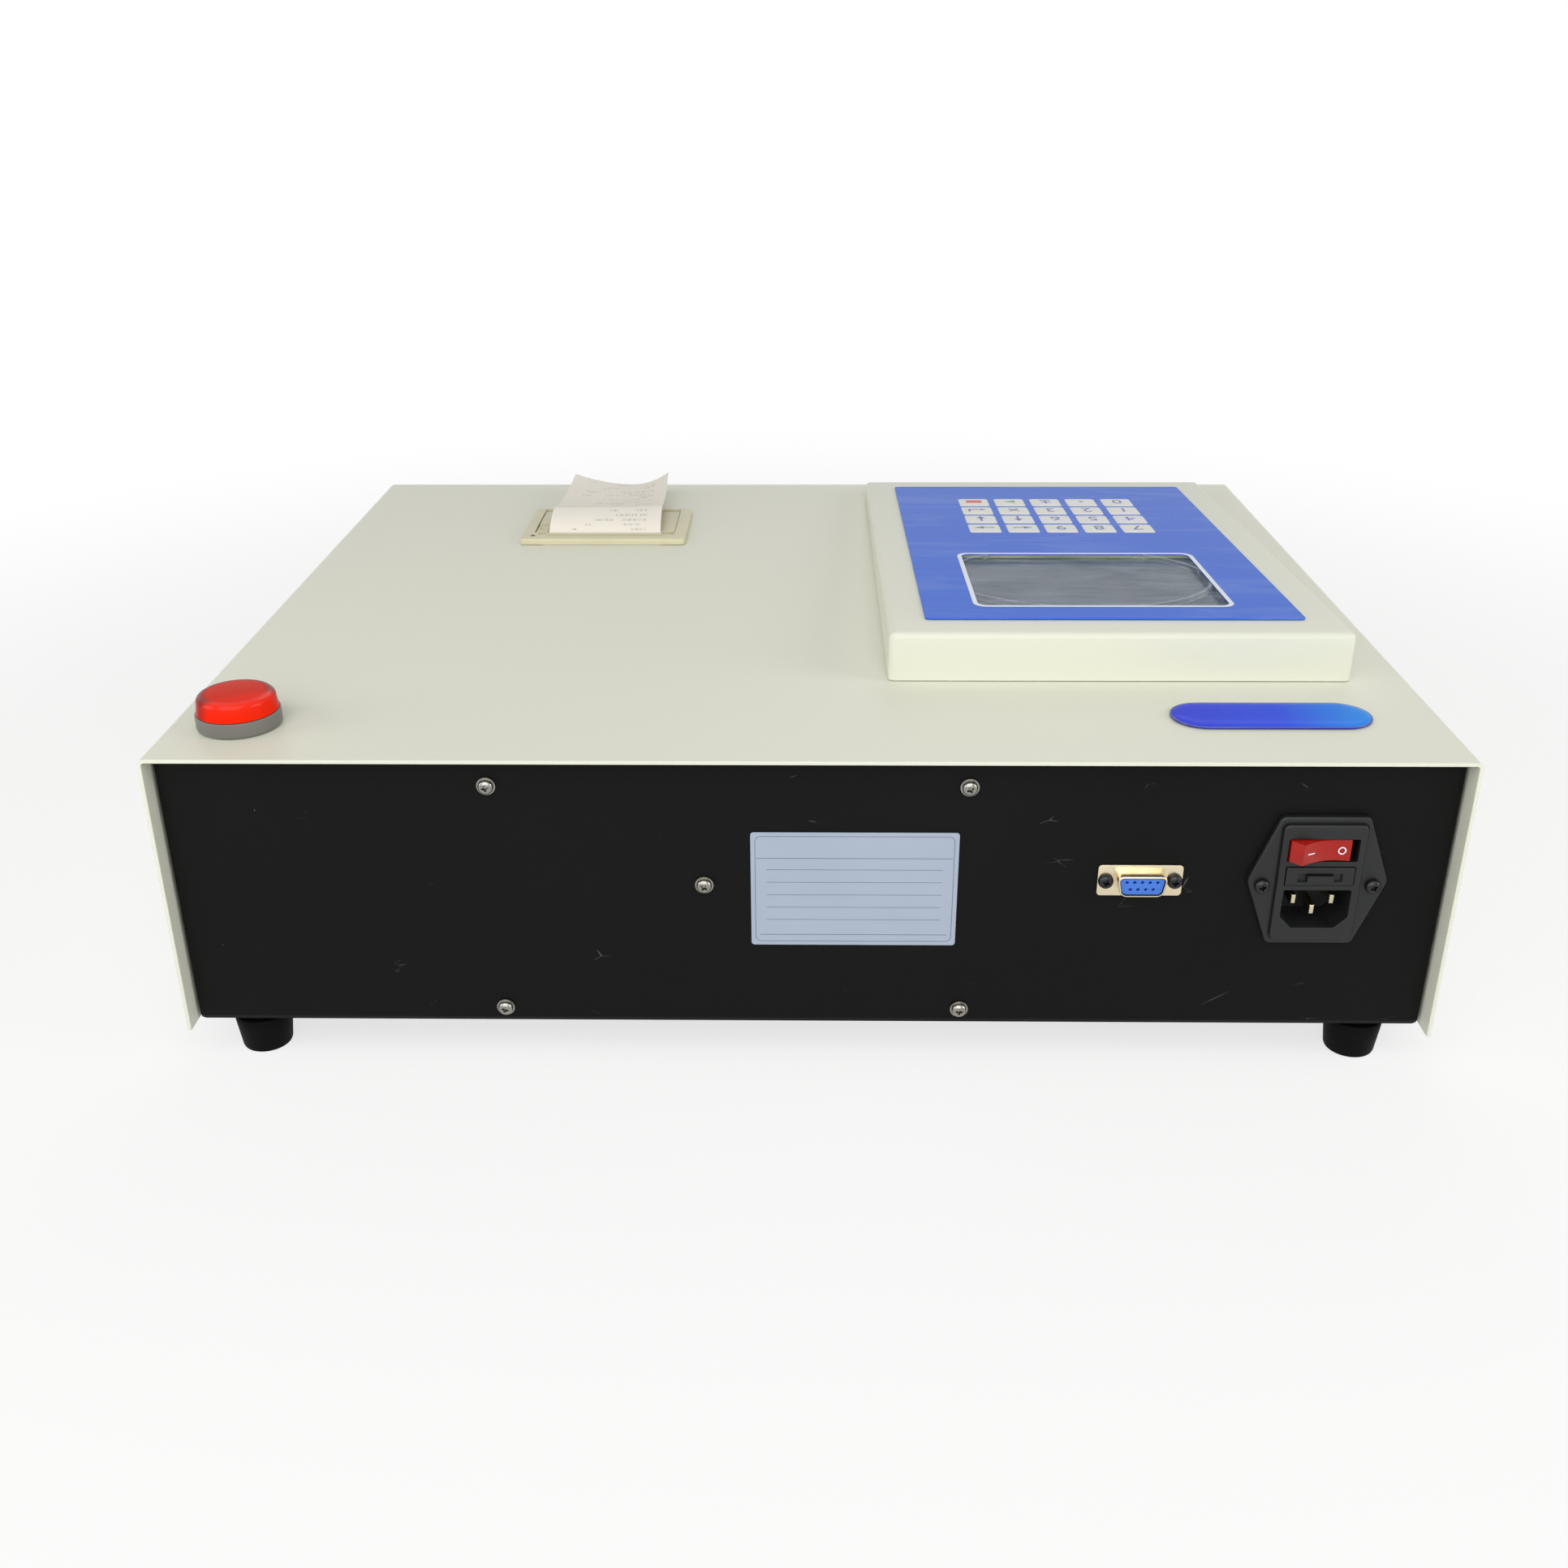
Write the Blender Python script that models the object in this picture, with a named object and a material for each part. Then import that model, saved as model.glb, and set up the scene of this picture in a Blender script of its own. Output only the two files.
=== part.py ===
"""Benchtop x-ray fluorescence analyser for pressed powder samples, built piece by piece.

Metres, +Z up. The user sits at -Y, the connectors are at +Y, and +X is at the user's right hand.
The origin is under the middle of the whole body, on the surface that the rubber feet stand on.
"""

import math

import bmesh
import bpy
from mathutils import Matrix, Vector

# Sheet metal and clearances
SHEET = 0.0015            # wall of every folded sheet
BEND = 0.0025             # outside radius of a fold
SEAT = 0.0003             # gap kept where two pieces touch
SLACK = 0.0005            # gap round what passes through a hole or beside a seam
SMALL_EDGE = 0.001        # small chamfer of turned and moulded pieces
OVERRUN = 0.003           # how far a cutter runs past the wall that it cuts
FOLD_STEPS = 2
SMOOTH_ANGLE = math.radians(35)

# Case
CASE_WIDTH = 0.470
CASE_DEPTH = 0.376
CASE_HEIGHT = 0.113       # from the cover's top face to its lower edge
PANEL_RECESS = 0.007      # the end panels stand back from the cover's edges
TOP_FLANGE = 0.010
END_FLANGE = 0.009
SIDE_FLANGE = 0.022

# Feet, each with a bonded stud
FOOT_HEIGHT = 0.018
FOOT_RADIUS = 0.011
FOOT_BASE_RADIUS = 0.0095
FOOT_COLLAR_RADIUS = 0.0085
FOOT_COLLAR = 0.003
FOOT_INSET_X = 0.022
FOOT_INSET_Y = 0.021
FOOT_STUD_RADIUS = 0.002
FOOT_STUD = 0.006

# Screws and the press nuts that they turn into
SCREW_RADIUS = 0.0015
HEAD_RADIUS = 0.0028
HEAD_HEIGHT = 0.0021
HEAD_CROWN_SHARES = ((0.0, 1.0), (0.8, 0.8), (1.0, 0.0))
SHORT_SCREW = 0.006
LONG_SCREW = 0.009
NUT_RADIUS = 0.0028
NUT_HEIGHT = 0.0020
WASHER_RADIUS = 0.0034
WASHER_HEIGHT = 0.0005
SCREW_SIDES = 10
PIN_SIDES = 8
ROUND_SIDES = 20

# Cover screws along each side
COVER_SCREW_HEIGHT = 0.011
COVER_SCREW_SPAN = 0.290

# Rear panel screws, in a rectangle that holds the bracket behind the panel
REAR_SCREWS_X = 0.028
REAR_SCREWS_DROP = 0.0593
REAR_SPAN_SHARE = 0.3664  # of the case's width
REAR_SPAN_Z = 0.0930
EARTH_SCREW_X = 0.0372
EARTH_SCREW_DROP = 0.0526

# Rating label
LABEL_X = -0.0176
LABEL_DROP = 0.0544
LABEL_WIDTH = 0.0755
LABEL_HEIGHT = 0.0468
LABEL_THICKNESS = 0.0002
LABEL_CORNER = 0.0012

# Mains inlet
INLET_FROM_SIDE = 0.0499
INLET_DROP = 0.0507
INLET_WIDTH = 0.0507
INLET_HEIGHT = 0.0486
INLET_EDGE = 0.032        # length of the flange's top and bottom edges
INLET_FLANGE = 0.0024
INLET_RIM = 0.0040
INLET_RIM_WIDTH = 0.0300
INLET_RIM_HEIGHT = 0.0436
INLET_BODY_WIDTH = 0.0264
INLET_BODY_HEIGHT = 0.0446
INLET_BODY_DEPTH = 0.0300
INLET_SCREW_SPAN = 0.0400
INLET_BEVEL = 0.0005
CAVITY_WIDTH = 0.0245
CAVITY_HEIGHT = 0.0156
CAVITY_CHAMFER = 0.0044
CAVITY_DEPTH = 0.0165
CAVITY_DROP = 0.0090      # cavity's middle below the flange's middle
BLADE_THICKNESS = 0.0020
BLADE_HEIGHT = 0.0040
BLADE_SPACING = 0.0140
BLADE_TIP = 0.0020        # line and neutral end this far inside the rim
EARTH_TIP = 0.0008
BLADE_RAISE = 0.0020
EARTH_LOWER = 0.0020
BLADE_TAIL = 0.0080
FUSE_SLOT_WIDTH = 0.0250
FUSE_SLOT_HEIGHT = 0.0078
FUSE_SLOT_RAISE = 0.0046
FUSE_SLOT_DEPTH = 0.0220
FUSE_FACE = 0.0020
FUSE_GRIP_WIDTH = 0.0100
FUSE_GRIP_HEIGHT = 0.0022
FUSE_GRIP_PROUD = 0.0012
FUSE_RADIUS = 0.0026
FUSE_LENGTH = 0.0200
FUSE_CAP = 0.0050
FUSE_GLASS_RADIUS = 0.0024
FUSE_WALL = 0.0010

# Rocker switch in the inlet's window
ROCKER_WIDTH = 0.0242
ROCKER_HEIGHT = 0.0084
ROCKER_RAISE = 0.0149
ROCKER_TILT = math.radians(13)
ROCKER_RIDGE = 0.0092     # from the pivot to the ridge near each end
ROCKER_CREST = 0.00327    # the ridges stand this far over the pivot
ROCKER_SHOULDER = 0.0006  # the paddle's ends slope down to this far under the pivot
ROCKER_SIDE = 0.0034
ROCKER_KEEL_RADIUS = 0.0074
ROCKER_PIN_RADIUS = 0.0012
ROCKER_PIN = 0.0008
ROCKER_WELL_DEPTH = 0.0130
ROCKER_AXIS_DEPTH = 0.0012

# Nine-way serial socket
SERIAL_FROM_SIDE = 0.1136
SERIAL_DROP = 0.0498
SERIAL_FLANGE_WIDTH = 0.0308
SERIAL_FLANGE_HEIGHT = 0.0125
SERIAL_FLANGE = 0.0008
SERIAL_CORNER = 0.0012
SERIAL_SCREW_SPAN = 0.0250
SERIAL_SHELL_WIDTH = 0.0170
SERIAL_SHELL_HEIGHT = 0.0084
SERIAL_SHELL_WALL = 0.0006
SERIAL_SHELL_REACH = 0.0060
SERIAL_LEAN = math.radians(10)
SERIAL_ROUND = 0.0022
SERIAL_BACK = 0.0080
SERIAL_BACK_WIDTH = 0.0190
SERIAL_BACK_HEIGHT = 0.0100
SERIAL_PITCH = 0.00277
SERIAL_ROW_GAP = 0.00284
SERIAL_HOLE = 0.00055
SERIAL_HOLE_DEPTH = 0.0030

# Warning lamp
LAMP_FROM_SIDE = 0.0267
LAMP_FROM_REAR = 0.032
LAMP_RADIUS = 0.01525
LAMP_LENS_RADIUS = 0.0146
LAMP_CROWN_RADIUS = 0.0122
LAMP_BASE = 0.0060
LAMP_HEIGHT = 0.0135
LAMP_WALL = 0.0016
LAMP_STEM_RADIUS = 0.0080
LAMP_STEM = 0.0080
LAMP_BORE = 0.0050
LAMP_BARB = 0.0009
LAMP_SLIT = 0.0020
LAMP_BOARD_RADIUS = 0.0100
LAMP_BOARD = 0.0016
LAMP_LED = 0.0015
LAMP_LED_RING = 0.0062
LAMP_LED_COUNT = 6

# Badge
BADGE_FROM_SIDE = 0.0635
BADGE_FROM_REAR = 0.0407
BADGE_LENGTH = 0.0740
BADGE_WIDTH = 0.0240
BADGE_THICKNESS = 0.0013
BADGE_DOME = 0.0006

# Control console
CONSOLE_FROM_SIDE = 0.1132
CONSOLE_FROM_REAR = 0.0758
CONSOLE_WIDTH = 0.180
CONSOLE_DEPTH = 0.276
CONSOLE_REAR = 0.020
CONSOLE_FRONT = 0.008
CONSOLE_POST_RADIUS = 0.0035
CONSOLE_POST_INSET_X = 0.009
CONSOLE_POST_INSET_Y = 0.014
CONSOLE_WELL_X = 0.120
CONSOLE_WELL_Y = 0.150
STUD_RADIUS = 0.0015
DISPLAY_STUD = 0.0110
BOARD_STUD = 0.0068

# Keypad overlay
OVERLAY_WIDTH = 0.150
OVERLAY_LENGTH = 0.242
OVERLAY_CORNER = 0.002
FILM = 0.0005
KEY_COLUMNS = 5
KEY_ROWS = 4
KEY_WIDTH = 0.0158
KEY_LENGTH = 0.0163
KEY_PITCH_X = 0.0179
KEY_PITCH_Y = 0.0191
KEYS_SHARE = 0.2405         # of the film's length, from its middle to the keys' middle
KEY_RISE = 0.00035
KEY_CORNER = 0.0012

# Display
WINDOW_X = 0.0012
WINDOW_SHARE = 0.2508       # of the film's length, from its middle to the window's middle
WINDOW_WIDTH = 0.1015
WINDOW_LENGTH = 0.0800
WINDOW_CORNER = 0.004
MODULE_WIDTH = 0.120
MODULE_LENGTH = 0.096
MODULE_THICKNESS = 0.0052
MODULE_BOARD_WIDTH = 0.134
MODULE_BOARD_LENGTH = 0.106
BOARD_THICKNESS = 0.0016
STUD_INSET = 0.004
KEY_BOARD_WIDTH = 0.120
KEY_BOARD_LENGTH = 0.084
KEY_BOARD_DROP = 0.0035
KEY_BOARD_PART = 0.0020

# Panel printer, measured from the middle of its bezel on the cover
PRINTER_FROM_SIDE = 0.1335
PRINTER_FROM_REAR = 0.2845
BEZEL_LIP = 0.0030        # past the skirt at each side
BEZEL_LENGTH = 0.060
BEZEL_HEIGHT = 0.0033
BEZEL_CORNER = 0.002
BEZEL_EDGE = 0.001
SKIRT_WALL = 0.0027       # from the window to the skirt's outside
SKIRT_LENGTH = 0.0574
SKIRT_DEPTH = 0.0060
PAPER_MARGIN = 0.0068     # from the paper's edge to the window's
HATCH_FAR = 0.0275        # from the middle to the window's edge at the user's side
HATCH_NEAR = 0.0153       # from the middle to the slot's fixed edge
BEZEL_PLATE = 0.0021
HEAD_BAY = 0.0259
TEAR_STEP = 0.0007
TEAR_EDGE = 0.0200
LED_MARGIN = 0.0013       # past the window's edge
LED_RADIUS = 0.0012
LED_DEPTH = 0.0015
BUCKET_DEPTH = 0.046
BUCKET_WALL = 0.0016
DIVIDER = 0.0012
DIVIDER_TOP = 0.020
DIVIDER_END = 0.010

# Printer door with its platen roller
HINGE_Y = -0.0247
HINGE_Z = 0.0004
HINGE_PIN_RADIUS = 0.0008
BARREL_RADIUS = 0.0024
DOOR_THICKNESS = 0.0020
DOOR_EDGE_Y = 0.0119
CHEEK_THICKNESS = 0.0016
CHEEK_ROUND = 0.0034
PLATEN_Y = 0.0093
PLATEN_Z = -0.0045
PLATEN_RADIUS = 0.0040
SHAFT_RADIUS = 0.0015
BUTTON_LENGTH = 0.0126
BUTTON_DROP = 0.0002      # its top face lies this far under the door's
BUTTON_THICKNESS = 0.0014
BUTTON_STEM_INSET = 0.0020
BUTTON_STEM_Y = 0.0048
BUTTON_STEM_RADIUS = 0.0009
BUTTON_STEM = 0.0068
BUTTON_LUG = 0.0016
BUTTON_LUG_HALF = 0.0025

# Gear train of the printer
GEAR_MODULE = 0.0005
GEAR_FACE = 0.0020
GEAR_INSET = 0.0020       # from the window's edge to the gears' outer side
PLATEN_TEETH = 16
IDLER_TEETH = 16
PINION_TEETH = 10
ADDENDUM_SHARE = 0.80
DEDENDUM_SHARE = 1.20
TIP_SHARE = 0.10
PITCH_SHARE = 0.205
ROOT_SHARE = 0.31
IDLER_ANGLE = math.radians(-49.5)     # from the platen gear to the idler
PINION_ANGLE = math.radians(-26.5)    # from the idler to the pinion
IDLER_STUD_RADIUS = 0.0010
PINION_SHAFT_RADIUS = 0.00075
MOTOR_RADIUS = 0.0046
MOTOR_LENGTH = 0.0120
MOTOR_GAP = 0.0013
MOTOR_MOUTH = 0.0030

# Thermal head and paper
HEAD_FRONT = 0.0141
HEAD_BACK = 0.0255
HEAD_LOW = -0.0082
HEAD_CHAMFER = 0.0014
PAPER_WIDTH = 0.0570
PAPER_THICKNESS = 0.00015
PAPER_X = 0.0004
PAPER_Y = 0.0137
PAPER_START = -0.0030
PAPER_LIFT = 0.0110
PAPER_CREASE_Y = -0.0055
PAPER_END_Y = -0.0675
PAPER_END_LIFT = 0.0088
PAPER_CURL = 0.0035
PAPER_ROWS = 14
PAPER_COLUMNS = 6
ROLL_RADIUS = 0.0150
ROLL_CORE_RADIUS = 0.0060
ROLL_Y = -0.0055

# Sample drawer
SAMPLE_GAP = 0.0065       # from the printer's well to the measuring block
DRAWER_WIDTH = 0.080
DRAWER_HEIGHT = 0.024
DRAWER_LIFT = 0.0105      # above the chassis floor
DRAWER_LENGTH = 0.160
DRAWER_WALL = 0.003
CUP_FROM_FRONT = 0.096
CUP_RADIUS = 0.0220
CUP_WALL = 0.0030
CUP_FLOOR = 0.0020
CUP_HEIGHT = 0.0130
FACE_WIDTH = 0.104
FACE_HEIGHT = 0.042
FACE_THICKNESS = 0.004
FACE_CORNER = 0.003
FACE_EDGE = 0.0008
KNOB_RADIUS = 0.0125
KNOB_NECK_RADIUS = 0.0060
KNOB_NECK = 0.0080
KNOB_LENGTH = 0.0220
KNOB_SPIGOT = 0.0030
KNOB_EDGE = 0.0015
RAIL_DEPTH = 0.0026
RAIL_HEIGHT = 0.0140
RAIL_LIP = 0.0030
RAIL_WALL = 0.0009
RAIL_LENGTH = 0.160
RUNNER_LENGTH = 0.156
RUNNER_HEIGHT = 0.0066
RUNNER_REACH = 0.0034

# Shielded measuring head over the drawer
FRAME_WALL = 0.002
FRAME_HALF = 0.0450
FRAME_LENGTH = 0.168
FRAME_HEIGHT = 0.0400
FRAME_FOOT = 0.010
PORT_RADIUS = 0.0170
HEAD_BLOCK_WIDTH = 0.084
HEAD_BLOCK_LENGTH = 0.080
HEAD_BLOCK_HEIGHT = 0.036
BORE_SPACING = 0.039
TUBE_RADIUS = 0.0150
TUBE_LENGTH = 0.115
TUBE_NECK_RADIUS = 0.0105
TUBE_NECK = 0.022
DETECTOR_RADIUS = 0.0130
DETECTOR_LENGTH = 0.096
DETECTOR_SOCKET_RADIUS = 0.0090
DETECTOR_SOCKET = 0.014

# Bracket, supplies and boards inside
BRACKET_WALL = 0.002
BRACKET_MARGIN = 0.0069    # past the rear screws at each side
BRACKET_HEIGHT = 0.1035
BRACKET_SHELF = 0.104
BOSS_RADIUS = 0.0031
BOSS_LENGTH = 0.0045
SUPPLY_MARGIN = 0.018      # from the bracket's side to the supply's
SUPPLY_LENGTH = 0.084
SUPPLY_HEIGHT = 0.040
SUPPLY_STEP = 0.014
SUPPLY_SLOTS = 7
SUPPLY_SLOT_WIDTH = 0.004
SUPPLY_SLOT_DEPTH = 0.002
HV_SIDE_GAP = 0.032
HV_BRACKET_GAP = 0.012
HV_FROM_REAR = 0.120
HV_LENGTH = 0.104
HV_HEIGHT = 0.042
HV_SOCKET_RADIUS = 0.009
HV_SOCKET = 0.012
HV_EAR = 0.009
HV_EAR_THICKNESS = 0.003
MAIN_BOARD_SIDE_GAP = 0.023
MAIN_BOARD_FRAME_GAP = 0.022
MAIN_BOARD_FROM_REAR = 0.225
MAIN_BOARD_LENGTH = 0.150
STANDOFF_RADIUS = 0.003
STANDOFF = 0.010
CHIP_HEIGHT = 0.0018
CHIP_SHARES = ((-0.18, 0.10, 0.22, 0.22), (0.22, 0.22, 0.12, 0.16), (0.20, -0.20, 0.16, 0.12))
SOCKET_HEIGHT = 0.009
SOCKET_SHARES = ((-0.30, -0.38, 0.24, 0.07), (0.10, -0.38, 0.20, 0.07), (-0.40, 0.05, 0.07, 0.30))
CAPACITOR_RADIUS = 0.005
CAPACITOR_HEIGHT = 0.016
CAPACITOR_SHARES = ((0.38, 0.36), (0.38, 0.24))

# Places worked out from the sizes above
DRAWER_REACH = KNOB_LENGTH + FACE_THICKNESS + SEAT - PANEL_RECESS + SEAT
ROCKER_TIP = ROCKER_CREST * math.cos(ROCKER_TILT) + ROCKER_RIDGE * math.sin(ROCKER_TILT)
ROCKER_REACH = SEAT + INLET_RIM - ROCKER_AXIS_DEPTH + ROCKER_TIP - PANEL_RECESS
COVER_TOP = FOOT_HEIGHT + CASE_HEIGHT
COVER_REAR = (CASE_DEPTH + DRAWER_REACH - ROCKER_REACH) / 2
COVER_FRONT = COVER_REAR - CASE_DEPTH
REAR_FACE = COVER_REAR - PANEL_RECESS
FRONT_FACE = COVER_FRONT + PANEL_RECESS
FLOOR_TOP = FOOT_HEIGHT + SHEET
TRAY_HALF = CASE_WIDTH / 2 - SHEET - SLACK
CONSOLE_SLOPE = math.atan2(CONSOLE_REAR - CONSOLE_FRONT, CONSOLE_DEPTH)
DRAWER_LOW = FLOOR_TOP + DRAWER_LIFT
RAIL_MIDDLE = DRAWER_LOW + DRAWER_HEIGHT / 2
CUP_Y = FRONT_FACE + CUP_FROM_FRONT
FRAME_TOP = FLOOR_TOP + SEAT + FRAME_HEIGHT

# Places across the case, from its sides
INLET_X = INLET_FROM_SIDE - CASE_WIDTH / 2
SERIAL_X = SERIAL_FROM_SIDE - CASE_WIDTH / 2
BADGE_X = BADGE_FROM_SIDE - CASE_WIDTH / 2
CONSOLE_X = CONSOLE_FROM_SIDE - CASE_WIDTH / 2
LAMP_X = CASE_WIDTH / 2 - LAMP_FROM_SIDE
PRINTER_X = CASE_WIDTH / 2 - PRINTER_FROM_SIDE
REAR_SPAN_X = CASE_WIDTH * REAR_SPAN_SHARE
BRACKET_WIDTH = REAR_SPAN_X + 2 * BRACKET_MARGIN
SUPPLY_WIDTH = BRACKET_WIDTH - 2 * SUPPLY_MARGIN
HV_WIDTH = CASE_WIDTH / 2 - HV_SIDE_GAP - REAR_SCREWS_X - BRACKET_WIDTH / 2 - HV_BRACKET_GAP
HV_X = CASE_WIDTH / 2 - HV_SIDE_GAP - HV_WIDTH / 2

# Places along the keypad film
KEY_CENTRE_Y = -OVERLAY_LENGTH * KEYS_SHARE
WINDOW_Y = OVERLAY_LENGTH * WINDOW_SHARE

# Widths of the printer's pieces, from the paper's width
WINDOW_HALF = PAPER_WIDTH / 2 + PAPER_MARGIN
SKIRT_WIDTH = 2 * (WINDOW_HALF + SKIRT_WALL)
BEZEL_WIDTH = SKIRT_WIDTH + 2 * BEZEL_LIP
LED_X = WINDOW_HALF + LED_MARGIN
DOOR_HALF = WINDOW_HALF - SEAT
HINGE_PIN_HALF = SKIRT_WIDTH / 2 - HINGE_PIN_RADIUS
GEAR_SIDE = WINDOW_HALF - GEAR_INSET
CHEEK_INSIDE = GEAR_SIDE - GEAR_FACE - SLACK - CHEEK_THICKNESS
MOTOR_FACE = GEAR_SIDE - GEAR_FACE - MOTOR_GAP
PLATEN_HALF = PAPER_WIDTH / 2 + SEAT
HEAD_HALF = PAPER_WIDTH / 2 + SLACK
BUTTON_INSIDE = CHEEK_INSIDE - SEAT
BUTTON_STEM_X = DOOR_HALF - BUTTON_STEM_INSET

# The measuring part stands beside the printer's well, and the main board beside the bridge
SAMPLE_X = PRINTER_X - SKIRT_WIDTH / 2 - SAMPLE_GAP - HEAD_BLOCK_WIDTH / 2
MAIN_BOARD_SIDE = MAIN_BOARD_SIDE_GAP - CASE_WIDTH / 2
MAIN_BOARD_WIDTH = SAMPLE_X - FRAME_HALF - FRAME_FOOT - MAIN_BOARD_FRAME_GAP - MAIN_BOARD_SIDE
MAIN_BOARD_X = MAIN_BOARD_SIDE + MAIN_BOARD_WIDTH / 2


def from_rear(distance):
    """Y of a place that lies this far in front of the cover's rear edge."""
    return COVER_REAR - distance


def below_top(distance):
    """Z of a place that lies this far under the cover's top face."""
    return COVER_TOP - distance


# Scene and finishes

def clear_scene():
    """Empty the scene that Blender starts with."""
    for thing in list(bpy.data.objects):
        bpy.data.objects.remove(thing, do_unlink=True)


def linear(code):
    """Linear colour of an sRGB hex code."""
    channels = [int(code[i:i + 2], 16) / 255 for i in (0, 2, 4)]
    return [c / 12.92 if c <= 0.04045 else ((c + 0.055) / 1.055) ** 2.4 for c in channels]


def look(name, code, roughness, metallic=0.0, alpha=1.0):
    """One finish: colour, roughness, metal share and how solid it looks."""
    material = bpy.data.materials.new(name)
    material.use_nodes = True
    shader = material.node_tree.nodes["Principled BSDF"]
    shader.inputs["Base Color"].default_value = (*linear(code), 1.0)
    shader.inputs["Roughness"].default_value = roughness
    shader.inputs["Metallic"].default_value = metallic
    shader.inputs["Alpha"].default_value = alpha
    return material


def anchor(name, place, turn=0.0, parent=None):
    """An empty that carries pieces: a joint's axis or a sub-assembly's datum, turned about X."""
    empty = bpy.data.objects.new(name, None)
    bpy.context.collection.objects.link(empty)
    empty.location = place
    empty.rotation_euler = (turn, 0.0, 0.0)
    empty.parent = parent
    return empty


# Modelling helpers

def stand(axis, u, v, w):
    """Point of a profile whose plane is square to an axis: u, v in the plane and w along the axis."""
    return {"X": (w, u, v), "Y": (u, w, v), "Z": (u, v, w)}[axis]


def box(shape, low, high):
    """Closed block between two corners."""
    size = [b - a for a, b in zip(low, high)]
    middle = [(a + b) / 2 for a, b in zip(low, high)]
    matrix = Matrix.Translation(middle) @ Matrix.Diagonal((*size, 1.0))
    return bmesh.ops.create_cube(shape, size=1.0, matrix=matrix)["verts"]


def block(shape, middle, size):
    """Closed block from its middle and size."""
    low = [m - s / 2 for m, s in zip(middle, size)]
    high = [m + s / 2 for m, s in zip(middle, size)]
    return box(shape, low, high)


def prism(shape, outline, axis, low, high):
    """Closed solid: an outline run along an axis."""
    ring = [shape.verts.new(stand(axis, u, v, low)) for u, v in outline]
    cap = shape.faces.new(ring)
    grown = bmesh.ops.extrude_face_region(shape, geom=[cap])["geom"]
    moved = [g for g in grown if isinstance(g, bmesh.types.BMVert)]
    bmesh.ops.translate(shape, verts=moved, vec=stand(axis, 0.0, 0.0, high - low))
    return ring + moved


def turned(shape, profile, axis, centre, sides, ring=False):
    """Solid of revolution of (radius, height) points about an axis; ring closes the profile."""
    points = [shape.verts.new(stand(axis, r, 0.0, h)) for r, h in profile]
    lines = [shape.edges.new(pair) for pair in zip(points, points[1:])]
    if ring:
        lines.append(shape.edges.new((points[-1], points[0])))
    before = set(shape.verts) - set(points)
    bmesh.ops.spin(shape, geom=points + lines, cent=(0.0, 0.0, 0.0), axis=stand(axis, 0.0, 0.0, 1.0),
                   dvec=(0.0, 0.0, 0.0), angle=math.tau, steps=sides, use_merge=True)
    made = [v for v in shape.verts if v not in before]
    bmesh.ops.remove_doubles(shape, verts=made, dist=SEAT / 1000)
    made = [v for v in shape.verts if v not in before]
    bmesh.ops.translate(shape, verts=made, vec=centre)
    return made


def rod(shape, radius, low, high, axis, centre, sides):
    """Plain cylinder along an axis, between two heights from its centre."""
    return turned(shape, ((0.0, low), (radius, low), (radius, high), (0.0, high)), axis, centre, sides)


def soften(shape, chosen, radius, steps):
    """Round the edges that a test picks."""
    edges = [edge for edge in shape.edges if chosen(edge)]
    bmesh.ops.bevel(shape, geom=edges, offset=radius, offset_type="OFFSET", segments=steps,
                    profile=0.5, affect="EDGES", material=-1)


def along(edge, axis):
    """True where an edge runs along an axis."""
    line = edge.verts[1].co - edge.verts[0].co
    return abs(line["XYZ".index(axis)]) > line.length * 0.999


def at_height(edge, height):
    """True where both ends of an edge lie at a height."""
    return all(abs(vert.co.z - height) < SEAT / 10 for vert in edge.verts)


def arc(centre, radius, start, end, steps):
    """Points along an arc, angles in radians."""
    turns = [start + (end - start) * i / steps for i in range(steps + 1)]
    return [(centre[0] + radius * math.cos(t), centre[1] + radius * math.sin(t)) for t in turns]


def rounded(width, height, radius, steps=4, middle=(0.0, 0.0)):
    """Outline of a rectangle with round corners."""
    half_u, half_v = width / 2 - radius, height / 2 - radius
    points = []
    for quarter, (su, sv) in enumerate(((1, 1), (-1, 1), (-1, -1), (1, -1))):
        corner = (middle[0] + su * half_u, middle[1] + sv * half_v)
        points += arc(corner, radius, quarter * math.pi / 2, (quarter + 1) * math.pi / 2, steps)
    return points


def filleted(path, radius, steps):
    """An open path with its inner corners rounded."""
    points = [path[0]]
    for before, corner, after in zip(path, path[1:], path[2:]):
        before, corner, after = Vector(before), Vector(corner), Vector(after)
        back, ahead = (before - corner).normalized(), (after - corner).normalized()
        half = back.angle(ahead) / 2
        centre = corner + (back + ahead).normalized() * radius / math.sin(half)
        start = corner + back * radius / math.tan(half) - centre
        end = corner + ahead * radius / math.tan(half) - centre
        sweep = start.angle_signed(end)
        for i in range(steps + 1):
            turn = Matrix.Rotation(-sweep * i / steps, 2)
            points.append(tuple(centre + turn @ start))
    points.append(path[-1])
    return points


def folded(path, wall, radius, steps=FOLD_STEPS):
    """Outline of a sheet folded along a path of outside corners; the wall grows to the path's left."""
    inner = []
    for i, point in enumerate(path):
        point = Vector(point)
        sides = []
        if i:
            line = (point - Vector(path[i - 1])).normalized()
            sides.append(Vector((-line.y, line.x)))
        if i < len(path) - 1:
            line = (Vector(path[i + 1]) - point).normalized()
            sides.append(Vector((-line.y, line.x)))
        total = sum(sides, Vector((0.0, 0.0)))
        inner.append(tuple(point + total * wall / total.dot(sides[0])))
    return filleted(path, radius, steps) + filleted(inner, radius - wall, steps)[::-1]


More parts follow.
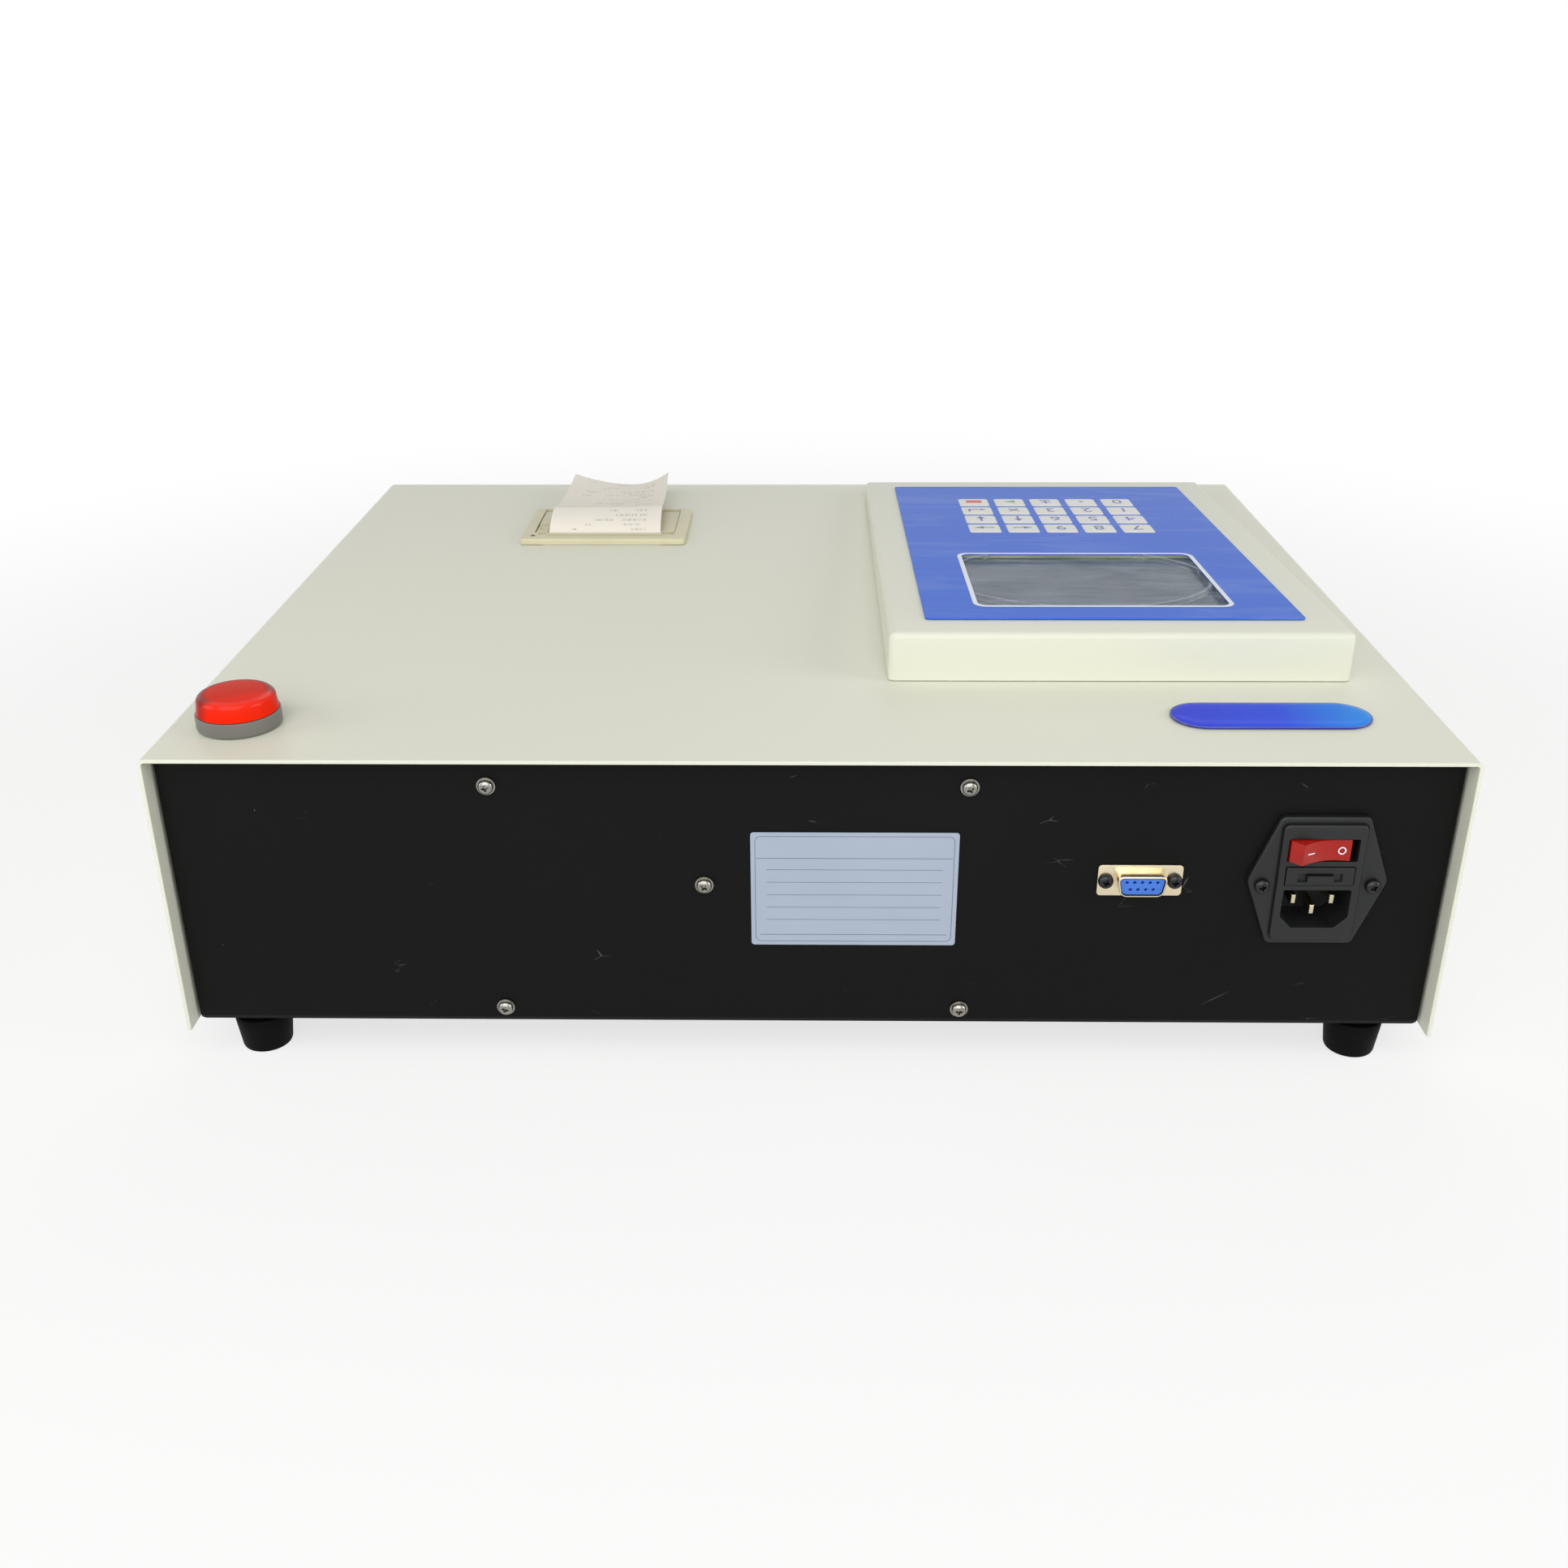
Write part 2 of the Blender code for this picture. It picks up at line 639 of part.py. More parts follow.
def screw(length, axis, way, washer=False):
    """Pan-head screw: its head stands from the origin towards way, and its shank runs back."""
    lift = WASHER_HEIGHT if washer else 0.0
    profile = [(r * HEAD_RADIUS, way * (h * HEAD_HEIGHT + lift)) for r, h in HEAD_CROWN_SHARES]
    if washer:
        profile += [(WASHER_RADIUS, way * lift), (WASHER_RADIUS, 0.0)]
    profile += [(SCREW_RADIUS, 0.0), (SCREW_RADIUS, -way * length), (0.0, -way * length)]
    shape = bmesh.new()
    turned(shape, profile, axis, (0.0, 0.0, 0.0), SCREW_SIDES)
    return shape


def copies(places, shape, material, parent=None):
    """One object at each named place, all of them sharing a mesh."""
    mesh = None
    for name, place in places.items():
        if mesh is None:
            thing = finished(name, shape, material, parent)
            mesh = thing.data
        else:
            thing = bpy.data.objects.new(name, mesh)
            bpy.context.collection.objects.link(thing)
            thing.parent = parent
        thing.location = place


def finished(name, shape, material, parent=None):
    """Named object of a closed mesh with its finish."""
    bmesh.ops.recalc_face_normals(shape, faces=shape.faces[:])
    mesh = bpy.data.meshes.new(name)
    shape.to_mesh(mesh)
    shape.free()
    mesh.shade_smooth()
    mesh.set_sharp_from_angle(angle=SMOOTH_ANGLE)
    thing = bpy.data.objects.new(name, mesh)
    bpy.context.collection.objects.link(thing)
    thing.parent = parent
    if material:
        mesh.materials.append(material)
    return thing


def tool(thing, shape, operation):
    """Hidden guide solid that a piece is cut by or joined with."""
    guide = finished(f"{operation.lower()}_for_{thing.name}", shape, None, thing.parent)
    guide.hide_render = True
    guide.display_type = "WIRE"
    change = thing.modifiers.new(operation.title(), "BOOLEAN")
    change.operation = operation
    change.solver = "EXACT"
    change.object = guide
    return guide


def carve(thing, shape):
    """Cut a shape out of a thing."""
    tool(thing, shape, "DIFFERENCE")


def fuse(thing, shape):
    """Join a shape to a thing."""
    tool(thing, shape, "UNION")


# Case

def rear_screw_places():
    """X and Z of each screw in the rear panel, by name."""
    left, right = REAR_SCREWS_X - REAR_SPAN_X / 2, REAR_SCREWS_X + REAR_SPAN_X / 2
    middle = below_top(REAR_SCREWS_DROP)
    low, high = middle - REAR_SPAN_Z / 2, middle + REAR_SPAN_Z / 2
    return {"top_left": (left, high), "top_right": (right, high), "bottom_left": (left, low),
            "bottom_right": (right, low), "middle": (EARTH_SCREW_X, below_top(EARTH_SCREW_DROP))}


def connector_screw_places():
    """X and Z of the screws that hold the mains inlet and the serial socket."""
    sides = (-1, 1)
    return [(INLET_X + side * INLET_SCREW_SPAN / 2, below_top(INLET_DROP)) for side in sides] + \
           [(SERIAL_X + side * SERIAL_SCREW_SPAN / 2, below_top(SERIAL_DROP)) for side in sides]


def cover_screw_places():
    """Y of each screw along a side, by name."""
    middle = (COVER_REAR + COVER_FRONT) / 2
    return {"rear": middle + COVER_SCREW_SPAN / 2, "front": middle - COVER_SCREW_SPAN / 2}


def foot_places():
    """X and Y of the four feet, by name."""
    x = CASE_WIDTH / 2 - FOOT_INSET_X
    rear, front = COVER_REAR - FOOT_INSET_Y, COVER_FRONT + FOOT_INSET_Y
    return {"rear_right": (x, rear), "rear_left": (-x, rear),
            "front_right": (x, front), "front_left": (-x, front)}


def standoff_places():
    """X and Y of the main board's four pillars."""
    half_x = MAIN_BOARD_WIDTH / 2 - STUD_INSET
    half_y = MAIN_BOARD_LENGTH / 2 - STUD_INSET
    y = from_rear(MAIN_BOARD_FROM_REAR)
    return [(MAIN_BOARD_X + sx * half_x, y + sy * half_y) for sx in (-1, 1) for sy in (-1, 1)]


def build_chassis(black_paint):
    """Floor, end panels and flanges, folded from one sheet."""
    top = COVER_TOP - SHEET - SEAT
    shape = bmesh.new()
    box(shape, (-TRAY_HALF, FRONT_FACE, FOOT_HEIGHT), (TRAY_HALF, REAR_FACE, top))
    soften(shape, lambda edge: True, BEND, FOLD_STEPS)
    tray = finished("chassis_tray", shape, black_paint)

    shape = bmesh.new()
    box(shape, (-TRAY_HALF + SHEET, FRONT_FACE + SHEET, FLOOR_TOP),
        (TRAY_HALF - SHEET, REAR_FACE - SHEET, top - SHEET))
    soften(shape, lambda edge: True, BEND - SHEET, FOLD_STEPS)
    carve(tray, shape)

    shape = bmesh.new()
    box(shape, (-TRAY_HALF + SHEET + END_FLANGE, FRONT_FACE + TOP_FLANGE, top - SHEET - OVERRUN),
        (TRAY_HALF - SHEET - END_FLANGE, REAR_FACE - TOP_FLANGE, top + OVERRUN))
    carve(tray, shape)

    shape = bmesh.new()
    box(shape, (-TRAY_HALF - OVERRUN, FRONT_FACE + END_FLANGE, FOOT_HEIGHT + SIDE_FLANGE),
        (TRAY_HALF + OVERRUN, REAR_FACE - END_FLANGE, top + OVERRUN))
    carve(tray, shape)

    nuts, holes = bmesh.new(), bmesh.new()
    side_height = FOOT_HEIGHT + COVER_SCREW_HEIGHT
    inside = REAR_FACE - SHEET
    for x, z in connector_screw_places():
        rod(nuts, NUT_RADIUS, inside - NUT_HEIGHT, inside + SHEET / 2, "Y", (x, 0.0, z), PIN_SIDES)
    for x, z in connector_screw_places() + list(rear_screw_places().values()):
        rod(holes, SCREW_RADIUS + SEAT, inside - NUT_HEIGHT - OVERRUN, REAR_FACE + OVERRUN, "Y",
            (x, 0.0, z), PIN_SIDES)
    for x, y in foot_places().values():
        rod(nuts, NUT_RADIUS + SLACK, FLOOR_TOP - SHEET / 2, FLOOR_TOP + NUT_HEIGHT, "Z", (x, y, 0.0),
            PIN_SIDES)
        rod(holes, FOOT_STUD_RADIUS + SEAT, FOOT_HEIGHT - OVERRUN, FLOOR_TOP + NUT_HEIGHT + OVERRUN,
            "Z", (x, y, 0.0), PIN_SIDES)
    for side in (-1, 1):
        for y in cover_screw_places().values():
            flange = (side * TRAY_HALF, y, side_height)
            rod(nuts, NUT_RADIUS, *sorted((-side * SHEET / 2, -side * (SHEET + NUT_HEIGHT))), "X",
                flange, PIN_SIDES)
            rod(holes, SCREW_RADIUS + SEAT, -SHEET - NUT_HEIGHT - OVERRUN, SHEET + NUT_HEIGHT + OVERRUN,
                "X", flange, PIN_SIDES)
    for x, y in standoff_places():
        rod(nuts, STANDOFF_RADIUS, FLOOR_TOP - SHEET / 2, FLOOR_TOP + STANDOFF, "Z", (x, y, 0.0),
            PIN_SIDES)
    fuse(tray, nuts)
    wall = (inside - OVERRUN, REAR_FACE + OVERRUN)
    prism(holes, rounded(INLET_BODY_WIDTH + 2 * SLACK, INLET_BODY_HEIGHT + 2 * SLACK, SHEET,
                         middle=(INLET_X, below_top(INLET_DROP))), "Y", *wall)
    prism(holes, rounded(SERIAL_BACK_WIDTH + 2 * SLACK, SERIAL_BACK_HEIGHT + 2 * SLACK, SHEET,
                         middle=(SERIAL_X, below_top(SERIAL_DROP))), "Y", *wall)
    opening = FRAME_HALF * 2 - 2 * SLACK
    prism(holes, rounded(opening, DRAWER_HEIGHT + 4 * SLACK, SHEET, middle=(SAMPLE_X, RAIL_MIDDLE)),
          "Y", FRONT_FACE - OVERRUN, FRONT_FACE + SHEET + OVERRUN)
    carve(tray, holes)


def build_cover(cream_paint, steel):
    """U-shaped lid with its openings, and the screws along its sides."""
    half = CASE_WIDTH / 2
    path = ((half, FOOT_HEIGHT), (half, COVER_TOP), (-half, COVER_TOP), (-half, FOOT_HEIGHT))
    shape = bmesh.new()
    prism(shape, folded(path, SHEET, BEND), "Y", COVER_FRONT, COVER_REAR)
    cover = finished("top_cover", shape, cream_paint)

    shape = bmesh.new()
    sheet = (COVER_TOP - SHEET - OVERRUN, COVER_TOP + OVERRUN)
    printer = (PRINTER_X, from_rear(PRINTER_FROM_REAR))
    prism(shape, rounded(SKIRT_WIDTH + 2 * SLACK, SKIRT_LENGTH + 2 * SLACK, SHEET, middle=printer),
          "Z", *sheet)
    rod(shape, LAMP_STEM_RADIUS + SLACK, *sheet, "Z", (LAMP_X, from_rear(LAMP_FROM_REAR), 0.0), ROUND_SIDES)
    middle = (CONSOLE_X, from_rear(CONSOLE_FROM_REAR + CONSOLE_DEPTH / 2))
    prism(shape, rounded(CONSOLE_WELL_X, CONSOLE_WELL_Y, BEND, middle=middle), "Z", *sheet)
    for x, y in console_post_places():
        rod(shape, SCREW_RADIUS + SEAT, *sheet, "Z", (x, y, 0.0), SCREW_SIDES)
    height = FOOT_HEIGHT + COVER_SCREW_HEIGHT
    for y in cover_screw_places().values():
        for side in (-1, 1):
            rod(shape, SCREW_RADIUS + SEAT, -SHEET - OVERRUN, SHEET + OVERRUN, "X",
                (side * half, y, height), SCREW_SIDES)
    carve(cover, shape)

    for side, hand in ((-1, "left"), (1, "right")):
        places = {f"cover_screw_{hand}_{end}": (side * (half + SEAT), y, height)
                  for end, y in cover_screw_places().items()}
        copies(places, screw(SHORT_SCREW, "X", side), steel)


def build_feet(rubber):
    """Turned rubber feet with a bonded stud that turns into the floor's nut."""
    stud = FOOT_HEIGHT + FOOT_STUD
    seat = FOOT_HEIGHT - SEAT
    shoulder = FOOT_HEIGHT - FOOT_COLLAR
    profile = (
        (0.0, stud), (FOOT_STUD_RADIUS, stud), (FOOT_STUD_RADIUS, seat), (FOOT_COLLAR_RADIUS, seat),
        (FOOT_COLLAR_RADIUS, shoulder), (FOOT_RADIUS - SMALL_EDGE, shoulder),
        (FOOT_RADIUS, shoulder - SMALL_EDGE), (FOOT_BASE_RADIUS, SMALL_EDGE),
        (FOOT_BASE_RADIUS - SMALL_EDGE, 0.0), (0.0, 0.0))
    shape = bmesh.new()
    turned(shape, profile, "Z", (0.0, 0.0, 0.0), ROUND_SIDES)
    copies({f"foot_{name}": (x, y, 0.0) for name, (x, y) in foot_places().items()}, shape, rubber)


# Rear panel

def build_rear_panel_pieces(steel, label_foil):
    """Screws, earth screw and label of the rear panel."""
    places = {f"rear_screw_{name}": (x, REAR_FACE + SEAT, z)
              for name, (x, z) in rear_screw_places().items()}
    copies(places, screw(LONG_SCREW, "Y", 1, washer=True), steel)

    shape = bmesh.new()
    middle = (LABEL_X, below_top(LABEL_DROP))
    prism(shape, rounded(LABEL_WIDTH, LABEL_HEIGHT, LABEL_CORNER, 2, middle), "Y",
          REAR_FACE + SEAT, REAR_FACE + SEAT + LABEL_THICKNESS)
    finished("rating_label", shape, label_foil)


def hexagon():
    """The inlet flange's outline: wide at mid height, narrow at its top and bottom."""
    half_w, half_h, edge = INLET_WIDTH / 2, INLET_HEIGHT / 2, INLET_EDGE / 2
    return [(half_w, 0.0), (edge, half_h), (-edge, half_h), (-half_w, 0.0), (-edge, -half_h),
            (edge, -half_h)]


def cavity_outline(grow=0.0):
    """The connector's mouth, with its two lower corners cut off."""
    half_w, half_h = CAVITY_WIDTH / 2 + grow, CAVITY_HEIGHT / 2 + grow
    cut = CAVITY_CHAMFER
    points = [(half_w, half_h), (-half_w, half_h), (-half_w, -half_h + cut), (-half_w + cut, -half_h),
              (half_w - cut, -half_h), (half_w, -half_h + cut)]
    return [(u, v - CAVITY_DROP) for u, v in points]


def blade_places():
    """X and Z of the earth blade and of line and neutral, with each tip's depth."""
    side = BLADE_SPACING / 2
    return ((0.0, -CAVITY_DROP - EARTH_LOWER, EARTH_TIP), (-side, -CAVITY_DROP + BLADE_RAISE, BLADE_TIP),
            (side, -CAVITY_DROP + BLADE_RAISE, BLADE_TIP))


def build_inlet(black_plastic, red_plastic, brass, steel):
    """Mains inlet with its switch window, fuse drawer, and cavity with three moulded-in blades."""
    place = anchor("inlet_place", (INLET_X, REAR_FACE, below_top(INLET_DROP)))
    face = SEAT + INLET_RIM
    shape = bmesh.new()
    prism(shape, hexagon(), "Y", SEAT, SEAT + INLET_FLANGE)
    front = SEAT + INLET_FLANGE
    soften(shape, lambda edge: all(abs(v.co.y - front) < SEAT / 10 for v in edge.verts), INLET_BEVEL, 2)
    housing = finished("inlet_housing", shape, black_plastic, place)

    shape = bmesh.new()
    prism(shape, rounded(INLET_RIM_WIDTH, INLET_RIM_HEIGHT, BEND), "Y", SEAT + INLET_FLANGE / 2, face)
    fuse(housing, shape)
    shape = bmesh.new()
    prism(shape, rounded(INLET_BODY_WIDTH, INLET_BODY_HEIGHT, SHEET, 2), "Y",
          -INLET_BODY_DEPTH, SEAT + INLET_FLANGE / 2)
    fuse(housing, shape)

    shape = bmesh.new()
    prism(shape, cavity_outline(), "Y", face - CAVITY_DEPTH, face + OVERRUN)
    block(shape, (0.0, face + (OVERRUN - FUSE_SLOT_DEPTH) / 2, FUSE_SLOT_RAISE),
          (FUSE_SLOT_WIDTH, FUSE_SLOT_DEPTH + OVERRUN, FUSE_SLOT_HEIGHT))
    block(shape, (0.0, face + (OVERRUN - ROCKER_WELL_DEPTH) / 2, ROCKER_RAISE),
          (ROCKER_WIDTH + 2 * SLACK, ROCKER_WELL_DEPTH + OVERRUN, ROCKER_HEIGHT + 2 * SEAT))
    for side in (-1, 1):
        rod(shape, SCREW_RADIUS + SEAT, -OVERRUN, face + OVERRUN, "Y",
            (side * INLET_SCREW_SPAN / 2, 0.0, 0.0), SCREW_SIDES)
    carve(housing, shape)
    shape = bmesh.new()
    reach = ROCKER_HEIGHT / 2 + SEAT + ROCKER_PIN + SEAT
    rod(shape, ROCKER_PIN_RADIUS + SEAT, -reach, reach, "Z",
        (0.0, face - ROCKER_AXIS_DEPTH, ROCKER_RAISE), SCREW_SIDES)
    carve(housing, shape)

    shape = bmesh.new()
    for x, z, tip in blade_places():
        tail = -INLET_BODY_DEPTH - BLADE_TAIL
        verts = box(shape, (x - BLADE_THICKNESS / 2, tail, z - BLADE_HEIGHT / 2),
                    (x + BLADE_THICKNESS / 2, face - tip, z + BLADE_HEIGHT / 2))
        nose = {edge for vert in verts for edge in vert.link_edges
                if all(abs(v.co.y - face + tip) < SEAT / 10 for v in edge.verts)}
        soften(shape, lambda edge: edge in nose, BLADE_THICKNESS / 4, 1)
    fuse(housing, shape)

    places = {f"inlet_screw_{hand}": (side * INLET_SCREW_SPAN / 2, 2 * SEAT + INLET_FLANGE, 0.0)
              for side, hand in ((-1, "left"), (1, "right"))}
    copies(places, screw(SHORT_SCREW + INLET_FLANGE, "Y", 1), steel, place)
    build_rocker(place, face, red_plastic)
    build_fuse_drawer(place, face, black_plastic, brass)


def build_rocker(place, face, red_plastic):
    """Paddle with a ridge near each end, on two pins; its off end rests pressed in."""
    pivot = anchor("rocker_pivot", (0.0, face - ROCKER_AXIS_DEPTH, ROCKER_RAISE), parent=place)
    half = ROCKER_WIDTH / 2
    foot = half - SLACK
    outline = [(half, -ROCKER_SHOULDER), (ROCKER_RIDGE, ROCKER_CREST), (0.0, ROCKER_AXIS_DEPTH),
               (-ROCKER_RIDGE, ROCKER_CREST), (-half, -ROCKER_SHOULDER), (-foot, -ROCKER_SIDE)]
    outline += arc((0.0, 0.0), ROCKER_KEEL_RADIUS, math.pi * 7 / 6, math.pi * 11 / 6, 6)
    outline.append((foot, -ROCKER_SIDE))
    shape = bmesh.new()
    prism(shape, outline, "Z", -ROCKER_HEIGHT / 2, ROCKER_HEIGHT / 2)
    bmesh.ops.rotate(shape, verts=shape.verts[:], cent=(0.0, 0.0, 0.0),
                     matrix=Matrix.Rotation(ROCKER_TILT, 3, "Z"))
    rocker = finished("power_rocker", shape, red_plastic, pivot)
    shape = bmesh.new()
    reach = ROCKER_HEIGHT / 2 + ROCKER_PIN
    rod(shape, ROCKER_PIN_RADIUS, -reach, reach, "Z", (0.0, 0.0, 0.0), SCREW_SIDES)
    fuse(rocker, shape)


def build_fuse_drawer(place, face, black_plastic, brass):
    """Drawer that pulls straight out, with the fuse across its front and a pocket for a spare."""
    slide = anchor("fuse_drawer_slide", (0.0, face, FUSE_SLOT_RAISE), parent=place)
    width = FUSE_SLOT_WIDTH - 2 * SEAT
    height = FUSE_SLOT_HEIGHT - 2 * SEAT
    depth = FUSE_SLOT_DEPTH - SLACK
    shape = bmesh.new()
    box(shape, (-width / 2, -depth, -height / 2), (width / 2, SEAT, height / 2))
    drawer = finished("fuse_drawer", shape, black_plastic, slide)
    shape = bmesh.new()
    box(shape, (-FUSE_GRIP_WIDTH / 2, -FUSE_FACE / 2, -height / 2 + FUSE_WALL),
        (FUSE_GRIP_WIDTH / 2, SEAT + FUSE_GRIP_PROUD, -height / 2 + FUSE_WALL + FUSE_GRIP_HEIGHT))
    fuse(drawer, shape)
    pocket = 2 * (FUSE_RADIUS + SEAT)
    rows = [-FUSE_FACE - pocket / 2 - i * (pocket + FUSE_WALL) for i in range(2)]
    floor = height / 2 - pocket
    shape = bmesh.new()
    for y in rows:
        box(shape, (-FUSE_LENGTH / 2 - SEAT, y - pocket / 2, floor),
            (FUSE_LENGTH / 2 + SEAT, y + pocket / 2, height / 2 + OVERRUN))
    carve(drawer, shape)
    half = FUSE_LENGTH / 2
    profile = ((0.0, -half), (FUSE_RADIUS, -half), (FUSE_RADIUS, -half + FUSE_CAP),
               (FUSE_GLASS_RADIUS, -half + FUSE_CAP), (FUSE_GLASS_RADIUS, half - FUSE_CAP),
               (FUSE_RADIUS, half - FUSE_CAP), (FUSE_RADIUS, half), (0.0, half))
    shape = bmesh.new()
    turned(shape, profile, "X", (0.0, rows[0], floor + SEAT + FUSE_RADIUS), SCREW_SIDES)
    finished("fuse", shape, brass, slide)


def d_outline(width, height):
    """Outline of a D-shaped connector, wide side up."""
    lean = math.tan(SERIAL_LEAN) * height / 2
    top, low = width / 2 + lean, width / 2 - lean
    corners = ((top, height / 2), (-top, height / 2), (-low, -height / 2), (low, -height / 2))
    start = ((top + low) / 2, 0.0)
    path = filleted((start, *corners, start), SERIAL_ROUND, 3)
    return path[:-1]


def build_serial_socket(nickel, blue_plastic, black_steel):
    """Nine-way socket: a flanged shell, its insert and two screws."""
    place = anchor("serial_place", (SERIAL_X, REAR_FACE, below_top(SERIAL_DROP)))
    outer = SEAT + SERIAL_FLANGE
    shape = bmesh.new()
    prism(shape, rounded(SERIAL_FLANGE_WIDTH, SERIAL_FLANGE_HEIGHT, SERIAL_CORNER, 2), "Y", SEAT, outer)
    shell = finished("serial_shell", shape, nickel, place)
    shape = bmesh.new()
    prism(shape, d_outline(SERIAL_SHELL_WIDTH, SERIAL_SHELL_HEIGHT), "Y", SEAT + SERIAL_FLANGE / 2,
          SEAT + SERIAL_SHELL_REACH)
    fuse(shell, shape)
    inner_width = SERIAL_SHELL_WIDTH - 2 * SERIAL_SHELL_WALL
    inner_height = SERIAL_SHELL_HEIGHT - 2 * SERIAL_SHELL_WALL
    shape = bmesh.new()
    prism(shape, d_outline(inner_width, inner_height), "Y", -OVERRUN, SERIAL_SHELL_REACH + OVERRUN)
    for side in (-1, 1):
        rod(shape, SCREW_RADIUS + SEAT, -OVERRUN, outer + OVERRUN, "Y",
            (side * SERIAL_SCREW_SPAN / 2, 0.0, 0.0), SCREW_SIDES)
    carve(shell, shape)

    shape = bmesh.new()
    prism(shape, d_outline(inner_width - 2 * SEAT, inner_height - 2 * SEAT), "Y", -SEAT,
          SERIAL_SHELL_REACH - SEAT)
    insert = finished("serial_insert", shape, blue_plastic, place)
    shape = bmesh.new()
    prism(shape, rounded(SERIAL_BACK_WIDTH, SERIAL_BACK_HEIGHT, SERIAL_CORNER, 2), "Y", -SERIAL_BACK, 0.0)
    fuse(insert, shape)
    shape = bmesh.new()
    for count, row in ((5, SERIAL_ROW_GAP / 2), (4, -SERIAL_ROW_GAP / 2)):
        for i in range(count):
            x = (i - (count - 1) / 2) * SERIAL_PITCH
            rod(shape, SERIAL_HOLE, SERIAL_SHELL_REACH - SERIAL_HOLE_DEPTH, SERIAL_SHELL_REACH + OVERRUN,
                "Y", (x, 0.0, row), PIN_SIDES)
    carve(insert, shape)

    places = {f"serial_screw_{hand}": (side * SERIAL_SCREW_SPAN / 2, outer + SEAT, 0.0)
              for side, hand in ((-1, "left"), (1, "right"))}
    copies(places, screw(SHORT_SCREW, "Y", 1), black_steel, place)


# Top fittings

def build_lamp(grey_plastic, red_lens, board_green):
    """Warning lamp: base whose slit stem snaps into the cover, cup lens and LED disc."""
    place = anchor("lamp_place", (LAMP_X, from_rear(LAMP_FROM_REAR), COVER_TOP))
    inner = LAMP_LENS_RADIUS - LAMP_WALL
    step = LAMP_BASE / 2
    under = -SHEET - SEAT
    barb = LAMP_STEM_RADIUS + LAMP_BARB
    shape = bmesh.new()
    turned(shape, (
        (LAMP_BORE, -LAMP_STEM), (LAMP_STEM_RADIUS - LAMP_BARB, -LAMP_STEM), (barb, under - 2 * LAMP_BARB),
        (barb, under), (LAMP_STEM_RADIUS, under), (LAMP_STEM_RADIUS, SEAT),
        (LAMP_RADIUS - SMALL_EDGE / 2, SEAT), (LAMP_RADIUS, SEAT + SMALL_EDGE / 2),
        (LAMP_RADIUS, LAMP_BASE), (inner, LAMP_BASE), (inner, step), (LAMP_BORE, step)), "Z",
        (0.0, 0.0, 0.0), ROUND_SIDES, ring=True)
    base = finished("lamp_base", shape, grey_plastic, place)
    shape = bmesh.new()
    box(shape, (-LAMP_RADIUS, -LAMP_SLIT / 2, -LAMP_STEM - OVERRUN), (LAMP_RADIUS, LAMP_SLIT / 2, -SEAT))
    carve(base, shape)

    shape = bmesh.new()
    low = LAMP_BASE + SEAT
    crown = [(LAMP_CROWN_RADIUS, LAMP_HEIGHT)]
    bend = LAMP_LENS_RADIUS - LAMP_CROWN_RADIUS
    outside = arc((LAMP_CROWN_RADIUS, LAMP_HEIGHT - bend), bend, 0.0, math.pi / 2, 3)
    inside = arc((LAMP_CROWN_RADIUS, LAMP_HEIGHT - bend), bend - LAMP_WALL, math.pi / 2, 0.0, 2)
    turned(shape, [(LAMP_RADIUS - SLACK, low)] + outside + [(0.0, LAMP_HEIGHT)]
           + [(0.0, LAMP_HEIGHT - LAMP_WALL)] + inside + [(inner, low)], "Z", (0.0, 0.0, 0.0), ROUND_SIDES,
           ring=True)
    finished("lamp_lens", shape, red_lens, place)

    shape = bmesh.new()
    rod(shape, LAMP_BOARD_RADIUS, step + SEAT, step + SEAT + LAMP_BOARD, "Z", (0.0, 0.0, 0.0), ROUND_SIDES)
    board = finished("lamp_led_board", shape, board_green, place)
    shape = bmesh.new()
    for i in range(LAMP_LED_COUNT):
        turn = math.tau * i / LAMP_LED_COUNT
        middle = (LAMP_LED_RING * math.cos(turn), LAMP_LED_RING * math.sin(turn), step + LAMP_BOARD)
        block(shape, (*middle[:2], middle[2] + LAMP_LED / 2), (2 * LAMP_LED, 2 * LAMP_LED, LAMP_LED))
    fuse(board, shape)


def build_badge(blue_resin):
    """Bare pill-shaped plate with a domed top."""
    middle = (BADGE_X, from_rear(BADGE_FROM_REAR))
    shape = bmesh.new()
    top = COVER_TOP + SEAT + BADGE_THICKNESS
    prism(shape, rounded(BADGE_LENGTH, BADGE_WIDTH, BADGE_WIDTH / 2 - SEAT, 6, middle), "Z",
          COVER_TOP + SEAT, top)
    soften(shape, lambda edge: at_height(edge, top), BADGE_DOME, 2)
    finished("badge_plate", shape, blue_resin)


# Console

def console_top(y):
    """Height of the console's outer top face over a place."""
    run = from_rear(CONSOLE_FROM_REAR) - y
    return COVER_TOP + CONSOLE_REAR - run * math.tan(CONSOLE_SLOPE)


def console_post_places():
    """X and Y of the four posts that hold the console on the cover."""
    half_x = CONSOLE_WIDTH / 2 - CONSOLE_POST_INSET_X
    rear = from_rear(CONSOLE_FROM_REAR + CONSOLE_POST_INSET_Y)
    front = from_rear(CONSOLE_FROM_REAR + CONSOLE_DEPTH - CONSOLE_POST_INSET_Y)
    return [(CONSOLE_X + side * half_x, y) for side in (-1, 1) for y in (rear, front)]


def corners(width, length, inset, middle=(0.0, 0.0)):
    """Four places inset from a rectangle's corners."""
    return [(middle[0] + sx * (width / 2 - inset), middle[1] + sy * (length / 2 - inset))
            for sx in (-1, 1) for sy in (-1, 1)]


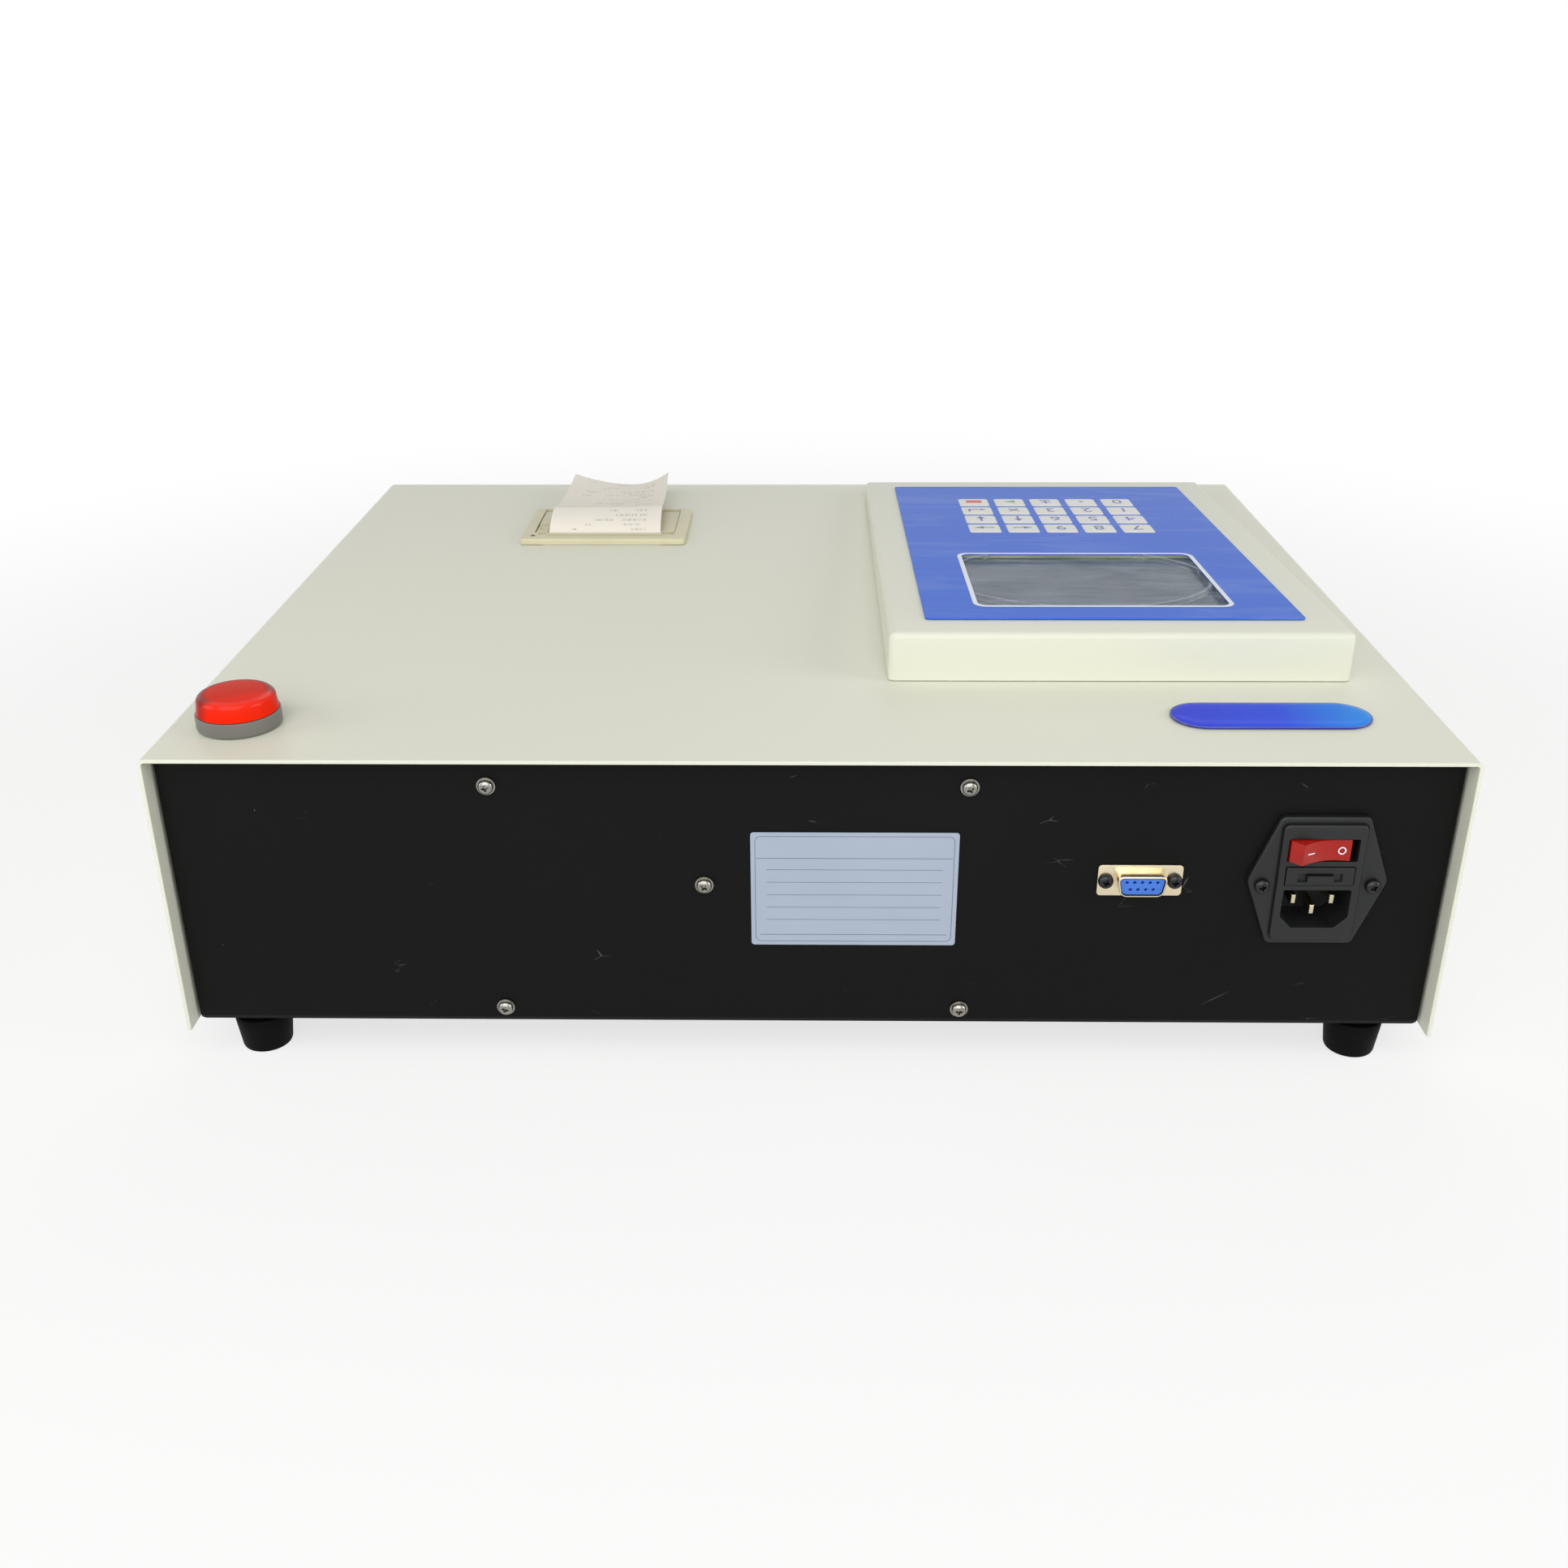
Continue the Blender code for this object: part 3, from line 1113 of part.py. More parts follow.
def build_console(cream_paint):
    """Sloping sheet hood with welded posts, whose threaded ends hold it through the cover."""
    rear = from_rear(CONSOLE_FROM_REAR)
    front = rear - CONSOLE_DEPTH
    low = COVER_TOP + SEAT
    half = CONSOLE_WIDTH / 2
    shape = bmesh.new()
    prism(shape, ((rear, low), (rear, console_top(rear)), (front, console_top(front)), (front, low)), "X",
          CONSOLE_X - half, CONSOLE_X + half)
    soften(shape, lambda edge: not at_height(edge, low), BEND, FOLD_STEPS)
    hood = finished("console_housing", shape, cream_paint)
    shape = bmesh.new()
    drop = SHEET / math.cos(CONSOLE_SLOPE)
    rear_in, front_in = rear - SHEET, front + SHEET
    prism(shape, ((rear_in, low - OVERRUN), (rear_in, console_top(rear_in) - drop),
                  (front_in, console_top(front_in) - drop), (front_in, low - OVERRUN)), "X",
          CONSOLE_X - half + SHEET, CONSOLE_X + half - SHEET)
    soften(shape, lambda edge: not at_height(edge, low - OVERRUN), BEND - SHEET, FOLD_STEPS)
    carve(hood, shape)
    face = anchor("console_face", (CONSOLE_X, (rear + front) / 2, console_top((rear + front) / 2)),
                  turn=CONSOLE_SLOPE)

    shape = bmesh.new()
    nut_top = COVER_TOP - SHEET - SEAT
    nut_low = nut_top - NUT_HEIGHT
    for x, y in console_post_places():
        reach = console_top(y) - SHEET / 2
        turned(shape, ((0.0, nut_low - SHEET), (SCREW_RADIUS, nut_low - SHEET), (SCREW_RADIUS, nut_low),
                       (NUT_RADIUS, nut_low), (NUT_RADIUS, nut_top), (SCREW_RADIUS, nut_top),
                       (SCREW_RADIUS, low), (CONSOLE_POST_RADIUS, low), (CONSOLE_POST_RADIUS, reach),
                       (0.0, reach)), "Z", (x, y, 0.0), PIN_SIDES)
    fuse(hood, shape)

    shape = bmesh.new()
    pins = [(x, y, DISPLAY_STUD) for x, y in display_stud_places()]
    pins += [(x, y, BOARD_STUD) for x, y in board_stud_places()]
    for x, y, length in pins:
        rod(shape, STUD_RADIUS, -length, -SHEET / 2, "Z", (x, y, 0.0), PIN_SIDES)
    matrix = Matrix.Translation(face.location) @ Matrix.Rotation(CONSOLE_SLOPE, 4, "X")
    bmesh.ops.transform(shape, matrix=matrix, verts=shape.verts[:])
    fuse(hood, shape)
    shape = bmesh.new()
    prism(shape, window_outline(), "Z", -SHEET - OVERRUN, OVERRUN)
    bmesh.ops.transform(shape, matrix=matrix, verts=shape.verts[:])
    carve(hood, shape)
    return face


def window_outline(inset=0.0):
    """Rounded outline of the display window, drawn in by an amount."""
    return rounded(WINDOW_WIDTH - 2 * inset, WINDOW_LENGTH - 2 * inset, WINDOW_CORNER - inset, 5,
                   (WINDOW_X, WINDOW_Y))


def display_stud_places():
    """X and Y of the studs that hold the display module."""
    return corners(MODULE_BOARD_WIDTH, MODULE_BOARD_LENGTH, STUD_INSET, (WINDOW_X, WINDOW_Y))


def board_stud_places():
    """X and Y of the studs that hold the keypad board."""
    return corners(KEY_BOARD_WIDTH, KEY_BOARD_LENGTH, STUD_INSET, (0.0, KEY_CENTRE_Y))


def key_places():
    """Middle of each key, row by row."""
    return [((column - (KEY_COLUMNS - 1) / 2) * KEY_PITCH_X,
             KEY_CENTRE_Y + (row - (KEY_ROWS - 1) / 2) * KEY_PITCH_Y)
            for row in range(KEY_ROWS) for column in range(KEY_COLUMNS)]


def build_keypad(face, blue_film):
    """One laminated film with embossed keys and the display's window cut out."""
    shape = bmesh.new()
    top = SEAT + FILM
    prism(shape, rounded(OVERLAY_WIDTH, OVERLAY_LENGTH, OVERLAY_CORNER, 2), "Z", SEAT, top)
    overlay = finished("keypad_overlay", shape, blue_film, face)
    shape = bmesh.new()
    for x, y in key_places():
        prism(shape, rounded(KEY_WIDTH, KEY_LENGTH, KEY_CORNER, 1, (x, y)), "Z", SEAT + FILM / 2,
              top + KEY_RISE)
    fuse(overlay, shape)
    shape = bmesh.new()
    prism(shape, window_outline(), "Z", -OVERRUN, OVERRUN)
    carve(overlay, shape)


def build_display(face, clear_acrylic, dark_glass, board_green):
    """Window pane, display module under it, and the keypad's own board."""
    shape = bmesh.new()
    prism(shape, window_outline(SEAT), "Z", -SHEET, SEAT + FILM - SEAT / 2)
    finished("display_window", shape, clear_acrylic, face)

    top = -SHEET - SEAT
    low = top - MODULE_THICKNESS
    shape = bmesh.new()
    block(shape, (WINDOW_X, WINDOW_Y, (top + low) / 2), (MODULE_WIDTH, MODULE_LENGTH, top - low))
    soften(shape, lambda edge: at_height(edge, top), SMALL_EDGE, 1)
    module = finished("display_module", shape, dark_glass, face)
    shape = bmesh.new()
    block(shape, (WINDOW_X, WINDOW_Y, low), (MODULE_BOARD_WIDTH, MODULE_BOARD_LENGTH, BOARD_THICKNESS))
    fuse(module, shape)
    shape = bmesh.new()
    for x, y in display_stud_places():
        rod(shape, STUD_RADIUS + SEAT, low - OVERRUN, low + OVERRUN, "Z", (x, y, 0.0), PIN_SIDES)
    carve(module, shape)

    shape = bmesh.new()
    high = -SHEET - KEY_BOARD_DROP
    low = high - BOARD_THICKNESS
    block(shape, (0.0, KEY_CENTRE_Y, (high + low) / 2), (KEY_BOARD_WIDTH, KEY_BOARD_LENGTH, high - low))
    board = finished("keypad_board", shape, board_green, face)
    shape = bmesh.new()
    block(shape, (0.0, KEY_CENTRE_Y, high), (KEY_BOARD_WIDTH / 4, KEY_BOARD_LENGTH / 4, KEY_BOARD_PART))
    block(shape, (0.0, KEY_CENTRE_Y + KEY_BOARD_LENGTH / 3, high),
          (KEY_BOARD_WIDTH / 3, KEY_BOARD_LENGTH / 8, 2 * KEY_BOARD_PART))
    fuse(board, shape)
    shape = bmesh.new()
    for x, y in board_stud_places():
        rod(shape, STUD_RADIUS + SEAT, low - OVERRUN, high + OVERRUN, "Z", (x, y, 0.0), PIN_SIDES)
    carve(board, shape)


# Panel printer

def gear_outline(teeth, phase):
    """Outline of a small spur gear in the plane of Y and Z; a tooth points along the phase angle."""
    pitch = GEAR_MODULE * teeth / 2
    outer = pitch + GEAR_MODULE * ADDENDUM_SHARE
    root = pitch - GEAR_MODULE * DEDENDUM_SHARE
    step = math.tau / teeth
    flank = ((root, -ROOT_SHARE), (pitch, -PITCH_SHARE), (outer, -TIP_SHARE),
             (outer, TIP_SHARE), (pitch, PITCH_SHARE), (root, ROOT_SHARE))
    return [(radius * math.cos(phase + step * (tooth + share)),
             radius * math.sin(phase + step * (tooth + share)))
            for tooth in range(teeth) for radius, share in flank]


def meshed(phase, teeth, next_teeth, direction):
    """Phase of the next gear, so that its gap takes the tooth nearest the line between the two."""
    lead = (direction - phase) % (math.tau / teeth)
    return direction + math.pi + lead * teeth / next_teeth + math.pi / next_teeth


def step_to(place, teeth, next_teeth, direction):
    """Centre of the next gear, at the right distance in a direction."""
    reach = GEAR_MODULE * (teeth + next_teeth) / 2
    return place[0] + reach * math.cos(direction), place[1] + reach * math.sin(direction)


def idler_place():
    """Y and Z of the idler's axle."""
    return step_to((PLATEN_Y, PLATEN_Z), PLATEN_TEETH, IDLER_TEETH, IDLER_ANGLE)


def pinion_place():
    """Y and Z of the motor's shaft."""
    return step_to(idler_place(), IDLER_TEETH, PINION_TEETH, PINION_ANGLE)


def build_bezel(place, beige_plastic):
    """Frame on the cover, with a skirt through it, the door's window and the tear edge."""
    top = BEZEL_HEIGHT
    shape = bmesh.new()
    prism(shape, rounded(BEZEL_WIDTH, BEZEL_LENGTH, BEZEL_CORNER, 3), "Z", SEAT, top)
    soften(shape, lambda edge: at_height(edge, top), BEZEL_EDGE, 2)
    bezel = finished("printer_bezel", shape, beige_plastic, place)
    shape = bmesh.new()
    block(shape, (0.0, 0.0, (SEAT + BEZEL_PLATE - SKIRT_DEPTH) / 2 - SEAT),
          (SKIRT_WIDTH, SKIRT_LENGTH, SEAT + BEZEL_PLATE + SKIRT_DEPTH - 2 * SEAT))
    fuse(bezel, shape)
    under = top - BEZEL_PLATE
    outline = ((-HATCH_FAR, -SKIRT_DEPTH - OVERRUN), (-HATCH_FAR, top + OVERRUN),
               (HATCH_NEAR, top + OVERRUN), (HATCH_NEAR, under), (HEAD_BAY, under),
               (HEAD_BAY, -SKIRT_DEPTH - OVERRUN))
    shape = bmesh.new()
    prism(shape, outline, "X", -WINDOW_HALF, WINDOW_HALF)
    carve(bezel, shape)
    shape = bmesh.new()
    rod(shape, HINGE_PIN_RADIUS + SEAT, -HINGE_PIN_HALF - SEAT, HINGE_PIN_HALF + SEAT, "X",
        (0.0, HINGE_Y, HINGE_Z), SCREW_SIDES)
    rod(shape, LED_RADIUS, top - LED_DEPTH, top + OVERRUN, "Z", (LED_X, TEAR_EDGE, 0.0), SCREW_SIDES)
    box(shape, (-WINDOW_HALF + SLACK, HATCH_NEAR - OVERRUN, top - TEAR_STEP),
        (WINDOW_HALF - 2 * LED_RADIUS, TEAR_EDGE, top + OVERRUN))
    carve(bezel, shape)


def build_bucket(place, black_plastic):
    """Paper well under the bezel, with side guides, the idler's stud and the motor's cradle."""
    high = -SKIRT_DEPTH - SEAT
    half_x, half_y = SKIRT_WIDTH / 2, SKIRT_LENGTH / 2
    shape = bmesh.new()
    box(shape, (-half_x, -half_y, -BUCKET_DEPTH), (half_x, half_y, high))
    soften(shape, lambda edge: along(edge, "Z"), SHEET, 2)
    bucket = finished("printer_bucket", shape, black_plastic, place)
    shape = bmesh.new()
    floor = -BUCKET_DEPTH + BUCKET_WALL
    box(shape, (-half_x + BUCKET_WALL, -half_y + BUCKET_WALL, floor),
        (half_x - BUCKET_WALL, half_y - BUCKET_WALL, high + OVERRUN))
    carve(bucket, shape)
    shape = bmesh.new()
    inside = PAPER_WIDTH / 2 + 2 * SEAT
    for side in (-1, 1):
        near, far = PAPER_X + side * inside, PAPER_X + side * (inside + DIVIDER)
        box(shape, (min(near, far), -half_y + BUCKET_WALL / 2, floor - BUCKET_WALL / 2),
            (max(near, far), DIVIDER_END, -DIVIDER_TOP))
    y, z = idler_place()
    rod(shape, IDLER_STUD_RADIUS, -half_x + BUCKET_WALL / 2, -GEAR_SIDE + GEAR_FACE + SEAT, "X",
        (0.0, y, z), SCREW_SIDES)
    y, z = pinion_place()
    cradle = z - MOTOR_RADIUS
    outline = [(y - MOTOR_RADIUS, cradle - BUCKET_WALL), (half_y - BUCKET_WALL / 2, cradle - BUCKET_WALL),
               (half_y - BUCKET_WALL / 2, z)]
    reach = math.acos((half_y - BUCKET_WALL - SEAT - y) / (MOTOR_RADIUS + SEAT)) \
        if half_y - BUCKET_WALL - SEAT - y < MOTOR_RADIUS + SEAT else 0.0
    outline += arc((y, z), MOTOR_RADIUS + SEAT, -reach, -math.pi * 3 / 4, 5)
    prism(shape, outline, "X", -MOTOR_FACE + SHEET, -MOTOR_FACE + MOTOR_LENGTH - SHEET)
    fuse(bucket, shape)


def cheek_outline():
    """Side arm of the door, measured from the hinge: it dips under the button to carry the platen."""
    y, z = PLATEN_Y - HINGE_Y, PLATEN_Z - HINGE_Z
    plate = BARREL_RADIUS - DOOR_THICKNESS / 2
    button = DOOR_EDGE_Y - BUTTON_LENGTH - HINGE_Y
    dip = z + CHEEK_ROUND - SEAT
    points = [(button - SHEET, plate), (BUTTON_LENGTH / 2, plate), (BUTTON_LENGTH / 2, -BARREL_RADIUS)]
    points += arc((y, z), CHEEK_ROUND, -math.pi * 0.72, 0.0, 6)
    return points + [(y + CHEEK_ROUND, dip), (button + SHEET, dip), (button - SHEET, -SEAT)]


def build_door(place, beige_plastic, steel):
    """Hinged paper door with cheeks for the platen and a notch for its release button."""
    hinge = anchor("door_hinge", (0.0, HINGE_Y, HINGE_Z), parent=place)
    near = DOOR_EDGE_Y - HINGE_Y
    under = BARREL_RADIUS - DOOR_THICKNESS
    outline = [(near, under), (near, BARREL_RADIUS)]
    outline += arc((0.0, 0.0), BARREL_RADIUS, math.pi / 2, math.tau + math.asin(under / BARREL_RADIUS), 12)
    shape = bmesh.new()
    prism(shape, outline, "X", -DOOR_HALF, DOOR_HALF)
    door = finished("printer_door", shape, beige_plastic, hinge)
    shape = bmesh.new()
    for side in (-1, 1):
        near_side, far_side = side * CHEEK_INSIDE, side * (CHEEK_INSIDE + CHEEK_THICKNESS)
        prism(shape, cheek_outline(), "X", min(near_side, far_side), max(near_side, far_side))
    fuse(door, shape)
    platen = (PLATEN_Y - HINGE_Y, PLATEN_Z - HINGE_Z)
    stem = (BUTTON_STEM_X, BUTTON_STEM_Y - HINGE_Y)
    lug_low = platen[1] + SEAT
    shape = bmesh.new()
    box(shape, (CHEEK_INSIDE + CHEEK_THICKNESS / 2, stem[1] - BUTTON_LUG_HALF, lug_low),
        (DOOR_HALF - SEAT, stem[1] + BUTTON_LUG_HALF, lug_low + BUTTON_LUG))
    fuse(door, shape)
    shape = bmesh.new()
    rod(shape, HINGE_PIN_RADIUS + SEAT, -DOOR_HALF - OVERRUN, DOOR_HALF + OVERRUN, "X", (0.0, 0.0, 0.0),
        SCREW_SIDES)
    box(shape, (BUTTON_INSIDE - SEAT, near - BUTTON_LENGTH - SEAT, under - SEAT),
        (DOOR_HALF + OVERRUN, near + OVERRUN, BARREL_RADIUS + OVERRUN))
    carve(door, shape)
    shape = bmesh.new()
    reach = CHEEK_INSIDE + CHEEK_THICKNESS + OVERRUN / 4
    rod(shape, SHAFT_RADIUS + SEAT, -reach, reach, "X", (0.0, *platen), SCREW_SIDES)
    rod(shape, BUTTON_STEM_RADIUS + SEAT, lug_low - OVERRUN, lug_low + BUTTON_LUG + OVERRUN / 2, "Z",
        (*stem, 0.0), PIN_SIDES)
    carve(door, shape)

    shape = bmesh.new()
    rod(shape, HINGE_PIN_RADIUS, -HINGE_PIN_HALF, HINGE_PIN_HALF, "X", (0.0, HINGE_Y, HINGE_Z), PIN_SIDES)
    finished("door_pin", shape, steel, place)

    slide = anchor("button_slide", (0.0, -HINGE_Y, -HINGE_Z), parent=hinge)
    top = HINGE_Z + BARREL_RADIUS - BUTTON_DROP
    low = top - BUTTON_THICKNESS
    shape = bmesh.new()
    box(shape, (BUTTON_INSIDE, DOOR_EDGE_Y - BUTTON_LENGTH, low), (DOOR_HALF, DOOR_EDGE_Y - SEAT, top))
    soften(shape, lambda edge: at_height(edge, top), SEAT, 1)
    button = finished("release_button", shape, beige_plastic, slide)
    shape = bmesh.new()
    rod(shape, BUTTON_STEM_RADIUS, low - BUTTON_STEM, low + BUTTON_THICKNESS / 2, "Z",
        (BUTTON_STEM_X, BUTTON_STEM_Y, 0.0), PIN_SIDES)
    fuse(button, shape)
    return hinge


def build_platen(hinge, rubber, white_nylon):
    """Rubber sleeve on a geared shaft, carried by the door."""
    axis = anchor("platen_axis", (0.0, PLATEN_Y - HINGE_Y, PLATEN_Z - HINGE_Z), parent=hinge)
    shape = bmesh.new()
    bore = SHAFT_RADIUS + SEAT
    turned(shape, ((bore, -PLATEN_HALF), (PLATEN_RADIUS, -PLATEN_HALF), (PLATEN_RADIUS, PLATEN_HALF),
                   (bore, PLATEN_HALF)), "X", (0.0, 0.0, 0.0), ROUND_SIDES, ring=True)
    finished("platen_roller", shape, rubber, axis)
    shape = bmesh.new()
    phase = IDLER_ANGLE
    prism(shape, gear_outline(PLATEN_TEETH, phase), "X", -GEAR_SIDE, -GEAR_SIDE + GEAR_FACE)
    gear = finished("platen_gear", shape, white_nylon, axis)
    shape = bmesh.new()
    rod(shape, SHAFT_RADIUS, -GEAR_SIDE - SEAT, CHEEK_INSIDE + CHEEK_THICKNESS + SEAT, "X",
        (0.0, 0.0, 0.0), SCREW_SIDES)
    fuse(gear, shape)
    return phase


def build_gear_train(place, phase, white_nylon, brass, steel):
    """Idler on its stud, motor pinion and motor."""
    idler = idler_place()
    axis = anchor("idler_axis", (0.0, *idler), parent=place)
    phase = meshed(phase, PLATEN_TEETH, IDLER_TEETH, IDLER_ANGLE)
    shape = bmesh.new()
    prism(shape, gear_outline(IDLER_TEETH, phase), "X", -GEAR_SIDE, -GEAR_SIDE + GEAR_FACE)
    gear = finished("idler_gear", shape, white_nylon, axis)
    shape = bmesh.new()
    rod(shape, IDLER_STUD_RADIUS + SEAT, -GEAR_SIDE - OVERRUN, -GEAR_SIDE + GEAR_FACE + OVERRUN, "X",
        (0.0, 0.0, 0.0), SCREW_SIDES)
    carve(gear, shape)

    pinion = pinion_place()
    axis = anchor("pinion_axis", (0.0, *pinion), parent=place)
    phase = meshed(phase, IDLER_TEETH, PINION_TEETH, PINION_ANGLE)
    shape = bmesh.new()
    prism(shape, gear_outline(PINION_TEETH, phase), "X", -GEAR_SIDE, -GEAR_SIDE + GEAR_FACE)
    gear = finished("motor_pinion", shape, brass, axis)
    shape = bmesh.new()
    rod(shape, PINION_SHAFT_RADIUS, -GEAR_SIDE - SEAT, -MOTOR_FACE + MOTOR_MOUTH - SEAT, "X",
        (0.0, 0.0, 0.0), PIN_SIDES)
    fuse(gear, shape)

    shape = bmesh.new()
    hole = PINION_SHAFT_RADIUS + SEAT
    turned(shape, ((0.0, -MOTOR_FACE + MOTOR_MOUTH), (hole, -MOTOR_FACE + MOTOR_MOUTH), (hole, -MOTOR_FACE),
                   (MOTOR_RADIUS, -MOTOR_FACE), (MOTOR_RADIUS, -MOTOR_FACE + MOTOR_LENGTH),
                   (0.0, -MOTOR_FACE + MOTOR_LENGTH)), "X", (0.0, *pinion), ROUND_SIDES)
    finished("printer_motor", shape, steel, place)


def build_print_head(place, aluminium):
    """Thermal head bar that the platen presses the paper against."""
    top = BEZEL_HEIGHT - BEZEL_PLATE - SEAT
    cut = HEAD_CHAMFER
    outline = ((HEAD_FRONT, HEAD_LOW + cut), (HEAD_FRONT, top - cut), (HEAD_FRONT + cut, top),
               (HEAD_BACK, top), (HEAD_BACK, HEAD_LOW), (HEAD_FRONT + cut, HEAD_LOW))
    shape = bmesh.new()
    prism(shape, outline, "X", -HEAD_HALF, HEAD_HALF)
    finished("print_head", shape, aluminium, place)


def paper_line(share):
    """Y and lift of the printed strip along its length: up from the slot, over a crease, then flat."""
    climb = 0.32
    if share < climb:
        t = share / climb
        y = PAPER_Y + (PAPER_CREASE_Y - PAPER_Y) * t * t
        return y, PAPER_START + (PAPER_LIFT - PAPER_START) * (2 * t - t * t)
    t = (share - climb) / (1 - climb)
    sag = PAPER_CURL * math.sin(math.pi * t) / 3
    return (PAPER_CREASE_Y + (PAPER_END_Y - PAPER_CREASE_Y) * t,
            PAPER_LIFT + (PAPER_END_LIFT - PAPER_LIFT) * t - sag)


def sheet_of(shape, rows, thickness):
    """Closed thin sheet from rows of points."""
    grid = [[shape.verts.new(point) for point in row] for row in rows]
    for low, high in zip(grid, grid[1:]):
        for a, b, c, d in zip(low, low[1:], high[1:], high):
            shape.faces.new((a, b, c, d))
    bmesh.ops.recalc_face_normals(shape, faces=shape.faces[:])
    bmesh.ops.solidify(shape, geom=shape.faces[:], thickness=thickness)


def build_paper(place, hinge, paper):
    """Roll in its well, and the printed strip over the door, which turns about the nip."""
    nip = anchor("strip_nip", (PAPER_X, PAPER_Y - HINGE_Y, PAPER_START - HINGE_Z), parent=hinge)
    rows = []
    half = PAPER_WIDTH / 2
    for i in range(PAPER_ROWS + 1):
        share = i / PAPER_ROWS
        y, lift = paper_line(share)
        row = []
        for j in range(PAPER_COLUMNS + 1):
            across = 2 * j / PAPER_COLUMNS - 1
            curl = PAPER_CURL * across ** 4 * share ** 3
            row.append((across * half, y - PAPER_Y, lift + curl - PAPER_START))
        rows.append(row)
    shape = bmesh.new()
    sheet_of(shape, rows, PAPER_THICKNESS)
    finished("paper_strip", shape, paper, nip)

    roll_z = -BUCKET_DEPTH + BUCKET_WALL + SEAT + ROLL_RADIUS
    axis = anchor("paper_roll_axis", (PAPER_X, ROLL_Y, roll_z), parent=place)
    shape = bmesh.new()
    turned(shape, ((ROLL_CORE_RADIUS, -half), (ROLL_RADIUS, -half), (ROLL_RADIUS, half),
                   (ROLL_CORE_RADIUS, half)), "X", (0.0, 0.0, 0.0), ROUND_SIDES, ring=True)
    finished("paper_roll", shape, paper, axis)


# Sample drawer and measuring head

def build_drawer(aluminium, black_paint, knob_black, steel):
    """Tray with side runners that carries the sample cup under the measuring head."""
    slide = anchor("drawer_slide", (SAMPLE_X, FRONT_FACE, RAIL_MIDDLE))
    half = DRAWER_WIDTH / 2
    low, high = -DRAWER_HEIGHT / 2, DRAWER_HEIGHT / 2
    face_back = -SEAT
    wall = DRAWER_WALL
    shape = bmesh.new()
    box(shape, (-half, 0.0, low), (half, DRAWER_LENGTH, high))
    tray = finished("sample_drawer", shape, aluminium, slide)
    shape = bmesh.new()
    box(shape, (-half + wall, wall, low + wall), (half - wall, DRAWER_LENGTH - wall, high + OVERRUN))
    carve(tray, shape)
    shape = bmesh.new()
    well = CUP_HEIGHT + CUP_FLOOR
    rod(shape, CUP_RADIUS + 2 * wall, low + wall / 2, high, "Z", (0.0, CUP_FROM_FRONT, 0.0), ROUND_SIDES)
    runner_end = SHEET + SEAT + RUNNER_LENGTH
    for side in (-1, 1):
        near, far = sorted((side * (half - wall / 2), side * (half + RUNNER_REACH)))
        box(shape, (near, SHEET + SEAT, -RUNNER_HEIGHT / 2), (far, runner_end, RUNNER_HEIGHT / 2))
    fuse(tray, shape)
    shape = bmesh.new()
    rod(shape, CUP_RADIUS + SEAT, high - well, high + OVERRUN, "Z", (0.0, CUP_FROM_FRONT, 0.0), ROUND_SIDES)
    carve(tray, shape)

    shape = bmesh.new()
    block(shape, (0.0, face_back - FACE_THICKNESS / 2, 0.0), (FACE_WIDTH, FACE_THICKNESS, FACE_HEIGHT))
    soften(shape, lambda edge: along(edge, "Y"), FACE_CORNER, 3)
    front = face_back - FACE_THICKNESS
    soften(shape, lambda edge: all(abs(v.co.y - front) < SEAT / 10 for v in edge.verts), FACE_EDGE, 2)
    finished("drawer_front", shape, black_paint, slide)

    knob_seat = front - SEAT
    profile = (
        (0.0, knob_seat), (KNOB_NECK_RADIUS, knob_seat), (KNOB_NECK_RADIUS, knob_seat - KNOB_NECK),
        (KNOB_RADIUS, knob_seat - KNOB_NECK - KNOB_SPIGOT),
        (KNOB_RADIUS, knob_seat - KNOB_LENGTH + KNOB_EDGE),
        (KNOB_RADIUS - KNOB_EDGE, knob_seat - KNOB_LENGTH), (0.0, knob_seat - KNOB_LENGTH))
    shape = bmesh.new()
    turned(shape, profile, "Y", (0.0, 0.0, 0.0), ROUND_SIDES)
    finished("drawer_knob", shape, knob_black, slide)

    floor = high - well + SEAT
    shape = bmesh.new()
    rim = floor + CUP_HEIGHT + CUP_FLOOR - 2 * SEAT
    turned(shape, ((0.0, floor), (CUP_RADIUS, floor), (CUP_RADIUS, rim), (CUP_RADIUS - CUP_WALL, rim),
                   (CUP_RADIUS - CUP_WALL, floor + CUP_FLOOR), (0.0, floor + CUP_FLOOR)), "Z",
           (0.0, CUP_FROM_FRONT, 0.0), ROUND_SIDES)
    finished("sample_cup", shape, steel, slide)


def rail_outline(side):
    """C-shaped rail that grips a runner, open towards the drawer and welded to the bridge's wall."""
    outer = side * (FRAME_HALF + FRAME_WALL / 2)
    inner = side * (FRAME_HALF - RAIL_DEPTH)
    wall = side * (FRAME_HALF - RAIL_WALL)
    high, mouth = RAIL_HEIGHT / 2, RAIL_HEIGHT / 2 - RAIL_LIP
    points = [(outer, high), (inner, high), (inner, mouth), (wall, mouth),
              (wall, -mouth), (inner, -mouth), (inner, -high), (outer, -high)]
    return [(SAMPLE_X + u, RAIL_MIDDLE + v) for u, v in points]


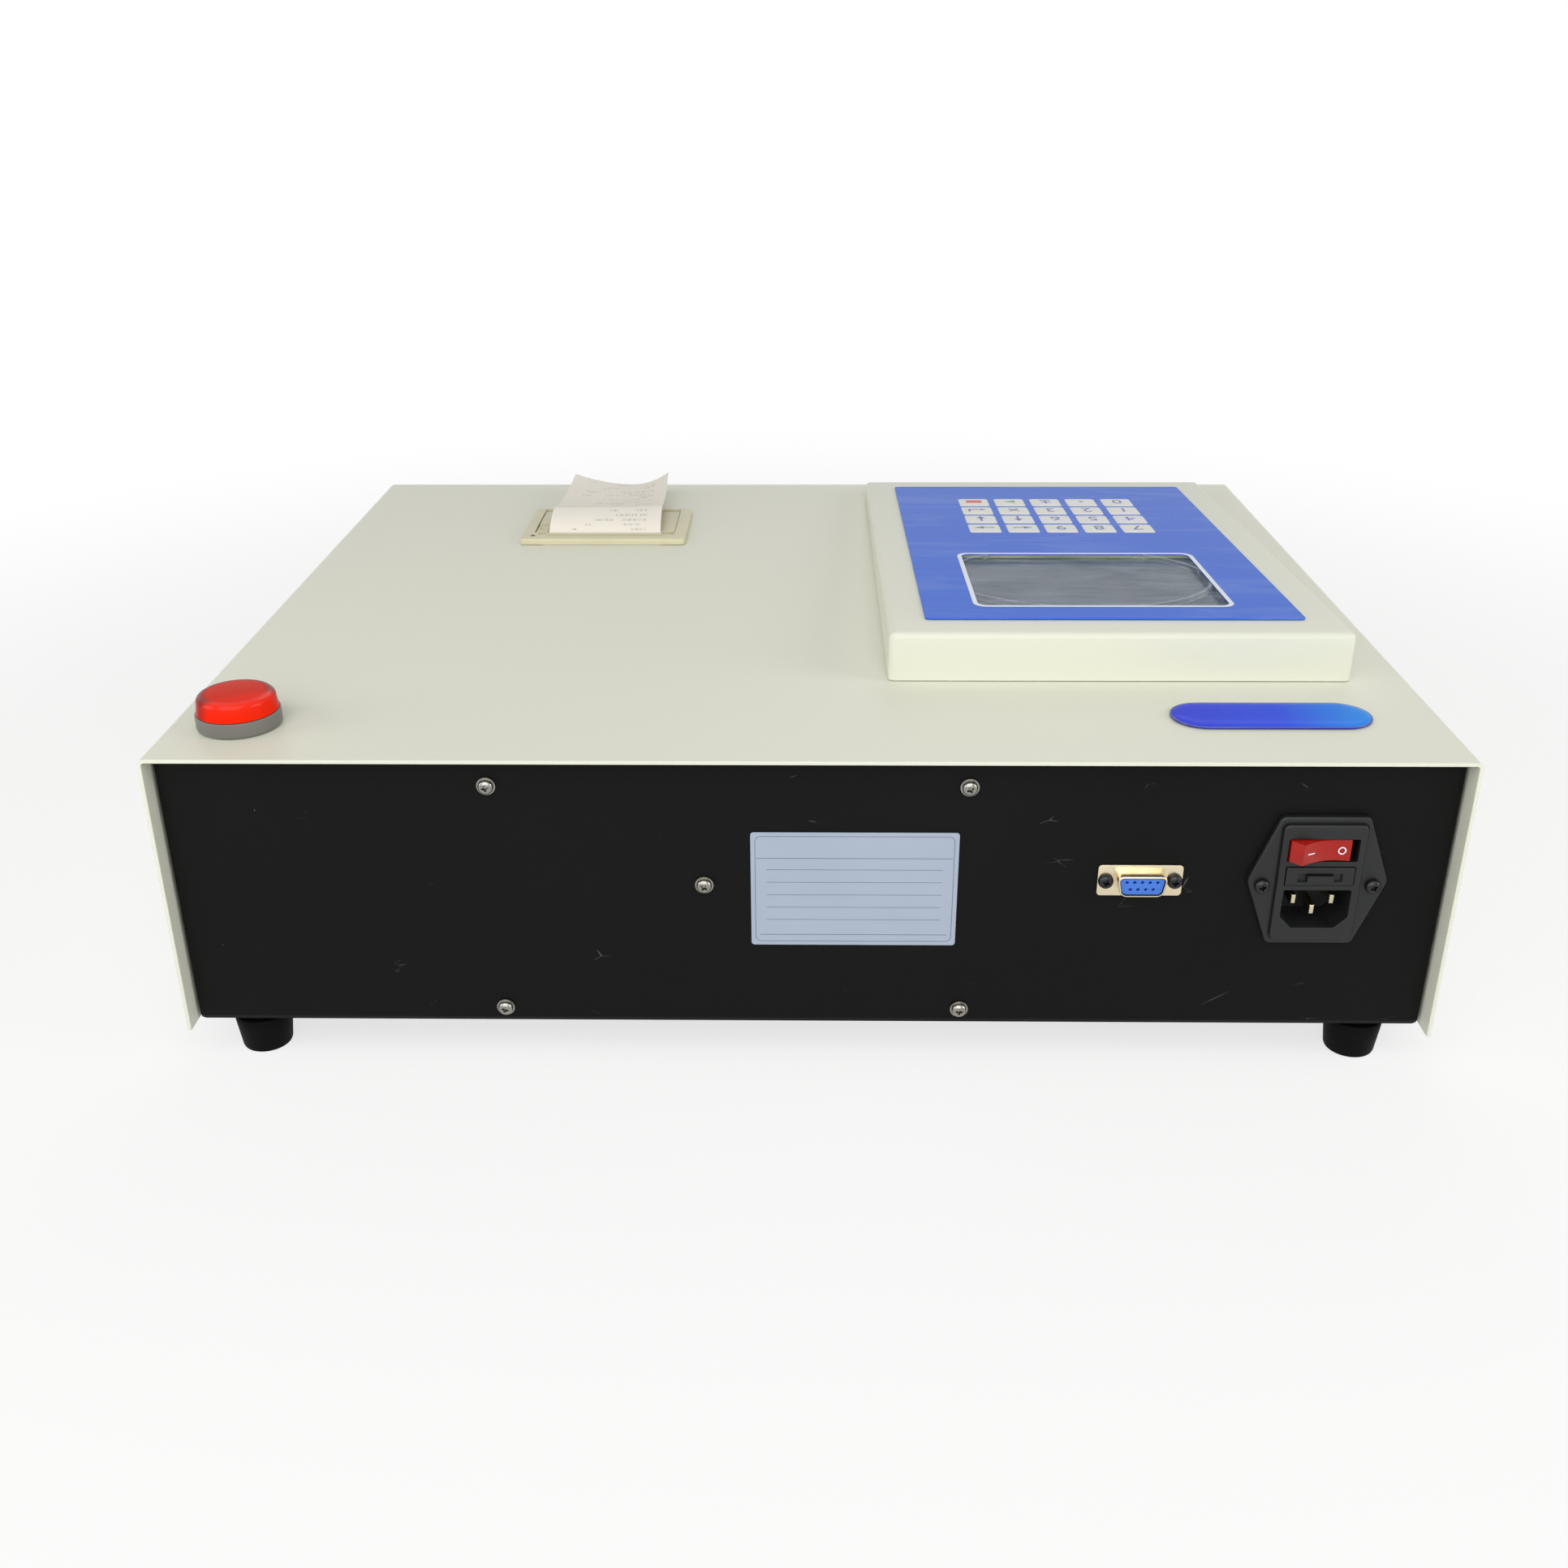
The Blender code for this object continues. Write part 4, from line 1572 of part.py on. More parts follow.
def build_measuring_head(zinc, aluminium, steel, nickel):
    """Folded bridge over the drawer with its rails, shield block, x-ray tube and counter."""
    half = FRAME_HALF + FRAME_WALL
    low = FLOOR_TOP + SEAT
    start = FRONT_FACE + SHEET + SLACK
    end = start + FRAME_LENGTH
    path = ((SAMPLE_X + half + FRAME_FOOT, low), (SAMPLE_X + half, low), (SAMPLE_X + half, FRAME_TOP),
            (SAMPLE_X - half, FRAME_TOP), (SAMPLE_X - half, low), (SAMPLE_X - half - FRAME_FOOT, low))
    outline = [path[0], (path[0][0], low + FRAME_WALL), (path[1][0], low + FRAME_WALL)]
    outline += filleted((outline[-1], path[2], path[3], (path[4][0], low + FRAME_WALL)), BEND, 2)[1:]
    outline += [(path[5][0], low + FRAME_WALL), path[5]]
    inner = SAMPLE_X - FRAME_HALF, SAMPLE_X + FRAME_HALF
    outline += [(inner[0], low), (inner[0], FRAME_TOP - FRAME_WALL), (inner[1], FRAME_TOP - FRAME_WALL),
                (inner[1], low)]
    shape = bmesh.new()
    prism(shape, outline, "Y", start, end)
    frame = finished("head_frame", shape, zinc)
    shape = bmesh.new()
    rod(shape, PORT_RADIUS, FRAME_TOP - FRAME_WALL - OVERRUN, FRAME_TOP + OVERRUN, "Z",
        (SAMPLE_X, CUP_Y, 0.0), ROUND_SIDES)
    carve(frame, shape)
    shape = bmesh.new()
    for side in (-1, 1):
        prism(shape, rail_outline(side), "Y", start + SHEET, start + SHEET + RAIL_LENGTH)
    fuse(frame, shape)

    base = FRAME_TOP + SEAT
    middle = (SAMPLE_X, CUP_Y, base + HEAD_BLOCK_HEIGHT / 2)
    shape = bmesh.new()
    block(shape, middle, (HEAD_BLOCK_WIDTH, HEAD_BLOCK_LENGTH, HEAD_BLOCK_HEIGHT))
    soften(shape, lambda edge: along(edge, "Z"), BEND, 2)
    head = finished("measuring_head", shape, aluminium)
    shape = bmesh.new()
    reach = HEAD_BLOCK_LENGTH / 2 + OVERRUN
    tube_x = SAMPLE_X - BORE_SPACING / 2
    counter_x = SAMPLE_X + BORE_SPACING / 2
    rod(shape, TUBE_RADIUS + SEAT, -reach, reach, "Y", (tube_x, *middle[1:]), ROUND_SIDES)
    rod(shape, DETECTOR_RADIUS + SEAT, -reach, reach, "Y", (counter_x, *middle[1:]), ROUND_SIDES)
    carve(head, shape)
    shape = bmesh.new()
    rod(shape, PORT_RADIUS, base - OVERRUN, middle[2] - TUBE_RADIUS / 2, "Z", (SAMPLE_X, CUP_Y, 0.0),
        ROUND_SIDES)
    carve(head, shape)

    front = middle[1] - HEAD_BLOCK_LENGTH / 2
    shape = bmesh.new()
    turned(shape, ((0.0, 0.0), (TUBE_RADIUS - SMALL_EDGE, 0.0), (TUBE_RADIUS, SMALL_EDGE),
                   (TUBE_RADIUS, TUBE_LENGTH - TUBE_NECK), (TUBE_NECK_RADIUS, TUBE_LENGTH - TUBE_NECK),
                   (TUBE_NECK_RADIUS, TUBE_LENGTH), (0.0, TUBE_LENGTH)), "Y",
           (tube_x, front, middle[2]), ROUND_SIDES)
    finished("x_ray_tube", shape, nickel)
    shape = bmesh.new()
    length = DETECTOR_LENGTH
    turned(shape, ((0.0, 0.0), (DETECTOR_RADIUS - SMALL_EDGE, 0.0), (DETECTOR_RADIUS, SMALL_EDGE),
                   (DETECTOR_RADIUS, length - DETECTOR_SOCKET),
                   (DETECTOR_SOCKET_RADIUS, length - DETECTOR_SOCKET), (DETECTOR_SOCKET_RADIUS, length),
                   (0.0, length)), "Y", (counter_x, front, middle[2]), ROUND_SIDES)
    finished("detector_tube", shape, steel)


# Bracket, supplies and boards

def build_rear_bracket(zinc):
    """Folded bracket behind the rear panel, with threaded bosses for the panel's screws."""
    face = REAR_FACE - SHEET - SEAT
    low = FLOOR_TOP + SEAT
    half = BRACKET_WIDTH / 2
    path = ((face - BRACKET_SHELF, low), (face, low), (face, low + BRACKET_HEIGHT))
    shape = bmesh.new()
    prism(shape, folded(path, BRACKET_WALL, BEND), "X", REAR_SCREWS_X - half, REAR_SCREWS_X + half)
    bracket = finished("rear_bracket", shape, zinc)
    inside = face - BRACKET_WALL
    bosses, holes = bmesh.new(), bmesh.new()
    for x, z in rear_screw_places().values():
        rod(bosses, BOSS_RADIUS, inside - BOSS_LENGTH, inside + BRACKET_WALL / 2, "Y", (x, 0.0, z),
            PIN_SIDES)
        rod(holes, SCREW_RADIUS + SEAT, inside - BOSS_LENGTH - OVERRUN, face + OVERRUN, "Y",
            (x, 0.0, z), PIN_SIDES)
    fuse(bracket, bosses)
    carve(bracket, holes)
    return inside, low + BRACKET_WALL


def build_power_supply(inside, shelf, zinc):
    """Caged supply on the bracket's shelf, with its terminal step and vent slots."""
    low = shelf + SEAT
    rear = inside - BOSS_LENGTH - SEAT
    front = rear - SUPPLY_LENGTH
    half = SUPPLY_WIDTH / 2
    shape = bmesh.new()
    outline = ((rear, low), (rear, low + SUPPLY_HEIGHT), (front + SUPPLY_STEP, low + SUPPLY_HEIGHT),
               (front + SUPPLY_STEP, low + SUPPLY_HEIGHT / 2), (front, low + SUPPLY_HEIGHT / 2), (front, low))
    prism(shape, outline, "X", REAR_SCREWS_X - half, REAR_SCREWS_X + half)
    supply = finished("power_supply", shape, zinc)
    shape = bmesh.new()
    step = SUPPLY_WIDTH / (SUPPLY_SLOTS + 1)
    for i in range(SUPPLY_SLOTS):
        x = REAR_SCREWS_X - half + step * (i + 1)
        box(shape, (x - SUPPLY_SLOT_WIDTH / 2, front + 2 * SUPPLY_STEP,
                    low + SUPPLY_HEIGHT - SUPPLY_SLOT_DEPTH),
            (x + SUPPLY_SLOT_WIDTH / 2, rear - SUPPLY_STEP, low + SUPPLY_HEIGHT + OVERRUN))
    carve(supply, shape)


def build_hv_supply(grey_plastic):
    """Potted high-voltage block with mounting ears and a round cable socket."""
    low = FLOOR_TOP + SEAT
    y = from_rear(HV_FROM_REAR)
    shape = bmesh.new()
    block(shape, (HV_X, y, low + HV_HEIGHT / 2), (HV_WIDTH, HV_LENGTH, HV_HEIGHT))
    soften(shape, lambda edge: along(edge, "Z"), BEND, 2)
    supply = finished("hv_supply", shape, grey_plastic)
    shape = bmesh.new()
    block(shape, (HV_X, y, low + SEAT + HV_EAR_THICKNESS / 2),
          (HV_WIDTH / 2, HV_LENGTH + 2 * HV_EAR, HV_EAR_THICKNESS))
    fuse(supply, shape)
    shape = bmesh.new()
    rod(shape, HV_SOCKET_RADIUS, -HV_SOCKET, HV_SOCKET, "Y",
        (HV_X, y - HV_LENGTH / 2, low + HV_HEIGHT / 2), ROUND_SIDES)
    fuse(supply, shape)


def build_main_board(board_green):
    """Controller board on the chassis's pillars, with its larger parts."""
    y = from_rear(MAIN_BOARD_FROM_REAR)
    low = FLOOR_TOP + STANDOFF + SEAT
    high = low + BOARD_THICKNESS
    shape = bmesh.new()
    block(shape, (MAIN_BOARD_X, y, (low + high) / 2), (MAIN_BOARD_WIDTH, MAIN_BOARD_LENGTH, high - low))
    board = finished("main_board", shape, board_green)
    shape = bmesh.new()
    sink = BOARD_THICKNESS / 2
    for shares, height in ((CHIP_SHARES, CHIP_HEIGHT), (SOCKET_SHARES, SOCKET_HEIGHT)):
        for u, v, width, length in shares:
            block(shape, (MAIN_BOARD_X + u * MAIN_BOARD_WIDTH, y + v * MAIN_BOARD_LENGTH,
                          high + (height - sink) / 2),
                  (width * MAIN_BOARD_WIDTH, length * MAIN_BOARD_LENGTH, height + sink))
    for u, v in CAPACITOR_SHARES:
        rod(shape, CAPACITOR_RADIUS, -sink, CAPACITOR_HEIGHT, "Z",
            (MAIN_BOARD_X + u * MAIN_BOARD_WIDTH, y + v * MAIN_BOARD_LENGTH, high), SCREW_SIDES)
    fuse(board, shape)


def main():
    """Build every piece of the instrument."""
    clear_scene()
    cream_paint = look("cream powder coat", "E4E2D2", 0.45)
    black_paint = look("black powder coat", "1E1F1E", 0.5)
    rubber = look("black rubber", "141414", 0.85)
    steel = look("plated screw steel", "B8B8B4", 0.3, 1.0)
    black_steel = look("blackened steel", "202124", 0.4, 1.0)
    zinc = look("zinc-plated sheet", "A9ACAE", 0.4, 1.0)
    aluminium = look("machined aluminium", "B9BCC0", 0.35, 1.0)
    nickel = look("nickel plate", "C9C3AE", 0.25, 1.0)
    brass = look("brass", "C8A850", 0.3, 1.0)
    black_plastic = look("black nylon", "18181A", 0.45)
    grey_plastic = look("grey ABS", "6E6E6C", 0.4)
    beige_plastic = look("beige ABS", "C8C09C", 0.45)
    white_nylon = look("white nylon", "E8E6DC", 0.4)
    red_plastic = look("red translucent switch cap", "D03818", 0.25)
    red_lens = look("red polycarbonate lens", "E0200F", 0.15, alpha=0.85)
    blue_plastic = look("blue connector plastic", "5F8FE8", 0.4)
    blue_film = look("blue keypad film", "4270DA", 0.35)
    blue_resin = look("blue domed badge", "2A5CE0", 0.1)
    label_foil = look("label film", "C3CCDC", 0.4)
    clear_acrylic = look("clear acrylic", "9AA6B0", 0.08, alpha=0.35)
    dark_glass = look("display glass", "6E7A85", 0.15)
    board_green = look("green circuit board", "1F6B3A", 0.5)
    paper = look("thermal paper", "F3EEE8", 0.8)
    knob_black = look("black phenolic", "1A1A1A", 0.3)

    build_chassis(black_paint)
    build_cover(cream_paint, steel)
    build_feet(rubber)
    build_rear_panel_pieces(steel, label_foil)
    build_inlet(black_plastic, red_plastic, brass, steel)
    build_serial_socket(nickel, blue_plastic, black_steel)
    build_lamp(grey_plastic, red_lens, board_green)
    build_badge(blue_resin)
    face = build_console(cream_paint)
    build_keypad(face, blue_film)
    build_display(face, clear_acrylic, dark_glass, board_green)

    printer = anchor("printer_place", (PRINTER_X, from_rear(PRINTER_FROM_REAR), COVER_TOP))
    build_bezel(printer, beige_plastic)
    build_bucket(printer, black_plastic)
    hinge = build_door(printer, beige_plastic, steel)
    phase = build_platen(hinge, rubber, white_nylon)
    build_gear_train(printer, phase, white_nylon, brass, steel)
    build_print_head(printer, aluminium)
    build_paper(printer, hinge, paper)

    build_drawer(aluminium, black_paint, knob_black, steel)
    build_measuring_head(zinc, aluminium, steel, nickel)
    inside, shelf = build_rear_bracket(zinc)
    build_power_supply(inside, shelf, zinc)
    build_hv_supply(grey_plastic)
    build_main_board(board_green)


main()
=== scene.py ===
"""Looks of a benchtop x-ray fluorescence analyser, laid out as an add-on and run as a script."""

import math

import bmesh
import bpy
from bpy.props import FloatProperty, PointerProperty, StringProperty
from bpy.types import Operator, Panel, PropertyGroup
from mathutils import Matrix, Vector


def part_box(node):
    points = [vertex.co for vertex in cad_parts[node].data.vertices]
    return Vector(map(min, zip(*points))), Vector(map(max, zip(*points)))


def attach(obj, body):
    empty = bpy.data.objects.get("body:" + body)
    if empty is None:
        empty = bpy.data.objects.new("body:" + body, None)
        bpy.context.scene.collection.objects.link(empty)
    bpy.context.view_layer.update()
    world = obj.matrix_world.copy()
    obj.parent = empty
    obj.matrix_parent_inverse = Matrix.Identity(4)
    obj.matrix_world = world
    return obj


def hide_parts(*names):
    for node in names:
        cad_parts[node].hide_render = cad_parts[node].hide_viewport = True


bl_info = {
    "name": "Benchtop Analyser",
    "version": (1, 0, 0),
    "blender": (4, 5, 0),
    "location": "3D View > Sidebar > Analyser",
    "description": "Dresses a benchtop analyser: case, console, printer, lamp and connectors",
    "category": "Object",
}

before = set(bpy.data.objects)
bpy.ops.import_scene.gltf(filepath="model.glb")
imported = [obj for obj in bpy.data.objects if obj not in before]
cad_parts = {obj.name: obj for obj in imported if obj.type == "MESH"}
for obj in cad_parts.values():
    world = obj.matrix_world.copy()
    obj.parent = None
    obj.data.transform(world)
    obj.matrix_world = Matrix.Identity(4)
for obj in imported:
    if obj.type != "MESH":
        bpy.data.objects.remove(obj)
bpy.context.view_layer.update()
COVER_LOW, COVER_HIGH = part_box("top_cover")
DECK = COVER_HIGH.z
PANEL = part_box("chassis_tray")[1].y
# Clearance between a piece and the sheet that it stands on
SEAT = 0.0003
HARD_EDGE = math.radians(35)
FINISHES = {}


# Sizes and colours that a user would change

def length(**given):
    """Length setting that shows four digits."""
    return FloatProperty(unit="LENGTH", precision=4, **given)


class AnalyserCase(PropertyGroup):
    """Folded sheet of the case"""
    sheet: length(name="Sheet", description="Thickness of the folded steel", default=0.0015)
    fold: length(name="Fold", description="Outside radius of a fold", default=0.0026)
    edge: length(name="Cut edge", description="Round that the coating leaves on a cut edge",
                 default=0.0003)


class AnalyserConsole(PropertyGroup):
    """Sloping keypad console"""
    rear: length(name="Rear height", description="Height of the hood at its rear", default=0.020)
    front: length(name="Front height", description="Height of the hood at the user's side",
                  default=0.008)
    pitch_x: length(name="Key pitch across", description="From key to key across",
                    default=0.01825)
    pitch_y: length(name="Key pitch along", description="From key row to key row",
                    default=0.0185)
    key_x: length(name="Key width", description="Width of an embossed key", default=0.0149)
    key_y: length(name="Key length", description="Length of an embossed key", default=0.0159)
    rise: length(name="Key rise", description="How far a key's pillow stands up", default=0.0006)
    digit: length(name="Digit height", description="Height of the printed digits",
                  default=0.0110)
    border: length(name="Window border", description="Width of the printed window border",
                   default=0.0019)


class AnalyserPrinter(PropertyGroup):
    """Panel printer's paper"""
    paper: length(name="Paper width", description="Width of the printed strip", default=0.0570)
    curl: length(name="Corner curl", description="How far the strip's far corners rise",
                 default=0.0068)
    crease: FloatProperty(name="Crease", description="Share of the strip before its crease",
                          default=0.32, subtype="FACTOR")


class AnalyserColours(PropertyGroup):
    """sRGB codes of the finishes"""
    cover: StringProperty(name="Cover", description="Powder coat of the lid", default="#E3E4D4")
    panel: StringProperty(name="Panel", description="Powder coat of the tray", default="#0D0E0D")
    film: StringProperty(name="Film", description="Printed keypad film", default="#2A68DC")
    key: StringProperty(name="Keys", description="Printed ground of the keys", default="#DCDDD8")
    legend: StringProperty(name="Legends", description="Ink of digits and arrows",
                           default="#5C6BA4")
    lens: StringProperty(name="Lens", description="Lamp's red lens", default="#D62708")
    bezel: StringProperty(name="Bezel", description="Printer's plastic", default="#D6D0AE")
    badge: StringProperty(name="Badge", description="Left end of the blank badge's ground",
                          default="#3340DC")


class AnalyserStage(PropertyGroup):
    """Camera and lights"""
    lens: FloatProperty(name="Lens", description="Focal length for a 36 mm sensor, in mm",
                        default=36.558)
    pitch: FloatProperty(name="Pitch", description="How far the camera looks down",
                         default=math.radians(25.251), subtype="ANGLE")
    yaw: FloatProperty(name="Yaw", description="Turn of the camera to the side",
                       default=math.radians(0.918), subtype="ANGLE")
    roll: FloatProperty(name="Roll", description="Tilt of the camera",
                        default=math.radians(-0.237), subtype="ANGLE")
    sky: FloatProperty(name="Sky", description="Strength of the even light", default=0.25)
    window: FloatProperty(name="Soft boxes", default=23.0,
                          description="Watts that each light takes its share of")


class AnalyserSettings(PropertyGroup):
    """All the settings of the analyser"""
    case: PointerProperty(type=AnalyserCase)
    console: PointerProperty(type=AnalyserConsole)
    printer: PointerProperty(type=AnalyserPrinter)
    colours: PointerProperty(type=AnalyserColours)
    stage: PointerProperty(type=AnalyserStage)


# Finishes

def linear(code):
    """Linear colour of an sRGB code."""
    parts = [int(code[i:i + 2], 16) / 255 for i in (1, 3, 5)]
    return (*[v / 12.92 if v <= 0.04045 else ((v + 0.055) / 1.055) ** 2.4 for v in parts], 1.0)


def add(tree, kind, values=None, links=None, **settings):
    """One node with its settings, its sockets' values and its sockets' sources.

    A source is a socket, or a node that gives its first output.
    """
    made = tree.nodes.new(kind)
    for key, value in settings.items():
        setattr(made, key, value)
    for key, value in (values or {}).items():
        made.inputs[key].default_value = value
    for key, source in (links or {}).items():
        given = source.outputs[0] if isinstance(source, bpy.types.Node) else source
        tree.links.new(given, made.inputs[key])
    return made


def surface(name, code, shade, roughness, grain, height, patch=0.08, stretch=(1.0, 1.0, 1.0),
            metallic=0.0, spread=0.06, **sockets):
    """A finish whose colour drifts from code to shade over patches, with a grain that stands up.

    patch, grain and height are real sizes in metres, and stretch thins the grain along an axis.
    The other sockets are set on the shader.
    """
    material = bpy.data.materials.new(name)
    material.use_nodes = True
    tree = material.node_tree
    shader = tree.nodes["Principled BSDF"]
    shader.inputs["Metallic"].default_value = metallic
    for key, value in sockets.items():
        shader.inputs[key.replace("_", " ")].default_value = value
    where = add(tree, "ShaderNodeTexCoord").outputs["Object"]
    drift = add(tree, "ShaderNodeTexNoise", {"Scale": 1 / patch, "Detail": 3.0},
                {"Vector": where}).outputs["Fac"]
    colour = add(tree, "ShaderNodeMix", {6: linear(code), 7: linear(shade)}, {0: drift},
                 data_type="RGBA")
    tree.links.new(colour.outputs[2], shader.inputs["Base Color"])
    along = add(tree, "ShaderNodeMapping", {"Scale": stretch}, {"Vector": where})
    fine = add(tree, "ShaderNodeTexNoise", {"Scale": 1 / grain, "Detail": 2.0},
               {"Vector": along.outputs["Vector"]}).outputs["Fac"]
    gloss = add(tree, "ShaderNodeMapRange", {3: roughness - spread, 4: roughness + spread},
                {0: fine})
    tree.links.new(gloss.outputs[0], shader.inputs["Roughness"])
    bump = add(tree, "ShaderNodeBump", {"Strength": 1.0, "Distance": height}, {"Height": fine})
    tree.links.new(bump.outputs["Normal"], shader.inputs["Normal"])
    return material


def tint(material, share, code):
    """Lays another colour over a finish's own, by a share from 0 to 1."""
    tree = material.node_tree
    base = tree.nodes["Principled BSDF"].inputs["Base Color"]
    mixed = add(tree, "ShaderNodeMix", {7: linear(code)},
                {0: share, 6: base.links[0].from_socket}, data_type="RGBA")
    tree.links.new(mixed.outputs[2], base)


def specks(material, code, size, share):
    """Small marks of another colour scattered over a finish, share of the cells having one."""
    tree = material.node_tree
    # A cell is 40 marks wide, and a mark reaches 1/60 of a cell from its middle
    cell, reach = 40 * size, 1 / 60
    where = add(tree, "ShaderNodeTexCoord").outputs["Object"]
    cells = add(tree, "ShaderNodeTexVoronoi", {"Scale": 1 / cell}, {"Vector": where})
    close = add(tree, "ShaderNodeMath", {1: reach}, {0: cells.outputs["Distance"]},
                operation="LESS_THAN")
    pick = add(tree, "ShaderNodeSeparateColor", {}, {0: cells.outputs["Color"]})
    some = add(tree, "ShaderNodeMath", {1: share}, {0: pick}, operation="LESS_THAN")
    both = add(tree, "ShaderNodeMath", {}, {0: close, 1: some}, operation="MULTIPLY")
    tint(material, both, code)


def scratches(material, code):
    """Fine short scratches where a soft mask lets them through, more of them by the inlet."""
    tree = material.node_tree
    where = add(tree, "ShaderNodeTexCoord").outputs["Object"]
    # Leaning cells about 38 mm by 17 mm, whose borders are the scratches, 0.1 mm to 0.3 mm wide
    cells, lean, width = (26.0, 1.0, 60.0), math.radians(31), 0.0042
    drawn = add(tree, "ShaderNodeMapping", {"Scale": cells, "Rotation": (0.0, lean, 0.0)},
                {"Vector": where})
    lines = add(tree, "ShaderNodeTexVoronoi", {"Scale": 1.0}, {"Vector": drawn},
                feature="DISTANCE_TO_EDGE")
    thin = add(tree, "ShaderNodeMath", {1: width}, {0: lines.outputs["Distance"]},
               operation="LESS_THAN")
    mask = add(tree, "ShaderNodeTexNoise", {"Scale": 60.0, "Detail": 4.0}, {"Vector": where})
    # Plugs that miss the inlet mark the panel round it, from 30 mm to 75 mm off
    away = add(tree, "ShaderNodeVectorMath", {1: tuple(centre("inlet_housing"))}, {0: where},
               operation="DISTANCE")
    more = add(tree, "ShaderNodeMapRange", {1: 0.030, 2: 0.075, 3: 0.09, 4: 0.0},
               {0: away.outputs["Value"]})
    level = add(tree, "ShaderNodeMath", {}, {0: mask.outputs["Fac"], 1: more}, operation="ADD")
    here = add(tree, "ShaderNodeMapRange", {1: 0.64, 2: 0.72, 3: 0.0, 4: 0.45}, {0: level})
    share = add(tree, "ShaderNodeMath", {}, {0: thin, 1: here}, operation="MULTIPLY")
    tint(material, share, code)


